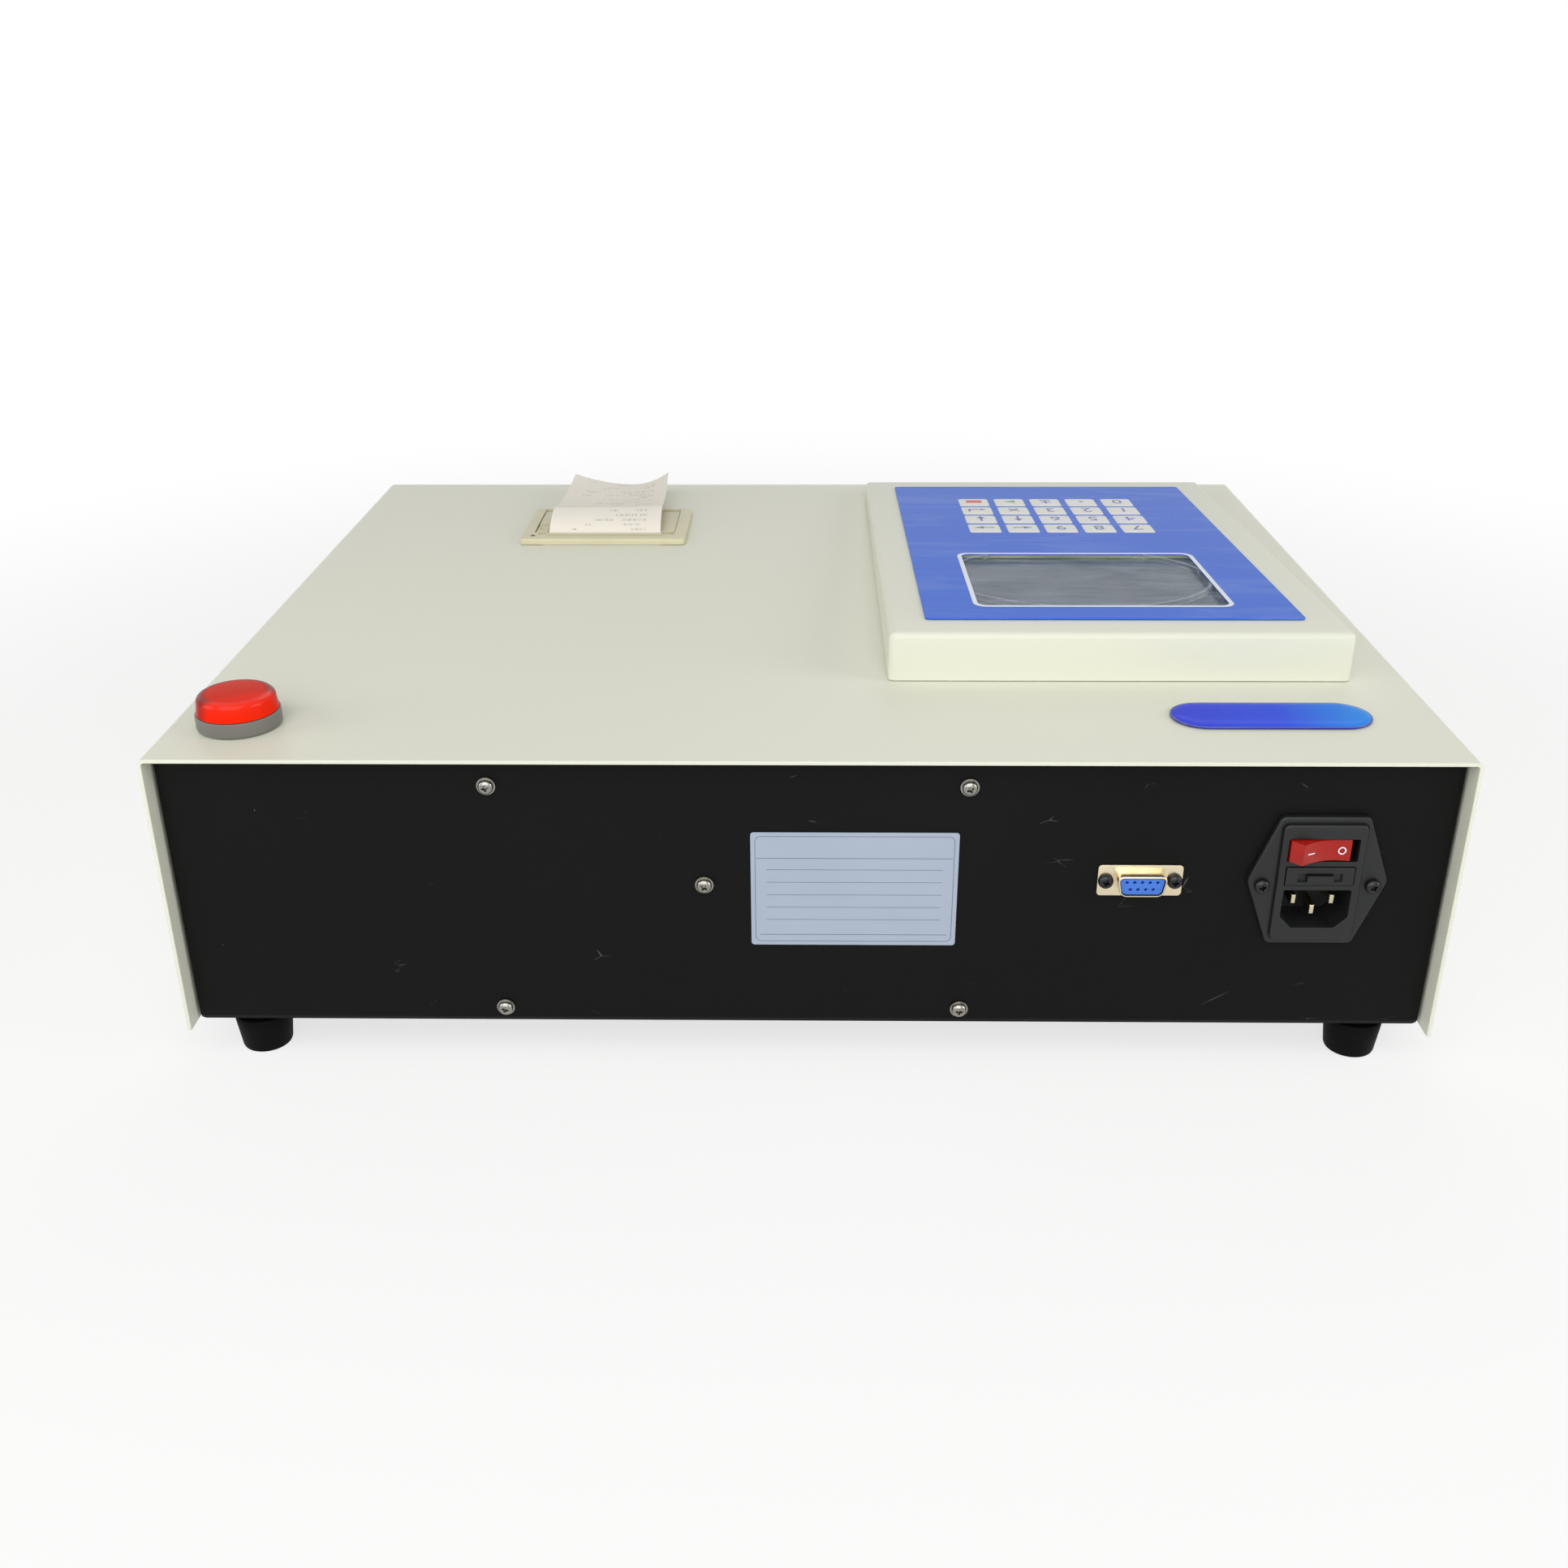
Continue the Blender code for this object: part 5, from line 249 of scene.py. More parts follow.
def make_finishes(colours):
    """Every finish of the analyser, by a short name."""
    # Each row: short name, material, two colours, roughness, grain, its height, patch, stretch
    metals = (
        # Zinc plate: bright, with a soft cloudy gloss
        ("zinc", "zinc plate", "#A3A19A", "#85837C", 0.20, 0.0012, 0.000006, 0.004),
        ("sheet", "zinc-coated sheet", "#A9ADB0", "#979B9F", 0.38, 0.004, 0.000004, 0.03),
        # Nickel plate on a drawn shell: warm, nearly a mirror
        ("nickel", "nickel plate", "#E9DDC0", "#DACCAC", 0.28, 0.0040, 0.0000008, 0.006),
        ("tube metal", "nickel-plated tube", "#C9C3B2", "#B7B09F", 0.22, 0.0030, 0.000004, 0.02),
        # Brass, tinned or bare: smooth from its tool, the tin pale and a little dull
        ("tinned brass", "tinned brass", "#D9D2B6", "#C8BFA0", 0.25, 0.0008, 0.000004, 0.003),
        ("brass", "brass, turned", "#C9A557", "#B8944A", 0.28, 0.0003, 0.000004, 0.004),
        # Aluminium: fine lines from the mill, or an even dull white from the blast
        ("aluminium", "aluminium, milled", "#B4B7B9", "#A6A9AC", 0.34, 0.0012, 0.000006, 0.02,
         (1.0, 12.0, 1.0)),
        ("blasted", "aluminium, bead blasted", "#9EA1A2", "#8F9293", 0.56, 0.0008, 0.000008,
         0.03),
        # Steel from a lathe or a deep draw: rings or lines in a clear gloss
        ("stainless", "stainless steel, turned", "#B9B8B4", "#A5A4A0", 0.22, 0.0006, 0.000004,
         0.01, (1.0, 1.0, 8.0)),
        ("motor", "drawn steel can", "#9A9C9E", "#8B8D90", 0.28, 0.0008, 0.000004, 0.01,
         (6.0, 1.0, 1.0)))
    for key, *row in metals:
        FINISHES[key] = surface(*row, metallic=1.0)

    inks = (
        # Screen and print inks: thin, flat and even
        ("legend", "screen ink, blue grey", colours.legend, "#53629A", 0.45),
        ("red ink", "screen ink, red", "#D8483C", "#CF4438", 0.45),
        ("green ink", "screen ink, green", "#5FA468", "#589A60", 0.45),
        ("white ink", "screen ink, white", "#E9EDF4", "#DDE3EE", 0.40),
        ("black ink", "print ink, black", "#3A3D44", "#33363C", 0.45),
        ("label ink", "print ink, grey", "#66718A", "#5E6980", 0.45))
    for key, *row in inks:
        FINISHES[key] = surface(*row, 0.001, 0.000002)

    others = (
        # Powder coat on steel: satin, with a fine orange peel, drawn at 1.1 mm so that it shows
        ("cover", "powder coat, cream", colours.cover, "#DFE0CF", 0.42, 0.0011, 0.000012, 0.30,
         dict(Specular_IOR_Level=0.32, Coat_Weight=0.04, Coat_Roughness=0.25)),
        ("panel", "powder coat, black", colours.panel, "#131413", 0.46, 0.0009, 0.00002, 0.11,
         dict(Specular_IOR_Level=0.08)),
        # Oxide and black dye on metal: dark satin, in which the metal still shows
        ("black steel", "blackened steel", "#3C3C3F", "#29292B", 0.30, 0.0010, 0.000006, 0.003,
         dict(metallic=0.85)),
        ("anodised", "black anodised aluminium", "#1B1C1E", "#232426", 0.34, 0.0011, 0.000004,
         0.03, dict(metallic=0.6, stretch=(1.0, 1.0, 14.0))),
        # Moulded plastics: nylon with a fine spark-eroded grain, ABS with a softer one
        ("nylon", "glass-filled nylon, black", "#1A1B1D", "#131415", 0.42, 0.0007, 0.00002,
         0.012, dict(Specular_IOR_Level=0.40)),
        ("white nylon", "nylon, natural", "#E9E6DA", "#DEDACB", 0.40, 0.0008, 0.00001, 0.004,
         {}),
        ("grey", "ABS, grey", "#77756F", "#6D6B66", 0.44, 0.0009, 0.00001, 0.01, {}),
        ("bezel", "ABS, beige", colours.bezel, "#CAC4A2", 0.38, 0.0008, 0.000012, 0.02, {}),
        ("blue insert", "thermoplastic, blue", "#3F78D8", "#366CCC", 0.34, 0.0006, 0.000006,
         0.004, {}),
        # Phenolic from a polished mould: black with a hard gloss
        ("phenolic", "phenolic, black", "#1A1A1B", "#121213", 0.16, 0.0012, 0.000004, 0.01,
         dict(Coat_Weight=0.4)),
        # Rubber: dull, the feet slightly dusty and the platen ground
        ("rubber", "moulded rubber", "#080808", "#0E0E0E", 0.62, 0.0010, 0.00003, 0.008,
         dict(Specular_IOR_Level=0.06)),
        ("platen", "ground silicone rubber", "#2A2A2C", "#222224", 0.55, 0.0005, 0.00001, 0.01,
         {}),
        # Red polycarbonate of the switch: glossy, and a little light goes in
        ("rocker", "polycarbonate, red", "#B21C0E", "#981408", 0.16, 0.0015, 0.000004, 0.006,
         dict(Specular_IOR_Level=0.30, Transmission_Weight=0.06)),
        # Screen-printed polyester: satin white keys, and a silver ground with some metal in it
        ("key", "printed film, white", colours.key, "#D2D3CF", 0.34, 0.0030, 0.00002, 0.006,
         dict(Coat_Weight=0.3, Coat_Roughness=0.2)),
        ("label", "silver polyester label", "#A9B3C4", "#A0ABBD", 0.42, 0.0010, 0.000006, 0.03,
         dict(metallic=0.15)),
        # Cast resin: the badge's edge like dark glass, the supply's potting dull
        ("badge rim", "resin edge, dark blue", "#182C9C", "#14268C", 0.12, 0.002, 0.000002,
         0.08, dict(spread=0.02)),
        ("potting", "potting resin, dark grey", "#4A4D51", "#404347", 0.40, 0.0040, 0.00002,
         0.03, {}),
        # Thermal paper's roll: matt, its turns just visible
        ("roll", "thermal paper roll", "#EFE9E4", "#E4DDD8", 0.65, 0.0004, 0.00001, 0.01, {}))
    for key, *row, more in others:
        FINISHES[key] = surface(*row, **more)
    specks(FINISHES["panel"], "#8C8C88", 0.00026, 0.16)
    scratches(FINISHES["panel"], "#747672")
    FINISHES["lens"] = lamp_red(colours)
    FINISHES["film"] = protected_film(colours)
    FINISHES["badge"] = domed_badge(colours)
    FINISHES["pane"] = clear_pane()
    FINISHES["crystal"] = liquid_crystal()
    FINISHES["paper"] = printed_paper()
    FINISHES["board"] = circuit_board()


def protected_film(colours):
    """Screen-printed polyester seen through a loose sheet: long soft wrinkles, and pale streaks
    painted in as the sheet's highlights.
    """
    material = surface("keypad film, blue", colours.film, "#2866D8", 0.30, 0.0016, 0.000010,
                       0.05, Specular_IOR_Level=0.06, Coat_Weight=0.03, Coat_Roughness=0.12)
    tree = material.node_tree
    shader = tree.nodes["Principled BSDF"]
    where = add(tree, "ShaderNodeTexCoord").outputs["Object"]
    turned = add(tree, "ShaderNodeMapping", {"Scale": (9.0, 42.0, 9.0),
                                             "Rotation": (0.0, 0.0, math.radians(12))},
                 {"Vector": where})
    wrinkles_and_sheen = add(tree, "ShaderNodeTexNoise", {"Scale": 1.6, "Detail": 6.0, "Distortion": 0.8},
                {"Vector": turned.outputs["Vector"]}).outputs["Fac"]
    # Painted highlights: pale streaks where the wrinkled sheet catches the light
    share = add(tree, "ShaderNodeMapRange", {1: 0.50, 2: 0.72, 3: 0.0, 4: 0.60}, {0: wrinkles_and_sheen})
    tint(material, share, "#5E86DC")
    grain = shader.inputs["Normal"].links[0].from_socket
    wrinkle = add(tree, "ShaderNodeBump", {"Strength": 0.6, "Distance": 0.00030},
                  {"Height": wrinkles_and_sheen, "Normal": grain})
    for socket in ("Normal", "Coat Normal"):
        tree.links.new(wrinkle.outputs["Normal"], shader.inputs[socket])
    return material


def domed_badge(colours):
    """Blue ground that turns lighter along the badge, under clear resin."""
    material = surface("domed resin, blue", colours.badge, colours.badge, 0.10, 0.002, 0.000002,
                       spread=0.02, Specular_IOR_Level=0.05)
    tree = material.node_tree
    low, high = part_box("badge_plate")
    where = add(tree, "ShaderNodeTexCoord").outputs["Object"]
    axes = add(tree, "ShaderNodeSeparateXYZ", {}, {0: where})
    along = add(tree, "ShaderNodeMapRange", {1: high.x, 2: low.x}, {0: axes.outputs["X"]})
    ramp = add(tree, "ShaderNodeValToRGB", {}, {0: along})
    stops = ramp.color_ramp.elements
    stops[0].color, stops[1].color = linear(colours.badge), linear("#1492F0")
    stops.new(0.55).color = linear("#2A50E6")
    tree.links.new(ramp.outputs["Color"], tree.nodes["Principled BSDF"].inputs["Base Color"])
    return material


def lamp_red(colours):
    """Red polycarbonate with a painted glow in the middle and painted shade deepening towards its
    shoulder.
    """
    material = surface("polycarbonate, lamp red", colours.lens, colours.lens, 0.16, 0.0020,
                       0.000003, 0.010, spread=0.02, Specular_IOR_Level=0.03, Coat_IOR=1.58,
                       Coat_Roughness=0.05)
    tree = material.node_tree
    shader = tree.nodes["Principled BSDF"]
    middle, half = extent("lamp_lens")
    where = add(tree, "ShaderNodeTexCoord").outputs["Object"]
    level = add(tree, "ShaderNodeMapping", {"Location": (-middle.x, -middle.y, 0.0),
                                            "Scale": (1.0, 1.0, 0.0)}, {"Vector": where})
    reach = add(tree, "ShaderNodeVectorMath", {}, {0: level}, operation="LENGTH")
    share = add(tree, "ShaderNodeMapRange", {1: 0.0, 2: half.x}, {0: reach.outputs["Value"]})
    ramp = add(tree, "ShaderNodeValToRGB", {}, {0: share})
    # Painted light and shade: the flat top is painted glowing, the thick shoulder is painted deep
    # red as shade, and the wall is painted glowing again
    stops = ramp.color_ramp.elements
    stops[0].color, stops[1].color = linear(colours.lens), linear("#B4180C")
    for place, code in ((0.68, colours.lens), (0.83, "#7C0E0C"), (0.93, "#8C100C")):
        stops.new(place).color = linear(code)
    tree.links.new(ramp.outputs["Color"], shader.inputs["Base Color"])
    # Painted light: the wall and shoulder that face the connectors' side are painted brighter, as
    # if lit from there
    across = add(tree, "ShaderNodeVectorMath", {1: (-0.60, 1.0, 0.0)}, {0: level},
                 operation="DOT_PRODUCT")
    painted_light_share = add(tree, "ShaderNodeMapRange", {1: 0.003, 2: 0.010}, {0: across.outputs["Value"]},
              interpolation_type="SMOOTHSTEP")
    tint(material, painted_light_share, "#EC260B")
    # The gloss shows on the rounded shoulder
    gloss = add(tree, "ShaderNodeValToRGB", {}, {0: share})
    bands = gloss.color_ramp.elements
    bands[0].position, bands[1].position = 0.72, 0.98
    bands[1].color = (0.0, 0.0, 0.0, 1.0)
    bands.new(0.86).color = (0.5, 0.5, 0.5, 1.0)
    tree.links.new(gloss.outputs["Color"], shader.inputs["Coat Weight"])
    return material


def clear_pane():
    """Clear acrylic under the loose sheet, made paler in streaks and along an oval crease as
    painted highlights of the sheet.
    """
    material = surface("acrylic pane", "#5F7890", "#7A90A4", 0.08, 0.0100, 0.00002, 0.02,
                       spread=0.03, Specular_IOR_Level=0.25)
    tree = material.node_tree
    where = add(tree, "ShaderNodeTexCoord").outputs["Object"]
    turned = add(tree, "ShaderNodeMapping", {"Scale": (12.0, 40.0, 12.0),
                                             "Rotation": (0.0, 0.0, math.radians(-14))},
                 {"Vector": where})
    wrinkles_and_sheen = add(tree, "ShaderNodeTexNoise", {"Scale": 1.8, "Detail": 5.0, "Distortion": 1.6},
                {"Vector": turned.outputs["Vector"]}).outputs["Fac"]
    # Painted highlights: the pane turns paler and more opaque in long streaks, as the loose
    # sheet's sheen
    share = add(tree, "ShaderNodeMapRange", {1: 0.46, 2: 0.70, 3: 0.12, 4: 0.44}, {0: wrinkles_and_sheen})
    # The sheet clings to the window in an oval and creases along its edge, where a pale line is
    # painted as the crease's highlight
    middle, half = extent("display_window")
    wide, deep = 1 / (1.12 * half.x), 1 / (1.18 * half.y)
    spot = (-(middle.x + 0.08 * half.x) * wide, -(middle.y - 0.08 * half.y) * deep, 0.0)
    oval = add(tree, "ShaderNodeMapping", {"Location": spot, "Scale": (wide, deep, 0.0)},
               {"Vector": where})
    reach = add(tree, "ShaderNodeVectorMath", {}, {0: oval.outputs["Vector"]}, operation="LENGTH")
    off = add(tree, "ShaderNodeMath", {1: 1.0}, {0: reach.outputs["Value"]}, operation="SUBTRACT")
    gap = add(tree, "ShaderNodeMath", {}, {0: off}, operation="ABSOLUTE")
    crease = add(tree, "ShaderNodeMapRange", {1: 0.0, 2: 0.024, 3: 0.45, 4: 0.0}, {0: gap})
    both = add(tree, "ShaderNodeMath", {}, {0: share, 1: crease}, operation="ADD")
    tree.links.new(both.outputs[0], tree.nodes["Principled BSDF"].inputs["Alpha"])
    # Painted highlight along the sheet's crease
    tint(material, crease, "#D5DBE0")
    return material


def liquid_crystal():
    """Switched-off display: grey-blue glass with fine columns and a cloudy reflection."""
    material = surface("liquid crystal glass", "#22323F", "#87939C", 0.16, 0.0009, 0.000004,
                       0.030, spread=0.04, Specular_IOR_Level=0.2)
    tree = material.node_tree
    where = add(tree, "ShaderNodeTexCoord").outputs["Object"]
    # Columns 0.9 mm apart stand in for the real 0.3 mm ones, which are too fine to show
    lines = add(tree, "ShaderNodeTexWave", {"Scale": 350.0, "Distortion": 0.4},
                {"Vector": where}, bands_direction="X")
    share = add(tree, "ShaderNodeMapRange", {3: 0.0, 4: 0.16}, {0: lines.outputs["Fac"]})
    tint(material, share, "#8793A0")
    return material


def printed_paper():
    """Thermal paper with short rows of dashes, placed by the strip's own map."""
    material = surface("thermal paper", "#F1EBDF", "#E8E2D6", 0.60, 0.0030, 0.00003, 0.02)
    tree = material.node_tree
    # The map is in metres both ways: rows 3.4 mm apart, their print 42 mm wide
    row, margin = 0.0034, 0.021
    where = add(tree, "ShaderNodeUVMap", uv_map="strip").outputs["UV"]
    axes = add(tree, "ShaderNodeSeparateXYZ", {}, {0: where})
    rows = add(tree, "ShaderNodeMath", {1: 1 / row}, {0: axes.outputs["Y"]}, operation="MULTIPLY")
    step = add(tree, "ShaderNodeMath", {}, {0: rows}, operation="FRACT")
    band = add(tree, "ShaderNodeMath", {1: 0.42}, {0: step}, operation="LESS_THAN")
    count = add(tree, "ShaderNodeMath", {}, {0: rows}, operation="FLOOR")
    spot = add(tree, "ShaderNodeCombineXYZ", {}, {"X": axes.outputs["X"], "Y": count})
    # Marks about 0.8 mm wide, in groups about 13 mm long that thin out to one side
    scaled = add(tree, "ShaderNodeVectorMath", {1: (1150.0, 7.0, 1.0)}, {0: spot},
                 operation="MULTIPLY")
    marks = add(tree, "ShaderNodeTexNoise", {"Scale": 1.0, "Detail": 1.0},
                {"Vector": scaled}).outputs["Fac"]
    inked = add(tree, "ShaderNodeMath", {1: 0.50}, {0: marks}, operation="GREATER_THAN")
    words = add(tree, "ShaderNodeVectorMath", {1: (75.0, 3.7, 1.0)}, {0: spot},
                operation="MULTIPLY")
    groups = add(tree, "ShaderNodeTexNoise", {"Scale": 1.0, "Detail": 0.0},
                 {"Vector": words}).outputs["Fac"]
    lean = add(tree, "ShaderNodeMapRange", {1: -margin, 2: margin, 3: 0.47, 4: 0.62},
               {0: axes.outputs["X"]})
    there = add(tree, "ShaderNodeMath", {}, {0: groups, 1: lean}, operation="GREATER_THAN")
    wide = add(tree, "ShaderNodeMath", {}, {0: axes.outputs["X"]}, operation="ABSOLUTE")
    shown = add(tree, "ShaderNodeMath", {1: margin}, {0: wide}, operation="LESS_THAN")
    for mask in (inked, there, band):
        shown = add(tree, "ShaderNodeMath", {}, {0: shown, 1: mask}, operation="MULTIPLY")
    soft = add(tree, "ShaderNodeMath", {1: 0.42}, {0: shown}, operation="MULTIPLY")
    tint(material, soft, "#6F6A78")
    return material


def circuit_board():
    """Glass-fibre board: green solder resist over straight copper tracks 2.5 mm apart."""
    material = surface("solder resist, green", "#1F6B3E", "#1A5E36", 0.30, 0.0020, 0.000006,
                       0.01, Coat_Weight=0.3)
    tree = material.node_tree
    where = add(tree, "ShaderNodeTexCoord").outputs["Object"]
    tracks = add(tree, "ShaderNodeTexBrick",
                 {"Scale": 160.0, "Mortar Size": 0.06, "Brick Width": 3.0, "Row Height": 0.4,
                  "Color1": (0.0, 0.0, 0.0, 1.0), "Color2": (0.1, 0.1, 0.1, 1.0),
                  "Mortar": (1.0, 1.0, 1.0, 1.0)}, {"Vector": where})
    share = add(tree, "ShaderNodeMath", {1: 0.4}, {0: tracks.outputs["Color"]},
                operation="MULTIPLY")
    tint(material, share, "#3C9A5E")
    return material


# Shaping

def extent(node):
    """Middle and half size of a CAD node's box."""
    low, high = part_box(node)
    return (low + high) / 2, (high - low) / 2


def centre(node):
    """Middle of a CAD node's box."""
    return extent(node)[0]


def near(value, other, slack=1e-5):
    """Whether two lengths are the same."""
    return abs(value - other) < slack


def new(maker, *given, **more):
    """A new shape made by one of the functions below."""
    shape = bmesh.new()
    maker(shape, *given, **more)
    return shape


def merge(shape, other):
    """Moves another shape into this one."""
    mesh = bpy.data.meshes.new("merge")
    other.to_mesh(mesh)
    other.free()
    shape.from_mesh(mesh)
    bpy.data.meshes.remove(mesh)


def place(shape, matrix):
    """Puts a whole shape where a matrix says."""
    bmesh.ops.transform(shape, matrix=matrix, verts=shape.verts[:])


def round_edges(shape, wanted, radius, segments=4):
    """Rounds the edges that a test picks."""
    picked = [edge for edge in shape.edges if wanted(*edge.verts)]
    bmesh.ops.bevel(shape, geom=picked, offset=radius, offset_type="OFFSET", affect="EDGES",
                    segments=segments, profile=0.5, material=-1, clamp_overlap=True)


def round_level(shape, axis, level, radius, segments):
    """Rounds the edges that lie at one level of an axis."""
    index = "XYZ".index(axis)
    round_edges(shape, lambda a, b: near(a.co[index], level) and near(b.co[index], level),
                radius, segments)


def round_along(shape, axis, radius, segments):
    """Rounds the edges that run along an axis."""
    index = "XYZ".index(axis)
    round_edges(shape, lambda a, b: not near(a.co[index], b.co[index]), radius, segments)


def cube(shape, low, high):
    """Block between two corners."""
    low, high = Vector(low), Vector(high)
    made = bmesh.ops.create_cube(shape, size=1.0)["verts"]
    bmesh.ops.scale(shape, vec=high - low, verts=made)
    bmesh.ops.translate(shape, vec=(low + high) / 2, verts=made)


def slab(shape, outline, start, end, axis="Z"):
    """Flat outline pushed out along an axis. It has (x, y), (x, z) or (y, z) points."""
    places = {"Z": lambda u, v, w: (u, v, w), "Y": lambda u, v, w: (u, w, v),
              "X": lambda u, v, w: (w, u, v)}[axis]
    face = shape.faces.new([shape.verts.new(places(u, v, start)) for u, v in outline])
    grown = bmesh.ops.extrude_face_region(shape, geom=[face])["geom"]
    moved = [item for item in grown if isinstance(item, bmesh.types.BMVert)]
    bmesh.ops.translate(shape, vec=places(0.0, 0.0, end - start), verts=moved)


def pad(shape, middle, size, radius, start, end, axis="Z", segments=5):
    """Plate with round corners, its middle and size across the axis."""
    (cu, cv), (w, h) = middle, size
    outline = [(cu - w / 2, cv - h / 2), (cu + w / 2, cv - h / 2),
               (cu + w / 2, cv + h / 2), (cu - w / 2, cv + h / 2)]
    plate = new(slab, outline, start, end, axis)
    round_along(plate, axis, radius, segments)
    merge(shape, plate)


def rounded_ring(half_x, half_y, radius, steps):
    """Outline of a rectangle with round corners, always with as many points."""
    points = []
    for turn, (sx, sy) in enumerate(((1, 1), (-1, 1), (-1, -1), (1, -1))):
        for i in range(steps + 1):
            angle = math.pi / 2 * (turn + i / steps)
            points.append((sx * (half_x - radius) + radius * math.cos(angle),
                           sy * (half_y - radius) + radius * math.sin(angle)))
    return points


def loft(shape, levels, middle):
    """Closed form over (height, outline) levels that have as many points each."""
    fresh = bmesh.new()
    rings = []
    for height, outline in levels:
        verts = [fresh.verts.new((middle[0] + u, middle[1] + v, height)) for u, v in outline]
        rings.append([fresh.edges.new(pair) for pair in zip(verts, verts[1:] + verts[:1])])
    for lower, upper in zip(rings, rings[1:]):
        bmesh.ops.bridge_loops(fresh, edges=lower + upper)
    for end in (rings[0], rings[-1]):
        bmesh.ops.contextual_create(fresh, geom=end)
    bmesh.ops.recalc_face_normals(fresh, faces=fresh.faces[:])
    merge(shape, fresh)


def lathe(shape, profile, middle, axis="Z", steps=64):
    """Profile of (radius, height) points spun round an axis through middle."""
    fresh = bmesh.new()
    verts = [fresh.verts.new((radius, 0.0, height)) for radius, height in profile]
    edges = [fresh.edges.new(pair) for pair in zip(verts, verts[1:])]
    bmesh.ops.spin(fresh, geom=verts + edges, cent=(0.0, 0.0, 0.0), axis=(0.0, 0.0, 1.0),
                   angle=math.tau, steps=steps, use_merge=True, use_duplicate=False)
    bmesh.ops.remove_doubles(fresh, verts=fresh.verts[:], dist=1e-6)
    turn = {"Z": Matrix(), "Y": Matrix.Rotation(-math.pi / 2, 4, "X"),
            "X": Matrix.Rotation(math.pi / 2, 4, "Y")}[axis]
    place(fresh, Matrix.Translation(middle) @ turn)
    bmesh.ops.recalc_face_normals(fresh, faces=fresh.faces[:])
    merge(shape, fresh)


def disc(shape, radius, start, end, middle, axis="Z", steps=24):
    """Plain pin or hole cutter."""
    lathe(shape, ((0.0, start), (radius, start), (radius, end), (0.0, end)), middle, axis, steps)


def carved(shape, other, operation="DIFFERENCE"):
    """A shape with another cut from it or joined to it."""
    things = []
    for part in (shape, other):
        bmesh.ops.recalc_face_normals(part, faces=part.faces[:])
        mesh = bpy.data.meshes.new("work")
        part.to_mesh(mesh)
        part.free()
        thing = bpy.data.objects.new("work", mesh)
        bpy.context.scene.collection.objects.link(thing)
        things.append(thing)
    modifier = things[0].modifiers.new("carve", "BOOLEAN")
    modifier.operation = operation
    modifier.solver = "EXACT"
    modifier.object = things[1]
    graph = bpy.context.evaluated_depsgraph_get()
    result = bmesh.new()
    result.from_mesh(things[0].evaluated_get(graph).to_mesh())
    for thing in things:
        mesh = thing.data
        bpy.data.objects.remove(thing)
        bpy.data.meshes.remove(mesh)
    if not result.faces:
        raise RuntimeError("a cut left nothing of its piece")
    return result


def lettered(shape, text, size, height, spot):
    """Flat digits, standing height thick, put into a shape by a matrix."""
    curve = bpy.data.curves.new("legend", "FONT")
    curve.body = text
    curve.size = size
    curve.extrude = height / 2
    curve.resolution_u = 3
    curve.align_x = "CENTER"
    curve.align_y = "CENTER"
    thing = bpy.data.objects.new("legend", curve)
    bpy.context.scene.collection.objects.link(thing)
    graph = bpy.context.evaluated_depsgraph_get()
    fresh = bmesh.new()
    fresh.from_mesh(thing.evaluated_get(graph).to_mesh())
    bpy.data.objects.remove(thing)
    bpy.data.curves.remove(curve)
    place(fresh, spot)
    merge(shape, fresh)


def finish(name, shape, look, body, *nodes, edge=0.0, thick=0.0, slot=None):
    """Finished piece that rides on a body and stands for CAD nodes.

    edge rounds its hard edges, and thick gives an open shell its wall, inwards.
    """
    bmesh.ops.recalc_face_normals(shape, faces=shape.faces[:])
    if thick:
        top = max(shape.faces, key=lambda face: face.calc_center_median().z)
        if top.normal.z < 0.0:
            bmesh.ops.reverse_faces(shape, faces=shape.faces[:])
    for face in shape.faces:
        face.smooth = True
    for line in shape.edges:
        line.smooth = len(line.link_faces) == 2 and line.calc_face_angle() < HARD_EDGE
    mesh = bpy.data.meshes.new(name)
    shape.to_mesh(mesh)
    shape.free()
    mesh.materials.append(FINISHES[look])
    thing = bpy.data.objects.new(name, mesh)
    bpy.context.scene.collection.objects.link(thing)
    if thick:
        wall = thing.modifiers.new("wall", "SOLIDIFY")
        wall.thickness = thick
        wall.offset = -1.0
        wall.use_even_offset = True
    if edge:
        bevel = thing.modifiers.new("edge", "BEVEL")
        bevel.width = edge
        bevel.segments = 2
        bevel.limit_method = "ANGLE"
        bevel.angle_limit = HARD_EDGE
        bevel.harden_normals = True
    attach(thing, body)
    if nodes:
        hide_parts(*nodes)
    return thing


def dress(look, *nodes):
    """Gives CAD nodes a finish."""
    for node in nodes:
        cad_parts[node].material_slots[0].material = FINISHES[look]


# Pieces

class ANALYSER_OT_finishes(Operator):
    """Make every finish"""
    bl_idname = "analyser.finishes"
    bl_label = "Finishes"

    def execute(self, context):
        make_finishes(context.scene.analyser.colours)
        return {"FINISHED"}


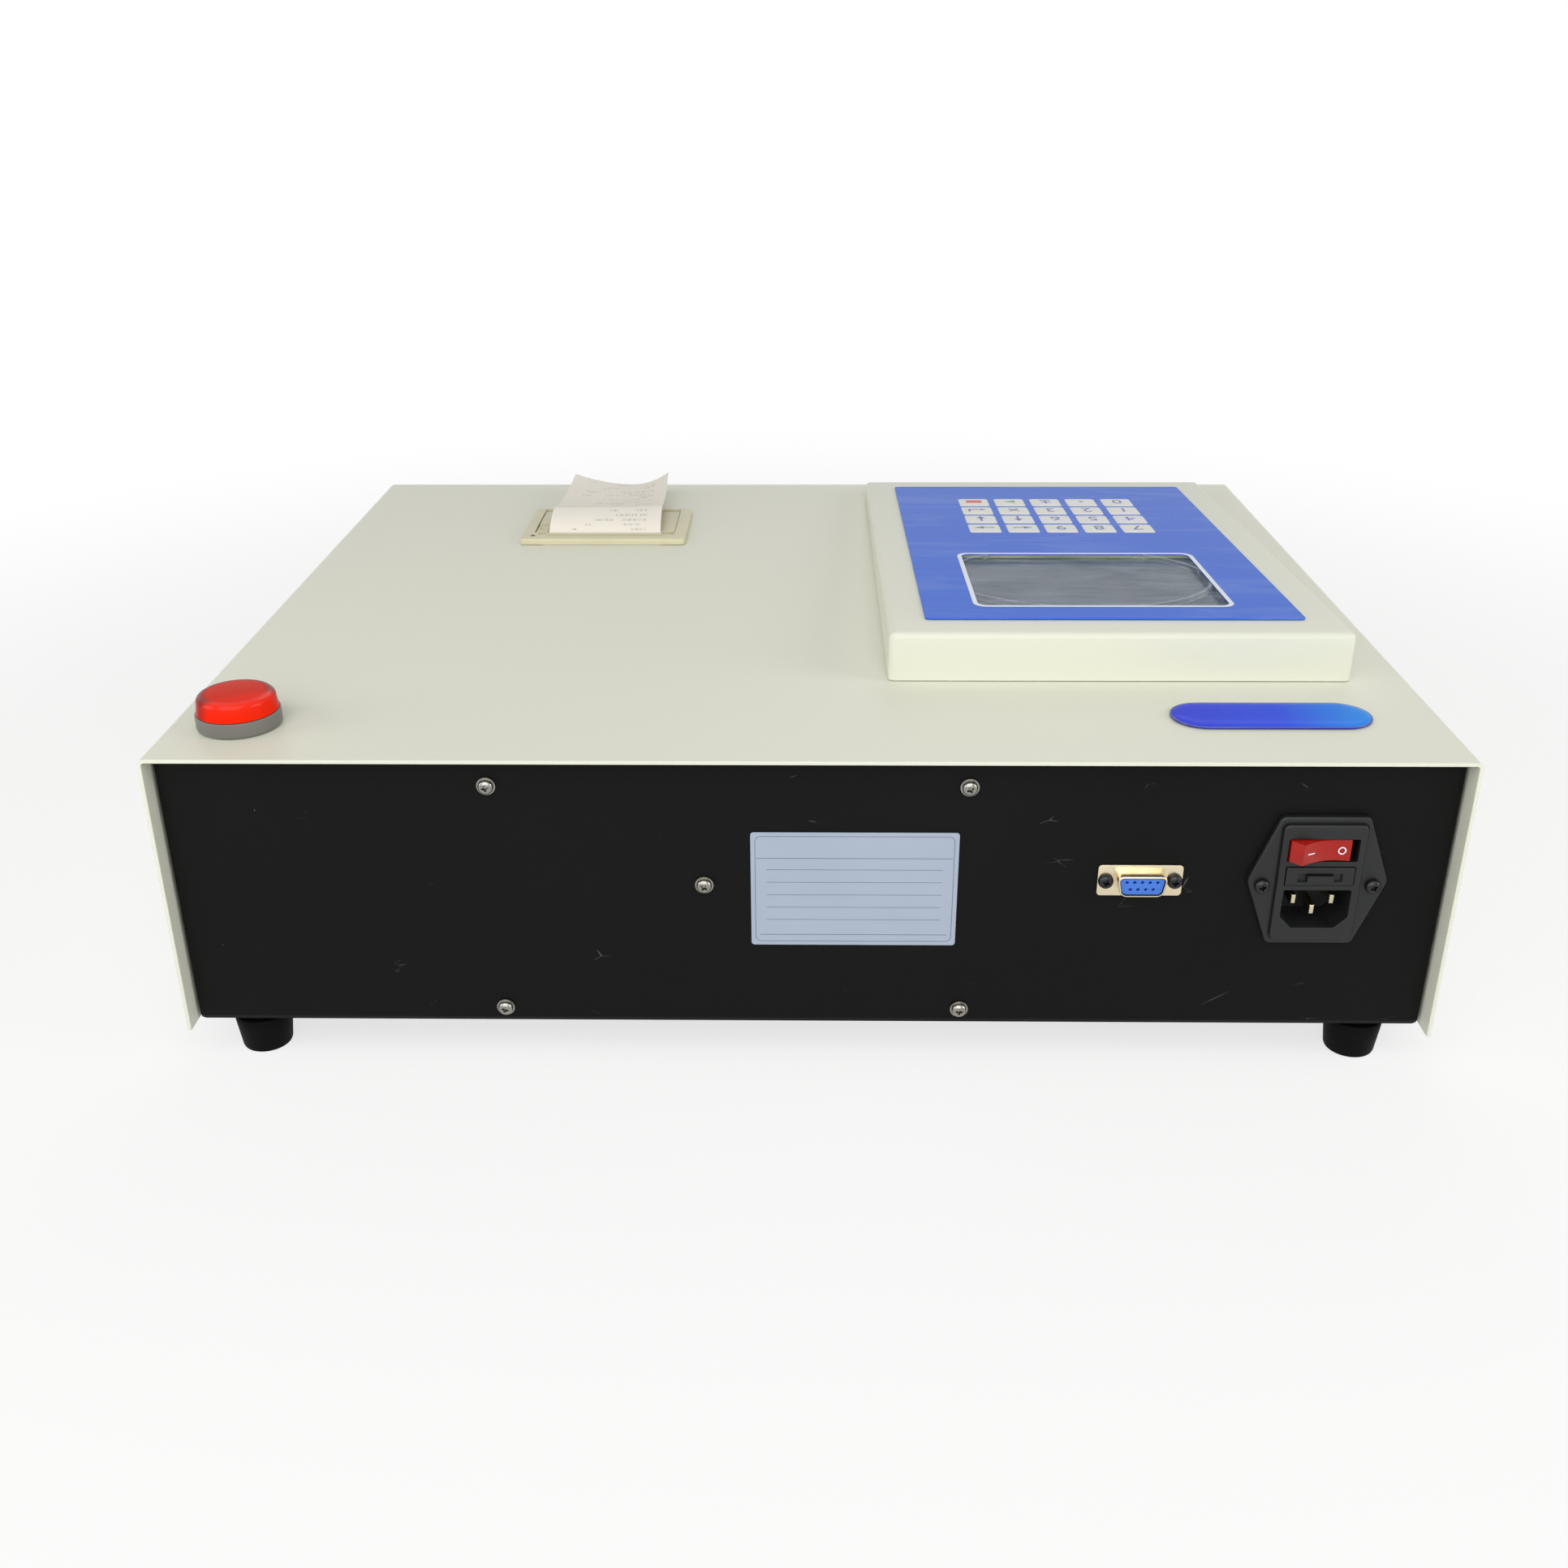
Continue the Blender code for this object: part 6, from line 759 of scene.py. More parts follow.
class ANALYSER_OT_case(Operator):
    """Folded lid, tray and rubber feet"""
    bl_idname = "analyser.case"
    bl_label = "Case"

    def execute(self, context):
        sizes = context.scene.analyser.case
        low, high = COVER_LOW, COVER_HIGH
        inner = sizes.sheet
        shape = new(slab, ((low.x, low.z), (low.x, high.z), (high.x, high.z), (high.x, low.z),
                           (high.x - inner, low.z), (high.x - inner, high.z - inner),
                           (low.x + inner, high.z - inner), (low.x + inner, low.z)),
                    low.y, high.y, "Y")
        for level, radius in ((high.z, sizes.fold), (high.z - inner, sizes.fold - inner)):
            round_edges(shape, lambda a, b: near(a.co.z, level) and near(b.co.z, level)
                        and near(a.co.x, b.co.x), radius, 6)
        sheet = (high.z - 0.004, high.z + 0.002)
        bezel, console, lamp = (centre(name) for name in ("printer_bezel", "console_housing",
                                                          "lamp_base"))
        holes = new(pad, (bezel.x, bezel.y - 0.0021), (0.0770, 0.0542), 0.0015, *sheet)
        pad(holes, (console.x, console.y), (0.120, 0.150), sizes.fold, *sheet)
        disc(holes, 0.0085, *sheet, (lamp.x, lamp.y, 0.0), steps=48)
        # Clearance holes of M3 screws and studs
        screw = 0.0018
        first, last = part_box("console_housing")
        for x in (first.x + 0.009, last.x - 0.009):
            for y in (first.y + 0.014, last.y - 0.014):
                disc(holes, screw, *sheet, (x, y, 0.0))
        for node in ("cover_screw_left_front", "cover_screw_left_rear"):
            spot = centre(node)
            for x in (low.x, high.x):
                disc(holes, screw, -0.004, 0.004, (x, spot.y, spot.z), "X")
        finish("cover_lid", carved(shape, holes), "cover", "case", "top_cover", edge=sizes.edge)
        dress("panel", "chassis_tray")

        for name in ("rear_left", "rear_right", "front_left", "front_right"):
            middle, half = extent(f"foot_{name}")
            wide, top = half.x, middle.z + half.z
            shape = new(lathe, (
                (0.0, top), (0.002, top), (0.002, 0.0177), (wide - 0.0025, 0.0177),
                (wide - 0.0025, 0.0150), (wide - 0.0009, 0.0150), (wide - 0.0003, 0.0147),
                (wide, 0.0140), (wide - 0.0002, 0.0120), (wide - 0.0015, 0.0010),
                (wide - 0.0018, 0.0003), (wide - 0.0025, 0.0), (0.0056, 0.0),
                (0.0053, 0.0004), (0.0047, 0.0004), (0.0044, 0.0), (0.0, 0.0)),
                (middle.x, middle.y, 0.0), steps=48)
            finish(f"rubber_foot_{name}", shape, "rubber", "case", f"foot_{name}")
        return {"FINISHED"}


class ANALYSER_OT_screws(Operator):
    """Cross-head screws of panel, sides, inlet and serial socket"""
    bl_idname = "analyser.screws"
    bl_label = "Screws"

    def execute(self, context):
        # Finish, height of the washer under the head, and the screws
        kinds = (
            ("zinc", 0.0005, ("rear_screw_top_left", "rear_screw_top_right",
                              "rear_screw_bottom_left", "rear_screw_bottom_right",
                              "rear_screw_middle")),
            ("zinc", 0.0, ("cover_screw_left_front", "cover_screw_left_rear",
                           "cover_screw_right_front", "cover_screw_right_rear")),
            ("black steel", 0.0, ("inlet_screw_left", "inlet_screw_right",
                                  "serial_screw_left", "serial_screw_right")))
        for look, washer, nodes in kinds:
            for number, node in enumerate(nodes):
                middle, half = extent(node)
                if half.y > half.x:
                    turn = Matrix.Rotation(-math.pi / 2, 4, "X")
                    top = Vector((middle.x, middle.y + half.y, middle.z))
                    reach = 2 * half.y
                else:
                    side = 1 if middle.x > 0.0 else -1
                    turn = Matrix.Rotation(side * math.pi / 2, 4, "Y")
                    top = Vector((middle.x + side * half.x, middle.y, middle.z))
                    reach = 2 * half.x
                # Each is left at an angle of its own
                spun = Matrix.Rotation(0.5 + 1.3 * number, 4, "Z")
                shape = self.screw(reach, washer)
                place(shape, Matrix.Translation(top) @ turn @ spun)
                finish(f"{node}_head", shape, look, "case", node)
        return {"FINISHED"}

    def screw(self, reach, washer):
        """Pan head of an M3 screw with a cross recess, its top at zero and its shank downwards."""
        head, height, shank = 0.0028, 0.0021, 0.0015
        profile = [(0.0, 0.0), (0.45 * head, -0.04 * height), (0.75 * head, -0.16 * height),
                   (0.93 * head, -0.38 * height), (head, -0.68 * height), (head, -height)]
        low = -height
        if washer:
            profile += [(head * 1.21, low), (head * 1.23, low - washer * 0.3),
                        (head * 1.23, low - washer)]
            low -= washer
        profile += [(shank, low), (shank, -reach + shank * 0.6), (shank * 0.5, -reach),
                    (0.0, -reach)]
        shape = new(lathe, profile, (0.0, 0.0, 0.0), steps=32)
        long, wide, core = 0.66 * head, 0.13 * head, 0.24 * head
        outline = []
        for turn in range(4):
            c, s = math.cos(turn * math.pi / 2), math.sin(turn * math.pi / 2)
            outline += [(u * c - v * s, u * s + v * c)
                        for u, v in ((long, -wide), (long, wide), (core, core))]
        cross = new(slab, outline, -0.62 * height, 0.5 * height)
        foot = [vert for vert in cross.verts if vert.co.z < 0.0]
        bmesh.ops.scale(cross, vec=(0.45, 0.45, 1.0), verts=foot)
        return carved(shape, cross)


class ANALYSER_OT_label(Operator):
    """Blank rating label with its border and rules"""
    bl_idname = "analyser.label"
    bl_label = "Rating label"

    def execute(self, context):
        low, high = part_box("rating_label")
        x, z = centre("rating_label").xz
        wide, tall = (high - low).xz
        shape = new(pad, (x, z), (wide, tall), 0.0012, low.y, high.y, "Y")
        finish("label_film", shape, "label", "case", "rating_label")

        face, ink, margin, line = high.y, 0.00002, 0.0030, 0.00046
        border = new(pad, (x, z), (wide - margin, tall - margin), 0.0022, face, face + ink, "Y")
        inside = margin + line
        hole = new(pad, (x, z), (wide - inside, tall - inside), 0.0020, face - ink,
                   face + 2 * ink, "Y")
        border = carved(border, hole)
        # Two bold rules, and five fine ones 5.2 mm apart
        rules = [(0.0129, 0.0357, 0.00012), (-0.0190, 0.0345, 0.00012)]
        rules += [(0.0082 - row * 0.0052, 0.0320, 0.00009) for row in range(5)]
        for rise, half, bold in rules:
            cube(border, (x - half, face, z + rise - bold),
                 (x + half, face + ink, z + rise + bold))
        finish("label_rules", border, "label ink", "case", slot="label_film")
        return {"FINISHED"}


class ANALYSER_OT_inlet(Operator):
    """Mains inlet: flange, rim, mouth, blades, switch and fuse drawer"""
    bl_idname = "analyser.inlet"
    bl_label = "Mains inlet"

    def execute(self, context):
        middle, half = extent("inlet_housing")
        x, z = middle.x, middle.z
        face, back = middle.y + half.y, PANEL + SEAT
        flange, over = back + 0.0024, face + 0.003
        # The flange and rim stand taller above the switch than below the mouth
        crown, corner = 0.0032, 0.0157
        side, top, foot = z + crown / 2, z + half.z + crown, z - half.z
        rim = ((x, side), (0.0300, 0.0436 + crown), 0.0022)
        plate = new(slab, ((x + half.x, side), (x + corner, top), (x - corner, top),
                           (x - half.x, side), (x - corner, foot), (x + corner, foot)),
                    back, flange, "Y")
        round_along(plate, "Y", 0.0016, 4)
        round_level(plate, "Y", flange, 0.0007, 3)
        raised = new(pad, *rim, back + 0.0010, face, "Y")
        round_level(raised, "Y", face, 0.0006, 3)
        body = new(pad, (x, z), (0.0264, 0.0446), 0.0015, PANEL - 0.0300, back + 0.0010, "Y")
        for part in (raised, body):
            plate = carved(plate, part, "UNION")

        # Mouth with two cut corners, at the size that the standard gives
        wide, tall, cut, drop = 0.01225, 0.0078, 0.0044, z - 0.0090
        mouth = new(slab, ((x + wide, drop + tall), (x - wide, drop + tall),
                           (x - wide, drop - tall + cut), (x - wide + cut, drop - tall),
                           (x + wide - cut, drop - tall), (x + wide, drop - tall + cut)),
                    face - 0.0165, over, "Y")
        round_along(mouth, "Y", 0.0006, 3)
        plate = carved(plate, mouth)
        # Openings of the fuse drawer and the switch
        cutter = new(pad, (x, z + 0.0046), (0.0250, 0.0078), 0.0004, face - 0.0220, over, "Y", 2)
        pad(cutter, (x, z + 0.0149), (0.0252, 0.0090), 0.0005, face - 0.0130, over, "Y", 2)
        plate = carved(plate, cutter)
        # Groove that the rim's core leaves round it
        groove = new(pad, (x, side), (0.0308, 0.0444 + crown), 0.0025, flange - 0.0004,
                     flange + 0.0001, "Y")
        core = new(pad, *rim, flange - 0.0010, flange + 0.0010, "Y")
        plate = carved(plate, carved(groove, core))
        finish("inlet_moulding", plate, "nylon", "case", "inlet_housing", edge=0.00022)

        blades = bmesh.new()
        for dx, dz, tip in ((0.0, -0.0110, 0.0032), (-0.0070, -0.0070, 0.0038),
                            (0.0070, -0.0070, 0.0038)):
            cube(blades, (x + dx - 0.0010, PANEL - 0.0380, z + dz - 0.0020),
                 (x + dx + 0.0010, face - tip, z + dz + 0.0020))
        round_edges(blades, lambda a, b: a.co.y > PANEL and b.co.y > PANEL, 0.0006, 3)
        finish("inlet_blades", blades, "tinned brass", "case", slot="brass", edge=0.0001)
        self.rocker(x, face)
        self.fuse_drawer(face + SEAT)
        return {"FINISHED"}

    def rocker(self, x, face):
        """Red paddle, its off end pressed in, with its two marks."""
        spot = Matrix.Translation((x, face - 0.0012, centre("power_rocker").z)) \
            @ Matrix.Rotation(math.radians(13), 4, "Z")
        half, ridge, crest, hollow, keel = 0.0121, 0.0092, 0.00327, 0.0021, 0.0074
        skirt = [(-half, -0.0008), (-half + 0.0004, -0.0030)]
        under = [(keel * math.cos(a), keel * math.sin(a))
                 for a in (math.pi * (7 / 6 + 4 / 6 * i / 8) for i in range(9))]
        dip = [(ridge * (1 - i / 5), crest - hollow * math.sin(math.pi / 2 * i / 5))
               for i in range(11)]
        shape = new(slab, [(half, -0.0008), *dip, *skirt, *under, (half - 0.0004, -0.0030)],
                    -0.0042, 0.0042)
        round_edges(shape, lambda a, b: near(a.co.z, b.co.z) and min(a.co.y, b.co.y) > -0.001,
                    0.00035, 2)
        place(shape, spot)
        finish("rocker_paddle", shape, "rocker", "rocker", "power_rocker")

        ink, slope = 0.00012, 0.20
        lift = crest - hollow * math.sin(math.pi / 2 * 0.35) + 0.00005
        marks = bmesh.new()
        ring = new(lathe, ((0.00105, 0.0), (0.00150, 0.0), (0.00150, ink), (0.00105, ink),
                           (0.00105, 0.0)), (0.0, 0.0, 0.0), "Y", 32)
        bar = new(cube, (-0.0014, 0.0, -0.00022), (0.0014, ink, 0.00022))
        for mark, along, rise, lean in ((ring, -0.0062, lift + 0.00015, -slope),
                                        (bar, 0.0058, lift + 0.00005, slope)):
            place(mark, Matrix.Translation((along, rise, 0.0)) @ Matrix.Rotation(lean, 4, "Z"))
            merge(marks, mark)
        place(marks, spot)
        finish("rocker_marks", marks, "white ink", "rocker", slot="red_plastic")

    def fuse_drawer(self, face):
        """Drawer front with its finger recess and grip, and the fuse pockets behind."""
        low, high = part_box("fuse_drawer")
        x, z = centre("fuse_drawer").xz
        shape = new(cube, low, (high.x, face, high.z))
        cutter = new(cube, (x - 0.0080, face - 0.0011, z - 0.0022),
                     (x + 0.0080, face + 0.001, z + 0.0011))
        pocket, pitch = 0.0058, 0.0068
        for row in range(2):
            y = face - 0.0023 - pocket / 2 - row * pitch
            cube(cutter, (x - 0.0103, y - pocket / 2, high.z - pocket),
                 (x + 0.0103, y + pocket / 2, high.z + 0.002))
        shape = carved(shape, cutter)
        grip = new(cube, (x - 0.0048, face - 0.0020, z - 0.0017), (x + 0.0048, high.y, z + 0.0006))
        shape = carved(shape, grip, "UNION")
        finish("fuse_drawer_moulding", shape, "nylon", "fuse_carrier", "fuse_drawer", edge=0.00018)

        middle, half = extent("fuse")
        radius, cap, wall = half.y, 0.005, 0.0002
        caps = bmesh.new()
        for side in (-1, 1):
            tip, end = side * half.x, side * (half.x - cap)
            lathe(caps, ((0.0, tip), (radius - 0.0003, tip), (radius, tip - side * 0.0003),
                         (radius, end), (radius - wall, end), (0.0, end)), middle, "X", 32)
        inside = half.x - cap + 0.0001
        glass = new(disc, radius - wall, -inside, inside, middle, "X", 32)
        finish("fuse_caps", caps, "nickel", "fuse_carrier", "fuse")
        finish("fuse_glass", glass, "pane", "fuse_carrier", slot="clear_acrylic")


class ANALYSER_OT_serial(Operator):
    """Nine-way socket: drawn shell and blue insert"""
    bl_idname = "analyser.serial"
    bl_label = "Serial socket"

    def execute(self, context):
        low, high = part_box("serial_shell")
        x, z = centre("serial_shell").xz
        back, face = low.y, high.y
        lean = math.tan(math.radians(10))

        def d_shape(width, height, start, end, radius):
            """D-shaped column, its wide side up."""
            top, bottom = width / 2 + lean * height / 2, width / 2 - lean * height / 2
            made = new(slab, ((x - bottom, z - height / 2), (x + bottom, z - height / 2),
                              (x + top, z + height / 2), (x - top, z + height / 2)),
                       start, end, "Y")
            round_along(made, "Y", radius, 6)
            return made

        plate = new(pad, (x, z), (high.x - low.x, high.z - low.z), 0.0014, back, back + 0.0008,
                    "Y")
        round_level(plate, "Y", back + 0.0008, 0.0002, 2)
        shell = d_shape(0.0170, 0.0084, back + 0.0004, face, 0.0024)
        round_level(shell, "Y", face, 0.0005, 4)
        plate = carved(plate, shell, "UNION")
        # Drawn root of the shell, wider where it meets the flange
        for grow, depth in ((0.0016, 0.0013), (0.0009, 0.0017), (0.0004, 0.0022)):
            plate = carved(plate, d_shape(0.0170 + grow, 0.0084 + grow, back + 0.0004,
                                          back + depth, 0.0026), "UNION")
        plate = carved(plate, d_shape(0.0158, 0.0072, back - 0.003, face + 0.003, 0.0018))
        # Holes of the jack screws, 25 mm apart
        holes = bmesh.new()
        for side in (-1, 1):
            disc(holes, 0.0018, -0.004, 0.004, (x + side * 0.0125, back, z), "Y")
        finish("serial_shell_drawn", carved(plate, holes), "nickel", "case", "serial_shell")

        low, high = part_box("serial_insert")
        front = high.y
        insert = d_shape(0.0152, 0.0066, back - 0.0005, front, 0.0016)
        round_level(insert, "Y", front, 0.0002, 2)
        behind = new(pad, (x, z), (high.x - low.x, high.z - low.z), 0.0012, low.y,
                     back - 0.0003, "Y")
        insert = carved(insert, behind, "UNION")
        # Contact holes in two rows, at the socket's standard pitches
        pitch, row_pitch = 0.00277, 0.00284
        hole = ((0.0, 0.001), (0.0012, 0.001), (0.0008, 0.0), (0.00055, -0.0003),
                (0.00055, -0.003), (0.0, -0.003))
        cutter = bmesh.new()
        for count, side in ((5, 0.5), (4, -0.5)):
            for i in range(count):
                lathe(cutter, hole, (x + (i - (count - 1) / 2) * pitch, front,
                                     z + side * row_pitch), "Y", 20)
        finish("serial_insert_moulding", carved(insert, cutter), "blue insert", "case",
               "serial_insert")
        return {"FINISHED"}


class ANALYSER_OT_lamp(Operator):
    """Warning lamp: grey base with a slit stem, and the red lens cup"""
    bl_idname = "analyser.lamp"
    bl_label = "Warning lamp"

    def execute(self, context):
        middle, half = extent("lamp_base")
        spot = Vector((middle.x, middle.y, DECK))
        wide, rise, stem = half.x, middle.z + half.z - DECK, DECK - middle.z + half.z
        base = new(lathe, (
            (0.0050, -stem), (0.0070, -stem), (0.0088, -0.0035), (0.0089, -0.0018),
            (0.0080, -0.0018), (0.0080, SEAT), (wide - 0.0008, SEAT), (wide - 0.0002, 0.0006),
            (wide, 0.0012), (wide, rise - 0.0003), (wide - 0.0003, rise), (wide - 0.0022, rise),
            (wide - 0.0024, rise - 0.0003), (wide - 0.0024, 0.0030), (0.0050, 0.0030),
            (0.0050, -stem)), spot)
        slit = new(cube, (spot.x - wide, spot.y - 0.0010, DECK - stem - 0.001),
                   (spot.x + wide, spot.y + 0.0010, DECK - 0.0003))
        finish("lamp_base_moulding", carved(base, slit), "grey", "case", "lamp_base")

        low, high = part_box("lamp_lens")
        wide = (high.x - low.x) / 2
        foot, top = low.z - DECK, high.z - DECK
        # The shoulder bends round one middle, outside and inside the wall
        bend, wall = 0.0026, 0.0016
        across, level = wide - 0.0006 - bend, top - 0.0004 - bend
        outer = [(across + bend * math.cos(a), level + bend * math.sin(a))
                 for a in (math.pi / 2 * i / 8 for i in range(9))]
        inner = [(across + (bend - wall) * math.cos(a), level + (bend - wall) * math.sin(a))
                 for a in (math.pi / 2 * (1 - i / 4) for i in range(5))]
        lens = new(lathe, (
            (wide, foot), (wide - 0.0002, foot + 0.0010), *outer, (0.6 * wide, top - 0.0002),
            (0.0, top), (0.0, top - wall), (across, level + bend - wall), *inner,
            (wide - wall, foot + 0.0010), (wide - wall, foot), (wide, foot)), spot)
        finish("lamp_lens_cup", lens, "lens", "case", "lamp_lens")
        dress("board", "lamp_led_board")
        return {"FINISHED"}


class ANALYSER_OT_badge(Operator):
    """Blank domed badge with a dark rim"""
    bl_idname = "analyser.badge"
    bl_label = "Badge"

    def execute(self, context):
        low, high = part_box("badge_plate")
        middle, half = extent("badge_plate")

        def pill(inset):
            """Outline inset from the badge's edge."""
            return rounded_ring(half.x - inset, half.y - inset, half.y - inset - 0.00002, 16)

        rim = high.z - 0.0006
        shape = new(loft, ((low.z, pill(0.0002)), (low.z + 0.0002, pill(0.0)),
                           (rim - 0.0002, pill(0.0)), (rim - 0.00004, pill(0.00008)),
                           (rim, pill(0.0003))), middle)
        finish("badge_rim", shape, "badge rim", "case", "badge_plate")

        # Resin dome: surface tension draws it up steeply at the edge and flat in the middle
        start, reach, root = 0.0007, 0.0016, rim + 0.00006
        levels = [(rim - 0.0003, pill(start)), (root, pill(start))]
        for inset in (0.0009, 0.0013, 0.0019, 0.0027, 0.0038, 0.0054, 0.0075, 0.0098):
            rise = 1.0 - math.exp(-(inset - start) / reach)
            levels.append((root + (high.z - root) * rise, pill(inset)))
        finish("badge_dome", new(loft, levels, middle), "badge", "case", slot="blue_resin")
        return {"FINISHED"}


class ANALYSER_OT_console(Operator):
    """Sloping hood, keypad film with its keys, and the display"""
    bl_idname = "analyser.console"
    bl_label = "Console"

    def execute(self, context):
        settings = context.scene.analyser
        sizes = settings.console
        low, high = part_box("console_housing")
        middle = centre("console_housing")
        rear, front, base = high.y, low.y, DECK + SEAT
        slope = math.atan2(sizes.rear - sizes.front, rear - front)
        lift = DECK + (sizes.rear + sizes.front) / 2
        # The slope's own axes: across, up the slope towards the rear, and out of it
        face = Matrix.Translation((middle.x, middle.y, lift)) @ Matrix.Rotation(slope, 4, "X")

        hood = new(slab, ((rear, base), (rear, DECK + sizes.rear), (front, DECK + sizes.front),
                          (front, base)), low.x, high.x, "X")
        floor = [f for f in hood.faces if all(near(v.co.z, base) for v in f.verts)]
        bmesh.ops.delete(hood, geom=floor, context="FACES_ONLY")
        round_edges(hood, lambda a, b: not (near(a.co.z, base) and near(b.co.z, base)),
                    settings.case.fold, 6)
        window = (0.0012, 0.0618), (0.1020, 0.0820)
        (u, v), (w, h) = window
        # The sheet is cut back behind the film, so that its edge stays hidden
        half_u, half_v = w / 2 + 0.0015, h / 2 + 0.0015
        for point, normal in (((u - half_u, v, 0.0), (1, 0, 0)), ((u + half_u, v, 0.0), (1, 0, 0)),
                              ((u, v - half_v, 0.0), (0, 1, 0)),
                              ((u, v + half_v, 0.0), (0, 1, 0))):
            bmesh.ops.bisect_plane(hood, geom=hood.verts[:] + hood.edges[:] + hood.faces[:],
                                   plane_co=face @ Vector(point),
                                   plane_no=face.to_3x3() @ Vector(normal))
        away = face.inverted()
        inside = []
        for item in hood.faces:
            spot = away @ item.calc_center_median()
            if near(spot.z, 0.0, 1e-4) and abs(spot.x - u) < half_u and abs(spot.y - v) < half_v:
                inside.append(item)
        bmesh.ops.delete(hood, geom=inside, context="FACES")
        finish("console_hood", hood, "cover", "case", "console_housing", edge=0.0003,
               thick=settings.case.sheet)
        self.film(sizes, face, window)
        self.keys(sizes, face)
        self.display(face, window)
        return {"FINISHED"}

    def film(self, sizes, face, window):
        """Blue film with its window, and the printed border round it."""
        middle, (w, h) = window
        low, high, ink = SEAT, 0.0008, 0.00006
        wide = 2 * sizes.border
        film = new(pad, (0.0, 0.0), (0.150, 0.242), 0.002, low, high)
        border = new(pad, middle, (w + wide, h + wide), 0.0055, high, high + ink, segments=8)
        for name, shape, look, nodes in (("keypad_film", film, "film", ["keypad_overlay"]),
                                         ("window_border", border, "white ink", [])):
            hole = new(pad, middle, (w, h), 0.004, -0.001, 0.002, segments=8)
            shape = carved(shape, hole)
            place(shape, face)
            finish(name, shape, look, "case", *nodes, slot="blue_film")

    def keys(self, sizes, face):
        """Twenty embossed keys, each a low pillow, and their legends."""
        rows = (("0", ".", "sign", "start", "stop"), ("1", "2", "3", "cross", "enter"),
                ("4", "5", "6", "up", "down"), ("7", "8", "9", "left", "right"))
        # Insets of a pillow's rings, and the shares of its rise at which they stand
        rings = ((0.0, -0.25), (0.0, 0.04), (0.0003, 0.24), (0.0008, 0.46), (0.0015, 0.66),
                 (0.0024, 0.82), (0.0036, 0.93), (0.0052, 1.0))
        pillows = bmesh.new()
        legends = {"legend": bmesh.new(), "red ink": bmesh.new(), "green ink": bmesh.new()}
        base, middle_v = 0.0008, -0.0550
        for row, labels in enumerate(rows):
            for column, label in enumerate(labels):
                u = (column - 2) * sizes.pitch_x
                v = middle_v + (row - 1.5) * sizes.pitch_y
                levels = [(base + sizes.rise * share,
                           rounded_ring(sizes.key_x / 2 - inset, sizes.key_y / 2 - inset,
                                        0.0013 + 0.1 * inset, 4)) for inset, share in rings]
                loft(pillows, levels, (u, v))
                ink = {"start": "green ink", "stop": "red ink"}.get(label, "legend")
                self.legend(legends[ink], label, u, v, base + sizes.rise, sizes.digit)
        place(pillows, face)
        finish("key_pillows", pillows, "key", "case", slot="blue_film")
        for ink, shape in legends.items():
            place(shape, face)
            finish(f"key_marks_{ink.split()[0]}", shape, ink, "case", slot="blue_film")

    def legend(self, shape, label, u, v, top, size):
        """One key's mark: a digit, or a plain icon drawn from strokes."""
        low, high = top - 0.00012, top + 0.00003
        stroke = size * 0.050
        if label.isdigit():
            spot = Matrix.Translation((u, v - size * 0.02, (low + high) / 2))
            lettered(shape, label, size, high - low, spot)
            return
        if label in ("left", "right", "up", "down"):
            reach = size * 0.42
            arrow = new(cube, (-reach, -stroke, low), (reach * 0.3, stroke, high))
            slab(arrow, ((reach * 0.10, -size * 0.20), (reach, 0.0),
                         (reach * 0.10, size * 0.20)), low, high)
            angle = {"right": 0.0, "up": 0.5, "left": 1.0, "down": 1.5}[label] * math.pi
            place(arrow, Matrix.Translation((u, v, 0.0)) @ Matrix.Rotation(angle, 4, "Z"))
            merge(shape, arrow)
            return
        reach = size * 0.24
        # Bars by their middle and half size, then filled shapes by their corners
        bars = {
            ".": ((0.0, 0.0, stroke * 1.8, stroke * 1.8),),
            "sign": ((0.0, reach * 0.5, reach, stroke), (0.0, reach * 0.5, stroke, reach),
                     (0.0, -reach * 1.1, reach, stroke)),
            "stop": ((0.0, 0.0, reach * 1.5, reach),),
            "enter": ((reach * 1.5, reach * 0.4, stroke, reach * 0.8),
                      (reach * 0.3, -reach * 0.4, reach * 1.3, stroke)),
        }.get(label, ())
        for cx, cy, half_x, half_y in bars:
            cube(shape, (u + cx - half_x, v + cy - half_y, low),
                 (u + cx + half_x, v + cy + half_y, high))
        corners = {"enter": ((-1.6, -0.4), (-0.7, -1.0), (-0.7, 0.2)),
                   "start": ((-1.0, -1.0), (1.2, 0.0), (-1.0, 1.0))}.get(label)
        if corners:
            slab(shape, [(u + x * reach, v + y * reach) for x, y in corners], low, high)
        if label == "cross":
            for angle in (math.pi / 4, -math.pi / 4):
                bar = new(cube, (-reach * 1.3, -stroke, low), (reach * 1.3, stroke, high))
                place(bar, Matrix.Translation((u, v, 0.0)) @ Matrix.Rotation(angle, 4, "Z"))
                merge(shape, bar)

    def display(self, face, window):
        """Clear pane over the liquid crystal glass, and the boards under them."""
        middle, (w, h) = window
        gap = 0.0006
        pane = new(pad, middle, (w - gap, h - gap), 0.0038, -0.0015, 0.00070, segments=8)
        place(pane, face)
        finish("window_pane", pane, "pane", "case", "display_window", edge=0.0001)
        dress("crystal", "display_module")
        dress("board", "keypad_board")


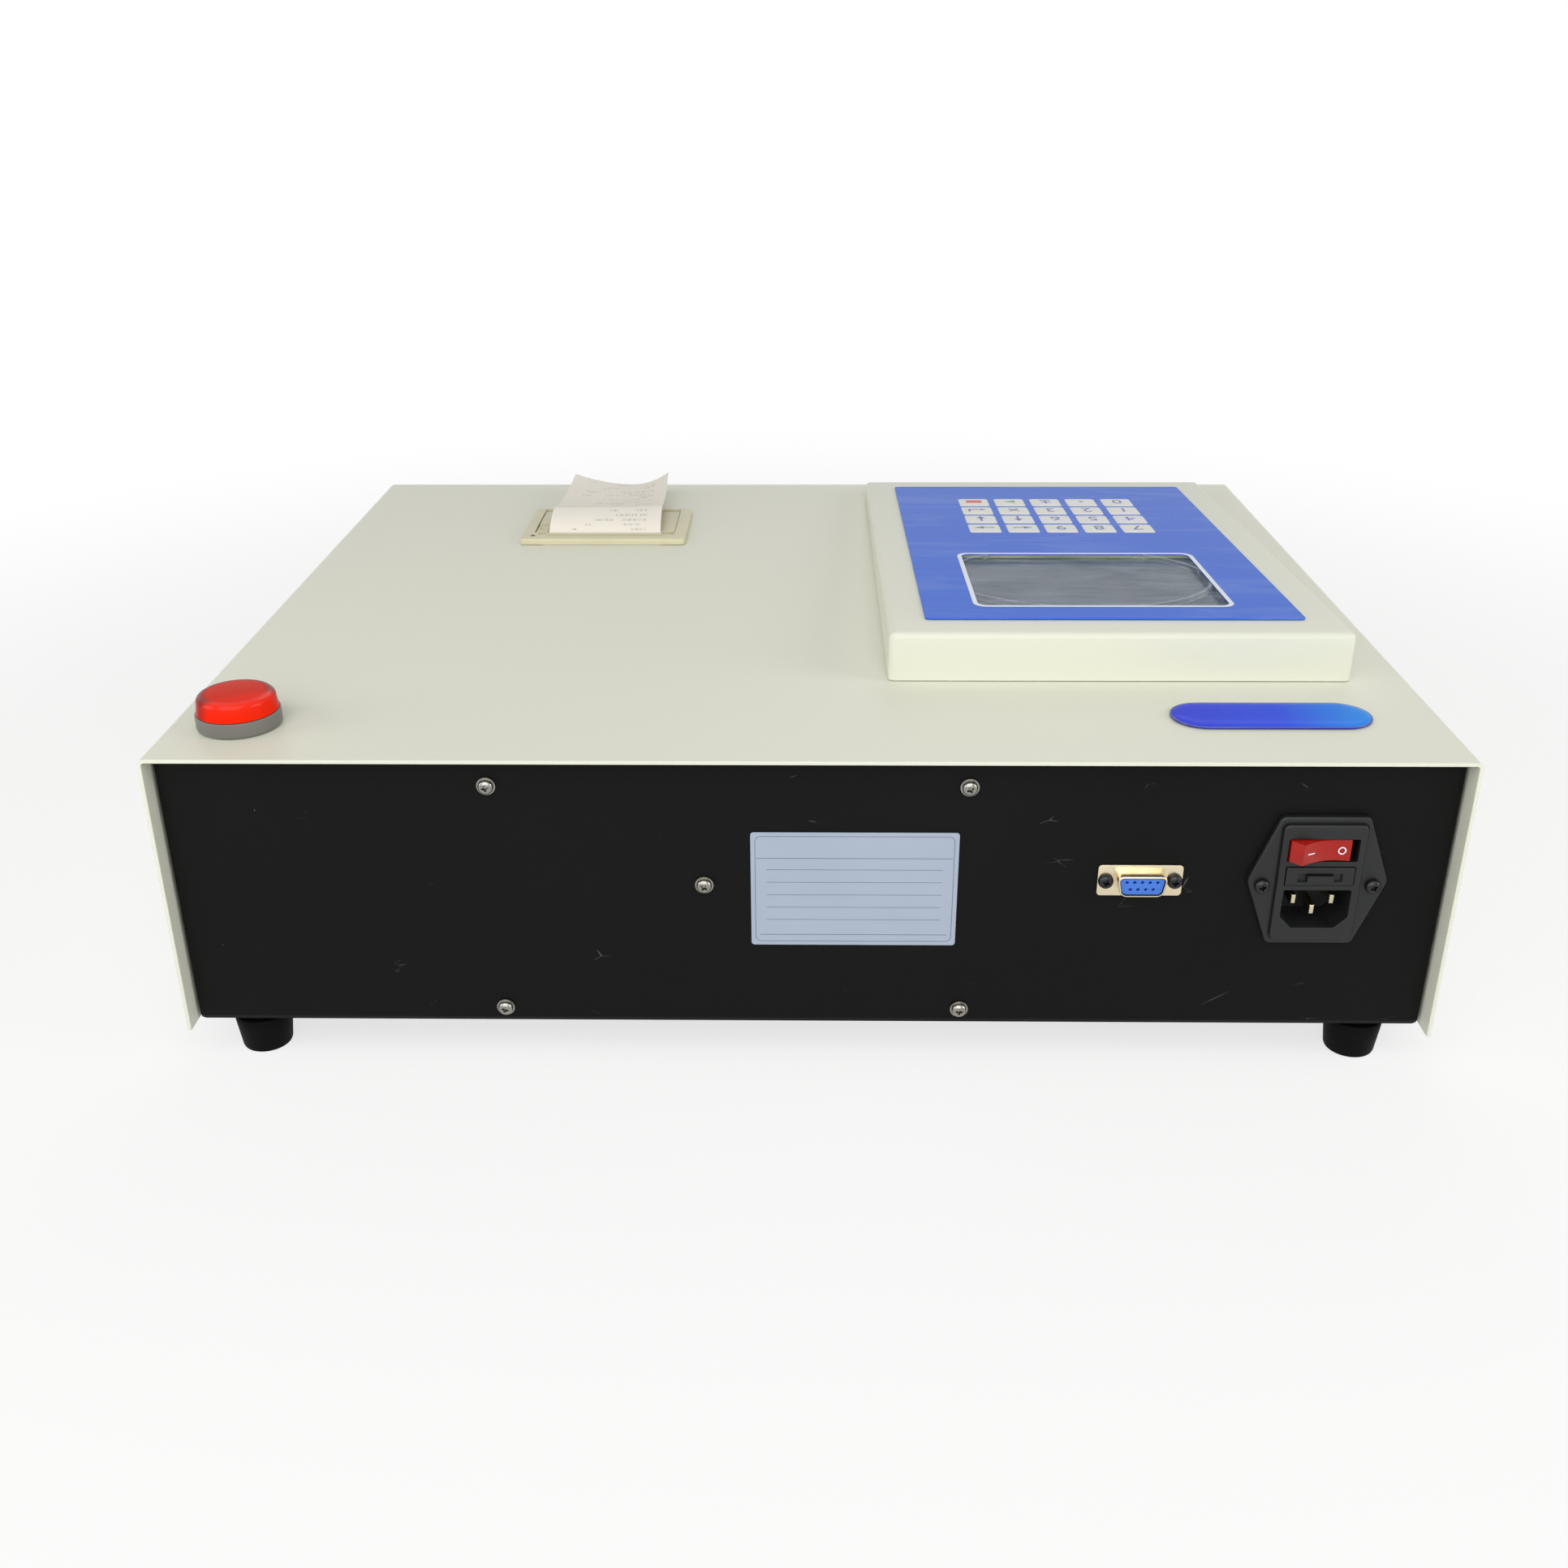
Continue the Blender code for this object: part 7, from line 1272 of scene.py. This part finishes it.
class ANALYSER_OT_printer(Operator):
    """Panel printer: bezel, lid, works and paper"""
    bl_idname = "analyser.printer"
    bl_label = "Printer"

    def execute(self, context):
        low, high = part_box("printer_bezel")
        x, y = centre("printer_bezel").xy
        base, top, over = DECK + SEAT, high.z, high.z + 0.003
        # The rim ends short of the solid's at the rear, as the real one does
        rim = y + 0.0259
        frame_shape = new(pad, (x, (low.y + rim) / 2), (high.x - low.x, rim - low.y), 0.0022,
                          base, top)
        round_level(frame_shape, "Z", top, 0.0010, 4)
        skirt = new(cube, (x - 0.0380, y - 0.0287, low.z), (x + 0.0380, y + 0.0245, base + 0.0018))
        frame_shape = carved(frame_shape, skirt, "UNION")
        well, floor, step = (y - 0.0275, y + 0.0146, y + 0.0222), low.z - 0.003, top - 0.0021
        hole = new(slab, ((well[0], floor), (well[0], over), (well[1], over), (well[1], step),
                          (well[2], step), (well[2], floor)), x - 0.0353, x + 0.0353, "X")
        frame_shape = carved(frame_shape, hole)
        # Shallow tray round the tear edge, the light's hole and the lid's pin
        light = (x + 0.0352, y + 0.0200, top)
        cutter = new(cube, (x - 0.0348, y + 0.0120, top - 0.0007), (x + 0.0329, y + 0.0200, over))
        disc(cutter, 0.0013, -0.0016, 0.003, light)
        disc(cutter, 0.0010, -0.005, 0.005, (x, y - 0.0247, DECK + 0.0004), "X", 20)
        finish("printer_frame", carved(frame_shape, cutter), "bezel", "case", "printer_bezel",
               edge=0.00018)
        lens = new(lathe, ((0.0, -0.0014), (0.0012, -0.0014), (0.0012, -0.0002),
                           (0.0007, 0.00015), (0.0, 0.0003)), light, steps=24)
        finish("printer_light", lens, "black ink", "case", slot="black_plastic")

        # Serrated tear edge along the slot, teeth 1.2 mm apart
        teeth, pitch, half = 48, 0.0012, 0.0288
        back, root, tip = y + 0.0170, y + 0.0153, y + 0.0145
        outline = [(x - half, back)]
        for i in range(teeth):
            start = x - half + i * pitch
            outline += [(start, root), (start + pitch / 2, tip)]
        outline += [(x + half, root), (x + half, back)]
        edge = new(slab, outline, top - 0.0006, top - 0.0002)
        finish("tear_edge", edge, "bezel", "case", slot="beige_plastic")
        self.button()
        for look, *nodes in (("bezel", "printer_door"), ("nylon", "printer_bucket"),
                             ("zinc", "door_pin"), ("white nylon", "platen_gear", "idler_gear"),
                             ("brass", "motor_pinion"), ("motor", "printer_motor"),
                             ("aluminium", "print_head")):
            dress(look, *nodes)
        middle, size = extent("platen_roller")
        half, radius, bore, edge = size.x, size.z, 0.0018, 0.0003
        sleeve = new(lathe, ((bore, -half), (radius - edge, -half), (radius, -half + edge),
                             (radius, half - edge), (radius - edge, half), (bore, half),
                             (bore, -half)), middle, "X", 40)
        finish("platen_sleeve", sleeve, "platen", "platen", "platen_roller")
        self.paper(context.scene.analyser.printer)
        self.roll()
        return {"FINISHED"}

    def button(self):
        """Release button with a finger scoop."""
        low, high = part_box("release_button")
        middle, top = centre("release_button"), high.z
        cap = new(cube, (low.x, low.y, top - 0.0014), high)
        round_level(cap, "Z", top, 0.0004, 3)
        ball, depth = 0.0120, 0.0008
        scoop = bmesh.new()
        bmesh.ops.create_uvsphere(scoop, u_segments=32, v_segments=16, radius=ball)
        bmesh.ops.scale(scoop, vec=(0.36, 0.52, 1.0), verts=scoop.verts[:])
        place(scoop, Matrix.Translation((middle.x, middle.y, top + ball - depth)))
        cap = carved(cap, scoop)
        # The stem stands off the cap's middle, as in the solid
        stem = new(disc, 0.0009, low.z, top - 0.0010, (0.1345, -0.0825767, 0.0))
        finish("release_button_cap", carved(cap, stem, "UNION"), "bezel", "door_button",
               "release_button")

    def paper(self, sizes):
        """Printed strip that climbs from the slot, folds over its crease and lies back."""
        x, origin = centre("paper_strip").x, centre("printer_bezel").y
        start, end = origin + 0.0139, origin - 0.0680
        base, fold, rest = DECK - 0.0030, DECK + 0.0109, DECK + 0.0060
        shape = bmesh.new()
        bmesh.ops.create_grid(shape, x_segments=28, y_segments=60, size=0.5)
        layer = shape.loops.layers.uv.new("strip")
        flat = 0.086
        for face in shape.faces:
            for loop in face.loops:
                spot = loop.vert.co
                loop[layer].uv = (spot.x * sizes.paper, (spot.y + 0.5) * flat)
        for vert in shape.verts:
            across, share = 2 * vert.co.x, vert.co.y + 0.5
            crease = origin - 0.0058 + 0.0016 * across
            if share < sizes.crease:
                t = share / sizes.crease
                y = start + (crease - start) * t ** 2.3
                z = base + (fold - base) * (1.45 * t - 0.45 * t * t)
            else:
                t = (share - sizes.crease) / (1 - sizes.crease)
                y = crease + (end - crease) * t
                z = fold + (rest - fold) * t - 0.0016 * math.sin(math.pi * t ** 0.7)
            # The end curls up most at its corners, and lies lowest a little to one side
            lean = across + 0.25
            bow = (lean / 1.25) ** 1.9 if lean > 0.0 else (-lean / 0.75) ** 2.1
            z += sizes.curl * (0.90 if lean > 0.0 else 1.0) * bow * share ** 2.6
            z += 0.00018 * math.sin(9.0 * share + 2.0 * across) * share
            half = sizes.paper / 2 - 0.0004 - 0.0028 * share ** 1.3
            vert.co = (x - 0.0008 * share ** 0.4 + across * half, y, z)
        thing = finish("printed_strip", shape, "paper", "strip", "paper_strip")
        wall = thing.modifiers.new("wall", "SOLIDIFY")
        wall.thickness = 0.00012
        wall.offset = 0.0

    def roll(self):
        """Wound roll, whose turns stand a little in and out at both ends."""
        middle, size = extent("paper_roll")
        half, bore, inner, outer = size.x, 0.0060, 0.0064, size.z - 0.0002
        turns = 12
        radii = [inner + (outer - inner) * i / (turns - 1) for i in range(turns)]
        end = [(r, half - 0.00010 * (i % 2)) for i, r in enumerate(radii)]
        profile = [(bore, -half), (0.0062, -half), *[(r, -h) for r, h in end], *reversed(end),
                   (0.0062, half), (bore, half), (bore, -half)]
        finish("paper_roll_wound", new(lathe, profile, middle, "X"), "roll", "roll", "paper_roll")


class ANALYSER_OT_drawer(Operator):
    """Sample drawer with its plate, knob and cup, and the works behind it"""
    bl_idname = "analyser.drawer"
    bl_label = "Sample drawer"

    def execute(self, context):
        low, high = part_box("drawer_front")
        plate = new(pad, centre("drawer_front").xz, (high - low).xz, 0.003, low.y, high.y, "Y", 6)
        round_level(plate, "Y", low.y, 0.0009, 4)
        finish("drawer_plate", plate, "anodised", "drawer", "drawer_front")

        middle, half = extent("drawer_knob")
        wide, back, tip = half.x, half.y, -half.y
        knob = new(lathe, (
            (0.0, back), (0.0066, back), (0.0066, back - 0.0010), (0.0060, back - 0.0020),
            (0.0056, back - 0.0050), (0.0066, back - 0.0078), (wide - 0.0022, back - 0.0100),
            (wide - 0.0004, back - 0.0114), (wide, back - 0.0130), (wide, tip + 0.0026),
            (wide - 0.0006, tip + 0.0010), (wide - 0.0020, tip + 0.0002), (wide - 0.0036, tip),
            (0.0060, tip + 0.0004), (0.0, tip + 0.0006)), middle, "Y", 72)
        finish("drawer_knob_turned", knob, "phenolic", "drawer", "drawer_knob")

        middle, half = extent("sample_cup")
        wide, tall, wall, floor = half.x, half.z, 0.0030, 0.0020
        cup = new(lathe, (
            (0.0, -tall), (wide - 0.0004, -tall), (wide, -tall + 0.0004), (wide, tall - 0.0005),
            (wide - 0.0005, tall), (wide - 0.0026, tall), (wide - wall, tall - 0.0004),
            (wide - wall, -tall + floor + 0.0006), (wide - 0.0036, -tall + floor),
            (0.0, -tall + floor)), middle, "Z", 72)
        finish("sample_cup_turned", cup, "stainless", "drawer", "sample_cup")
        for look, *nodes in (("blasted", "sample_drawer"), ("aluminium", "measuring_head"),
                             ("sheet", "head_frame", "rear_bracket", "power_supply"),
                             ("tube metal", "x_ray_tube", "detector_tube"),
                             ("potting", "hv_supply"), ("board", "main_board")):
            dress(look, *nodes)
        return {"FINISHED"}


class ANALYSER_OT_stage(Operator):
    """Floor, soft lights and the camera"""
    bl_idname = "analyser.stage"
    bl_label = "Stage"

    def execute(self, context):
        settings = context.scene.analyser.stage
        scene = context.scene
        scene.view_settings.view_transform = "Standard"
        self.floor(scene)
        self.room(scene, settings)
        # Name, place, aim, size and share of the watts
        for name, place_at, aim, size, share in (
                ("soft box behind the camera", (0.20, 1.25, 0.95), (0.0, 0.10, 0.1), 1.6, 0.74),
                ("soft box at the left", (1.6, 0.6, 0.7), (0.0, 0.0, 0.1), 0.9, 0.30),
                ("soft box at the right", (-1.6, 0.6, 0.7), (0.0, 0.0, 0.1), 0.9, 0.46),
                ("strip over the front", (-0.4, -1.4, 1.5), (0.0, 0.0, 0.1), 1.2, 0.16)):
            light = bpy.data.lights.new(name, "AREA")
            light.shape = "SQUARE"
            light.size = size
            light.energy = settings.window * share
            lamp = bpy.data.objects.new(name, light)
            scene.collection.objects.link(lamp)
            lamp.location = place_at
            lamp.rotation_euler = (Vector(aim) - Vector(place_at)).to_track_quat(
                "-Z", "Y").to_euler()
        self.camera(scene, settings)
        return {"FINISHED"}

    def seen_rays(self, tree):
        """One for a ray from the camera, off a glossy surface or through glass."""
        rays = add(tree, "ShaderNodeLightPath").outputs
        clear = add(tree, "ShaderNodeMath", {}, {0: rays["Is Camera Ray"],
                                                 1: rays["Is Transmission Ray"]},
                    operation="MAXIMUM")
        return add(tree, "ShaderNodeMath", {}, {0: clear, 1: rays["Is Glossy Ray"]},
                   operation="MAXIMUM")

    def floor(self, scene):
        """White paper that keeps the shadow near by and turns into the backdrop far off."""
        floor = bpy.data.materials.new("floor paper")
        floor.use_nodes = True
        tree = floor.node_tree
        tree.nodes.clear()
        paper = add(tree, "ShaderNodeBsdfDiffuse", {"Color": linear("#F4F4F2")})
        glow = add(tree, "ShaderNodeEmission", {"Color": (1.0, 1.0, 1.0, 1.0), "Strength": 1.0})
        where = add(tree, "ShaderNodeTexCoord").outputs["Object"]
        away = add(tree, "ShaderNodeVectorMath", {}, {0: where}, operation="LENGTH")
        far = add(tree, "ShaderNodeMapRange", {1: 0.35, 2: 0.95, 3: 0.72, 4: 1.0},
                  {0: away.outputs["Value"]}, interpolation_type="SMOOTHSTEP")
        seen = add(tree, "ShaderNodeMath", {}, {0: self.seen_rays(tree), 1: far},
                   operation="MULTIPLY")
        mixed = add(tree, "ShaderNodeMixShader", {}, {0: seen, 1: paper, 2: glow})
        add(tree, "ShaderNodeOutputMaterial", {}, {"Surface": mixed})
        shape = bmesh.new()
        bmesh.ops.create_grid(shape, x_segments=1, y_segments=1, size=30.0)
        mesh = bpy.data.meshes.new("floor")
        shape.to_mesh(mesh)
        shape.free()
        mesh.materials.append(floor)
        thing = bpy.data.objects.new("floor", mesh)
        scene.collection.objects.link(thing)

    def room(self, scene, settings):
        """Even light, which looks white where it is seen."""
        world = bpy.data.worlds.new("soft room")
        scene.world = world
        world.use_nodes = True
        tree = world.node_tree
        tree.nodes.clear()
        dim = add(tree, "ShaderNodeBackground", {"Color": (1.0, 0.995, 0.985, 1.0),
                                                 "Strength": settings.sky})
        white = add(tree, "ShaderNodeBackground", {"Color": (1.0, 1.0, 1.0, 1.0), "Strength": 1.0})
        mixed = add(tree, "ShaderNodeMixShader", {}, {0: self.seen_rays(tree), 1: dim, 2: white})
        add(tree, "ShaderNodeOutputWorld", {}, {"Surface": mixed})

    def camera(self, scene, settings):
        """Camera behind and above the analyser, solved from its corners and connectors."""
        eye = bpy.data.cameras.new("camera")
        eye.sensor_width = 36.0
        eye.lens = settings.lens
        eye.clip_start = 0.01
        camera = bpy.data.objects.new("camera", eye)
        scene.collection.objects.link(camera)
        yaw, pitch, roll = settings.yaw, settings.pitch, settings.roll
        ahead = Vector((math.sin(yaw) * math.cos(pitch), -math.cos(yaw) * math.cos(pitch),
                        -math.sin(pitch)))
        right = ahead.cross(Vector((0.0, 0.0, 1.0))).normalized()
        up = right.cross(ahead)
        right, up = (math.cos(roll) * right + math.sin(roll) * up,
                     math.cos(roll) * up - math.sin(roll) * right)
        turn = Matrix((right, up, -ahead)).transposed().to_4x4()
        spot = (-0.000317, COVER_HIGH.y + 0.504448, DECK + 0.229343)
        camera.matrix_world = Matrix.Translation(spot) @ turn
        scene.camera = camera


class ANALYSER_PT_panel(Panel):
    """Pieces of the analyser"""
    bl_idname = "ANALYSER_PT_panel"
    bl_label = "Benchtop Analyser"
    bl_space_type = "VIEW_3D"
    bl_region_type = "UI"
    bl_category = "Analyser"

    def draw(self, context):
        settings = context.scene.analyser
        for group in (settings.case, settings.console, settings.printer, settings.colours,
                      settings.stage):
            box = self.layout.box()
            for name in group.bl_rna.properties.keys():
                if name not in ("rna_type", "name"):
                    box.prop(group, name)
        for step in STEPS:
            self.layout.operator(step.bl_idname)


GROUPS = (AnalyserCase, AnalyserConsole, AnalyserPrinter, AnalyserColours, AnalyserStage,
          AnalyserSettings)
STEPS = (ANALYSER_OT_finishes, ANALYSER_OT_case, ANALYSER_OT_screws, ANALYSER_OT_label,
         ANALYSER_OT_inlet, ANALYSER_OT_serial, ANALYSER_OT_lamp, ANALYSER_OT_badge,
         ANALYSER_OT_console, ANALYSER_OT_printer, ANALYSER_OT_drawer, ANALYSER_OT_stage)


def register():
    """Adds the classes and the scene's settings."""
    for group in (*GROUPS, *STEPS, ANALYSER_PT_panel):
        bpy.utils.register_class(group)
    bpy.types.Scene.analyser = PointerProperty(type=AnalyserSettings)


def unregister():
    """Takes the classes and the settings away."""
    del bpy.types.Scene.analyser
    for group in reversed((*GROUPS, *STEPS, ANALYSER_PT_panel)):
        bpy.utils.unregister_class(group)


def main():
    """Builds the looks in order."""
    register()
    for step in STEPS:
        prefix, name = step.bl_idname.split(".")
        getattr(getattr(bpy.ops, prefix), name)()


if __name__ == "__main__":
    main()
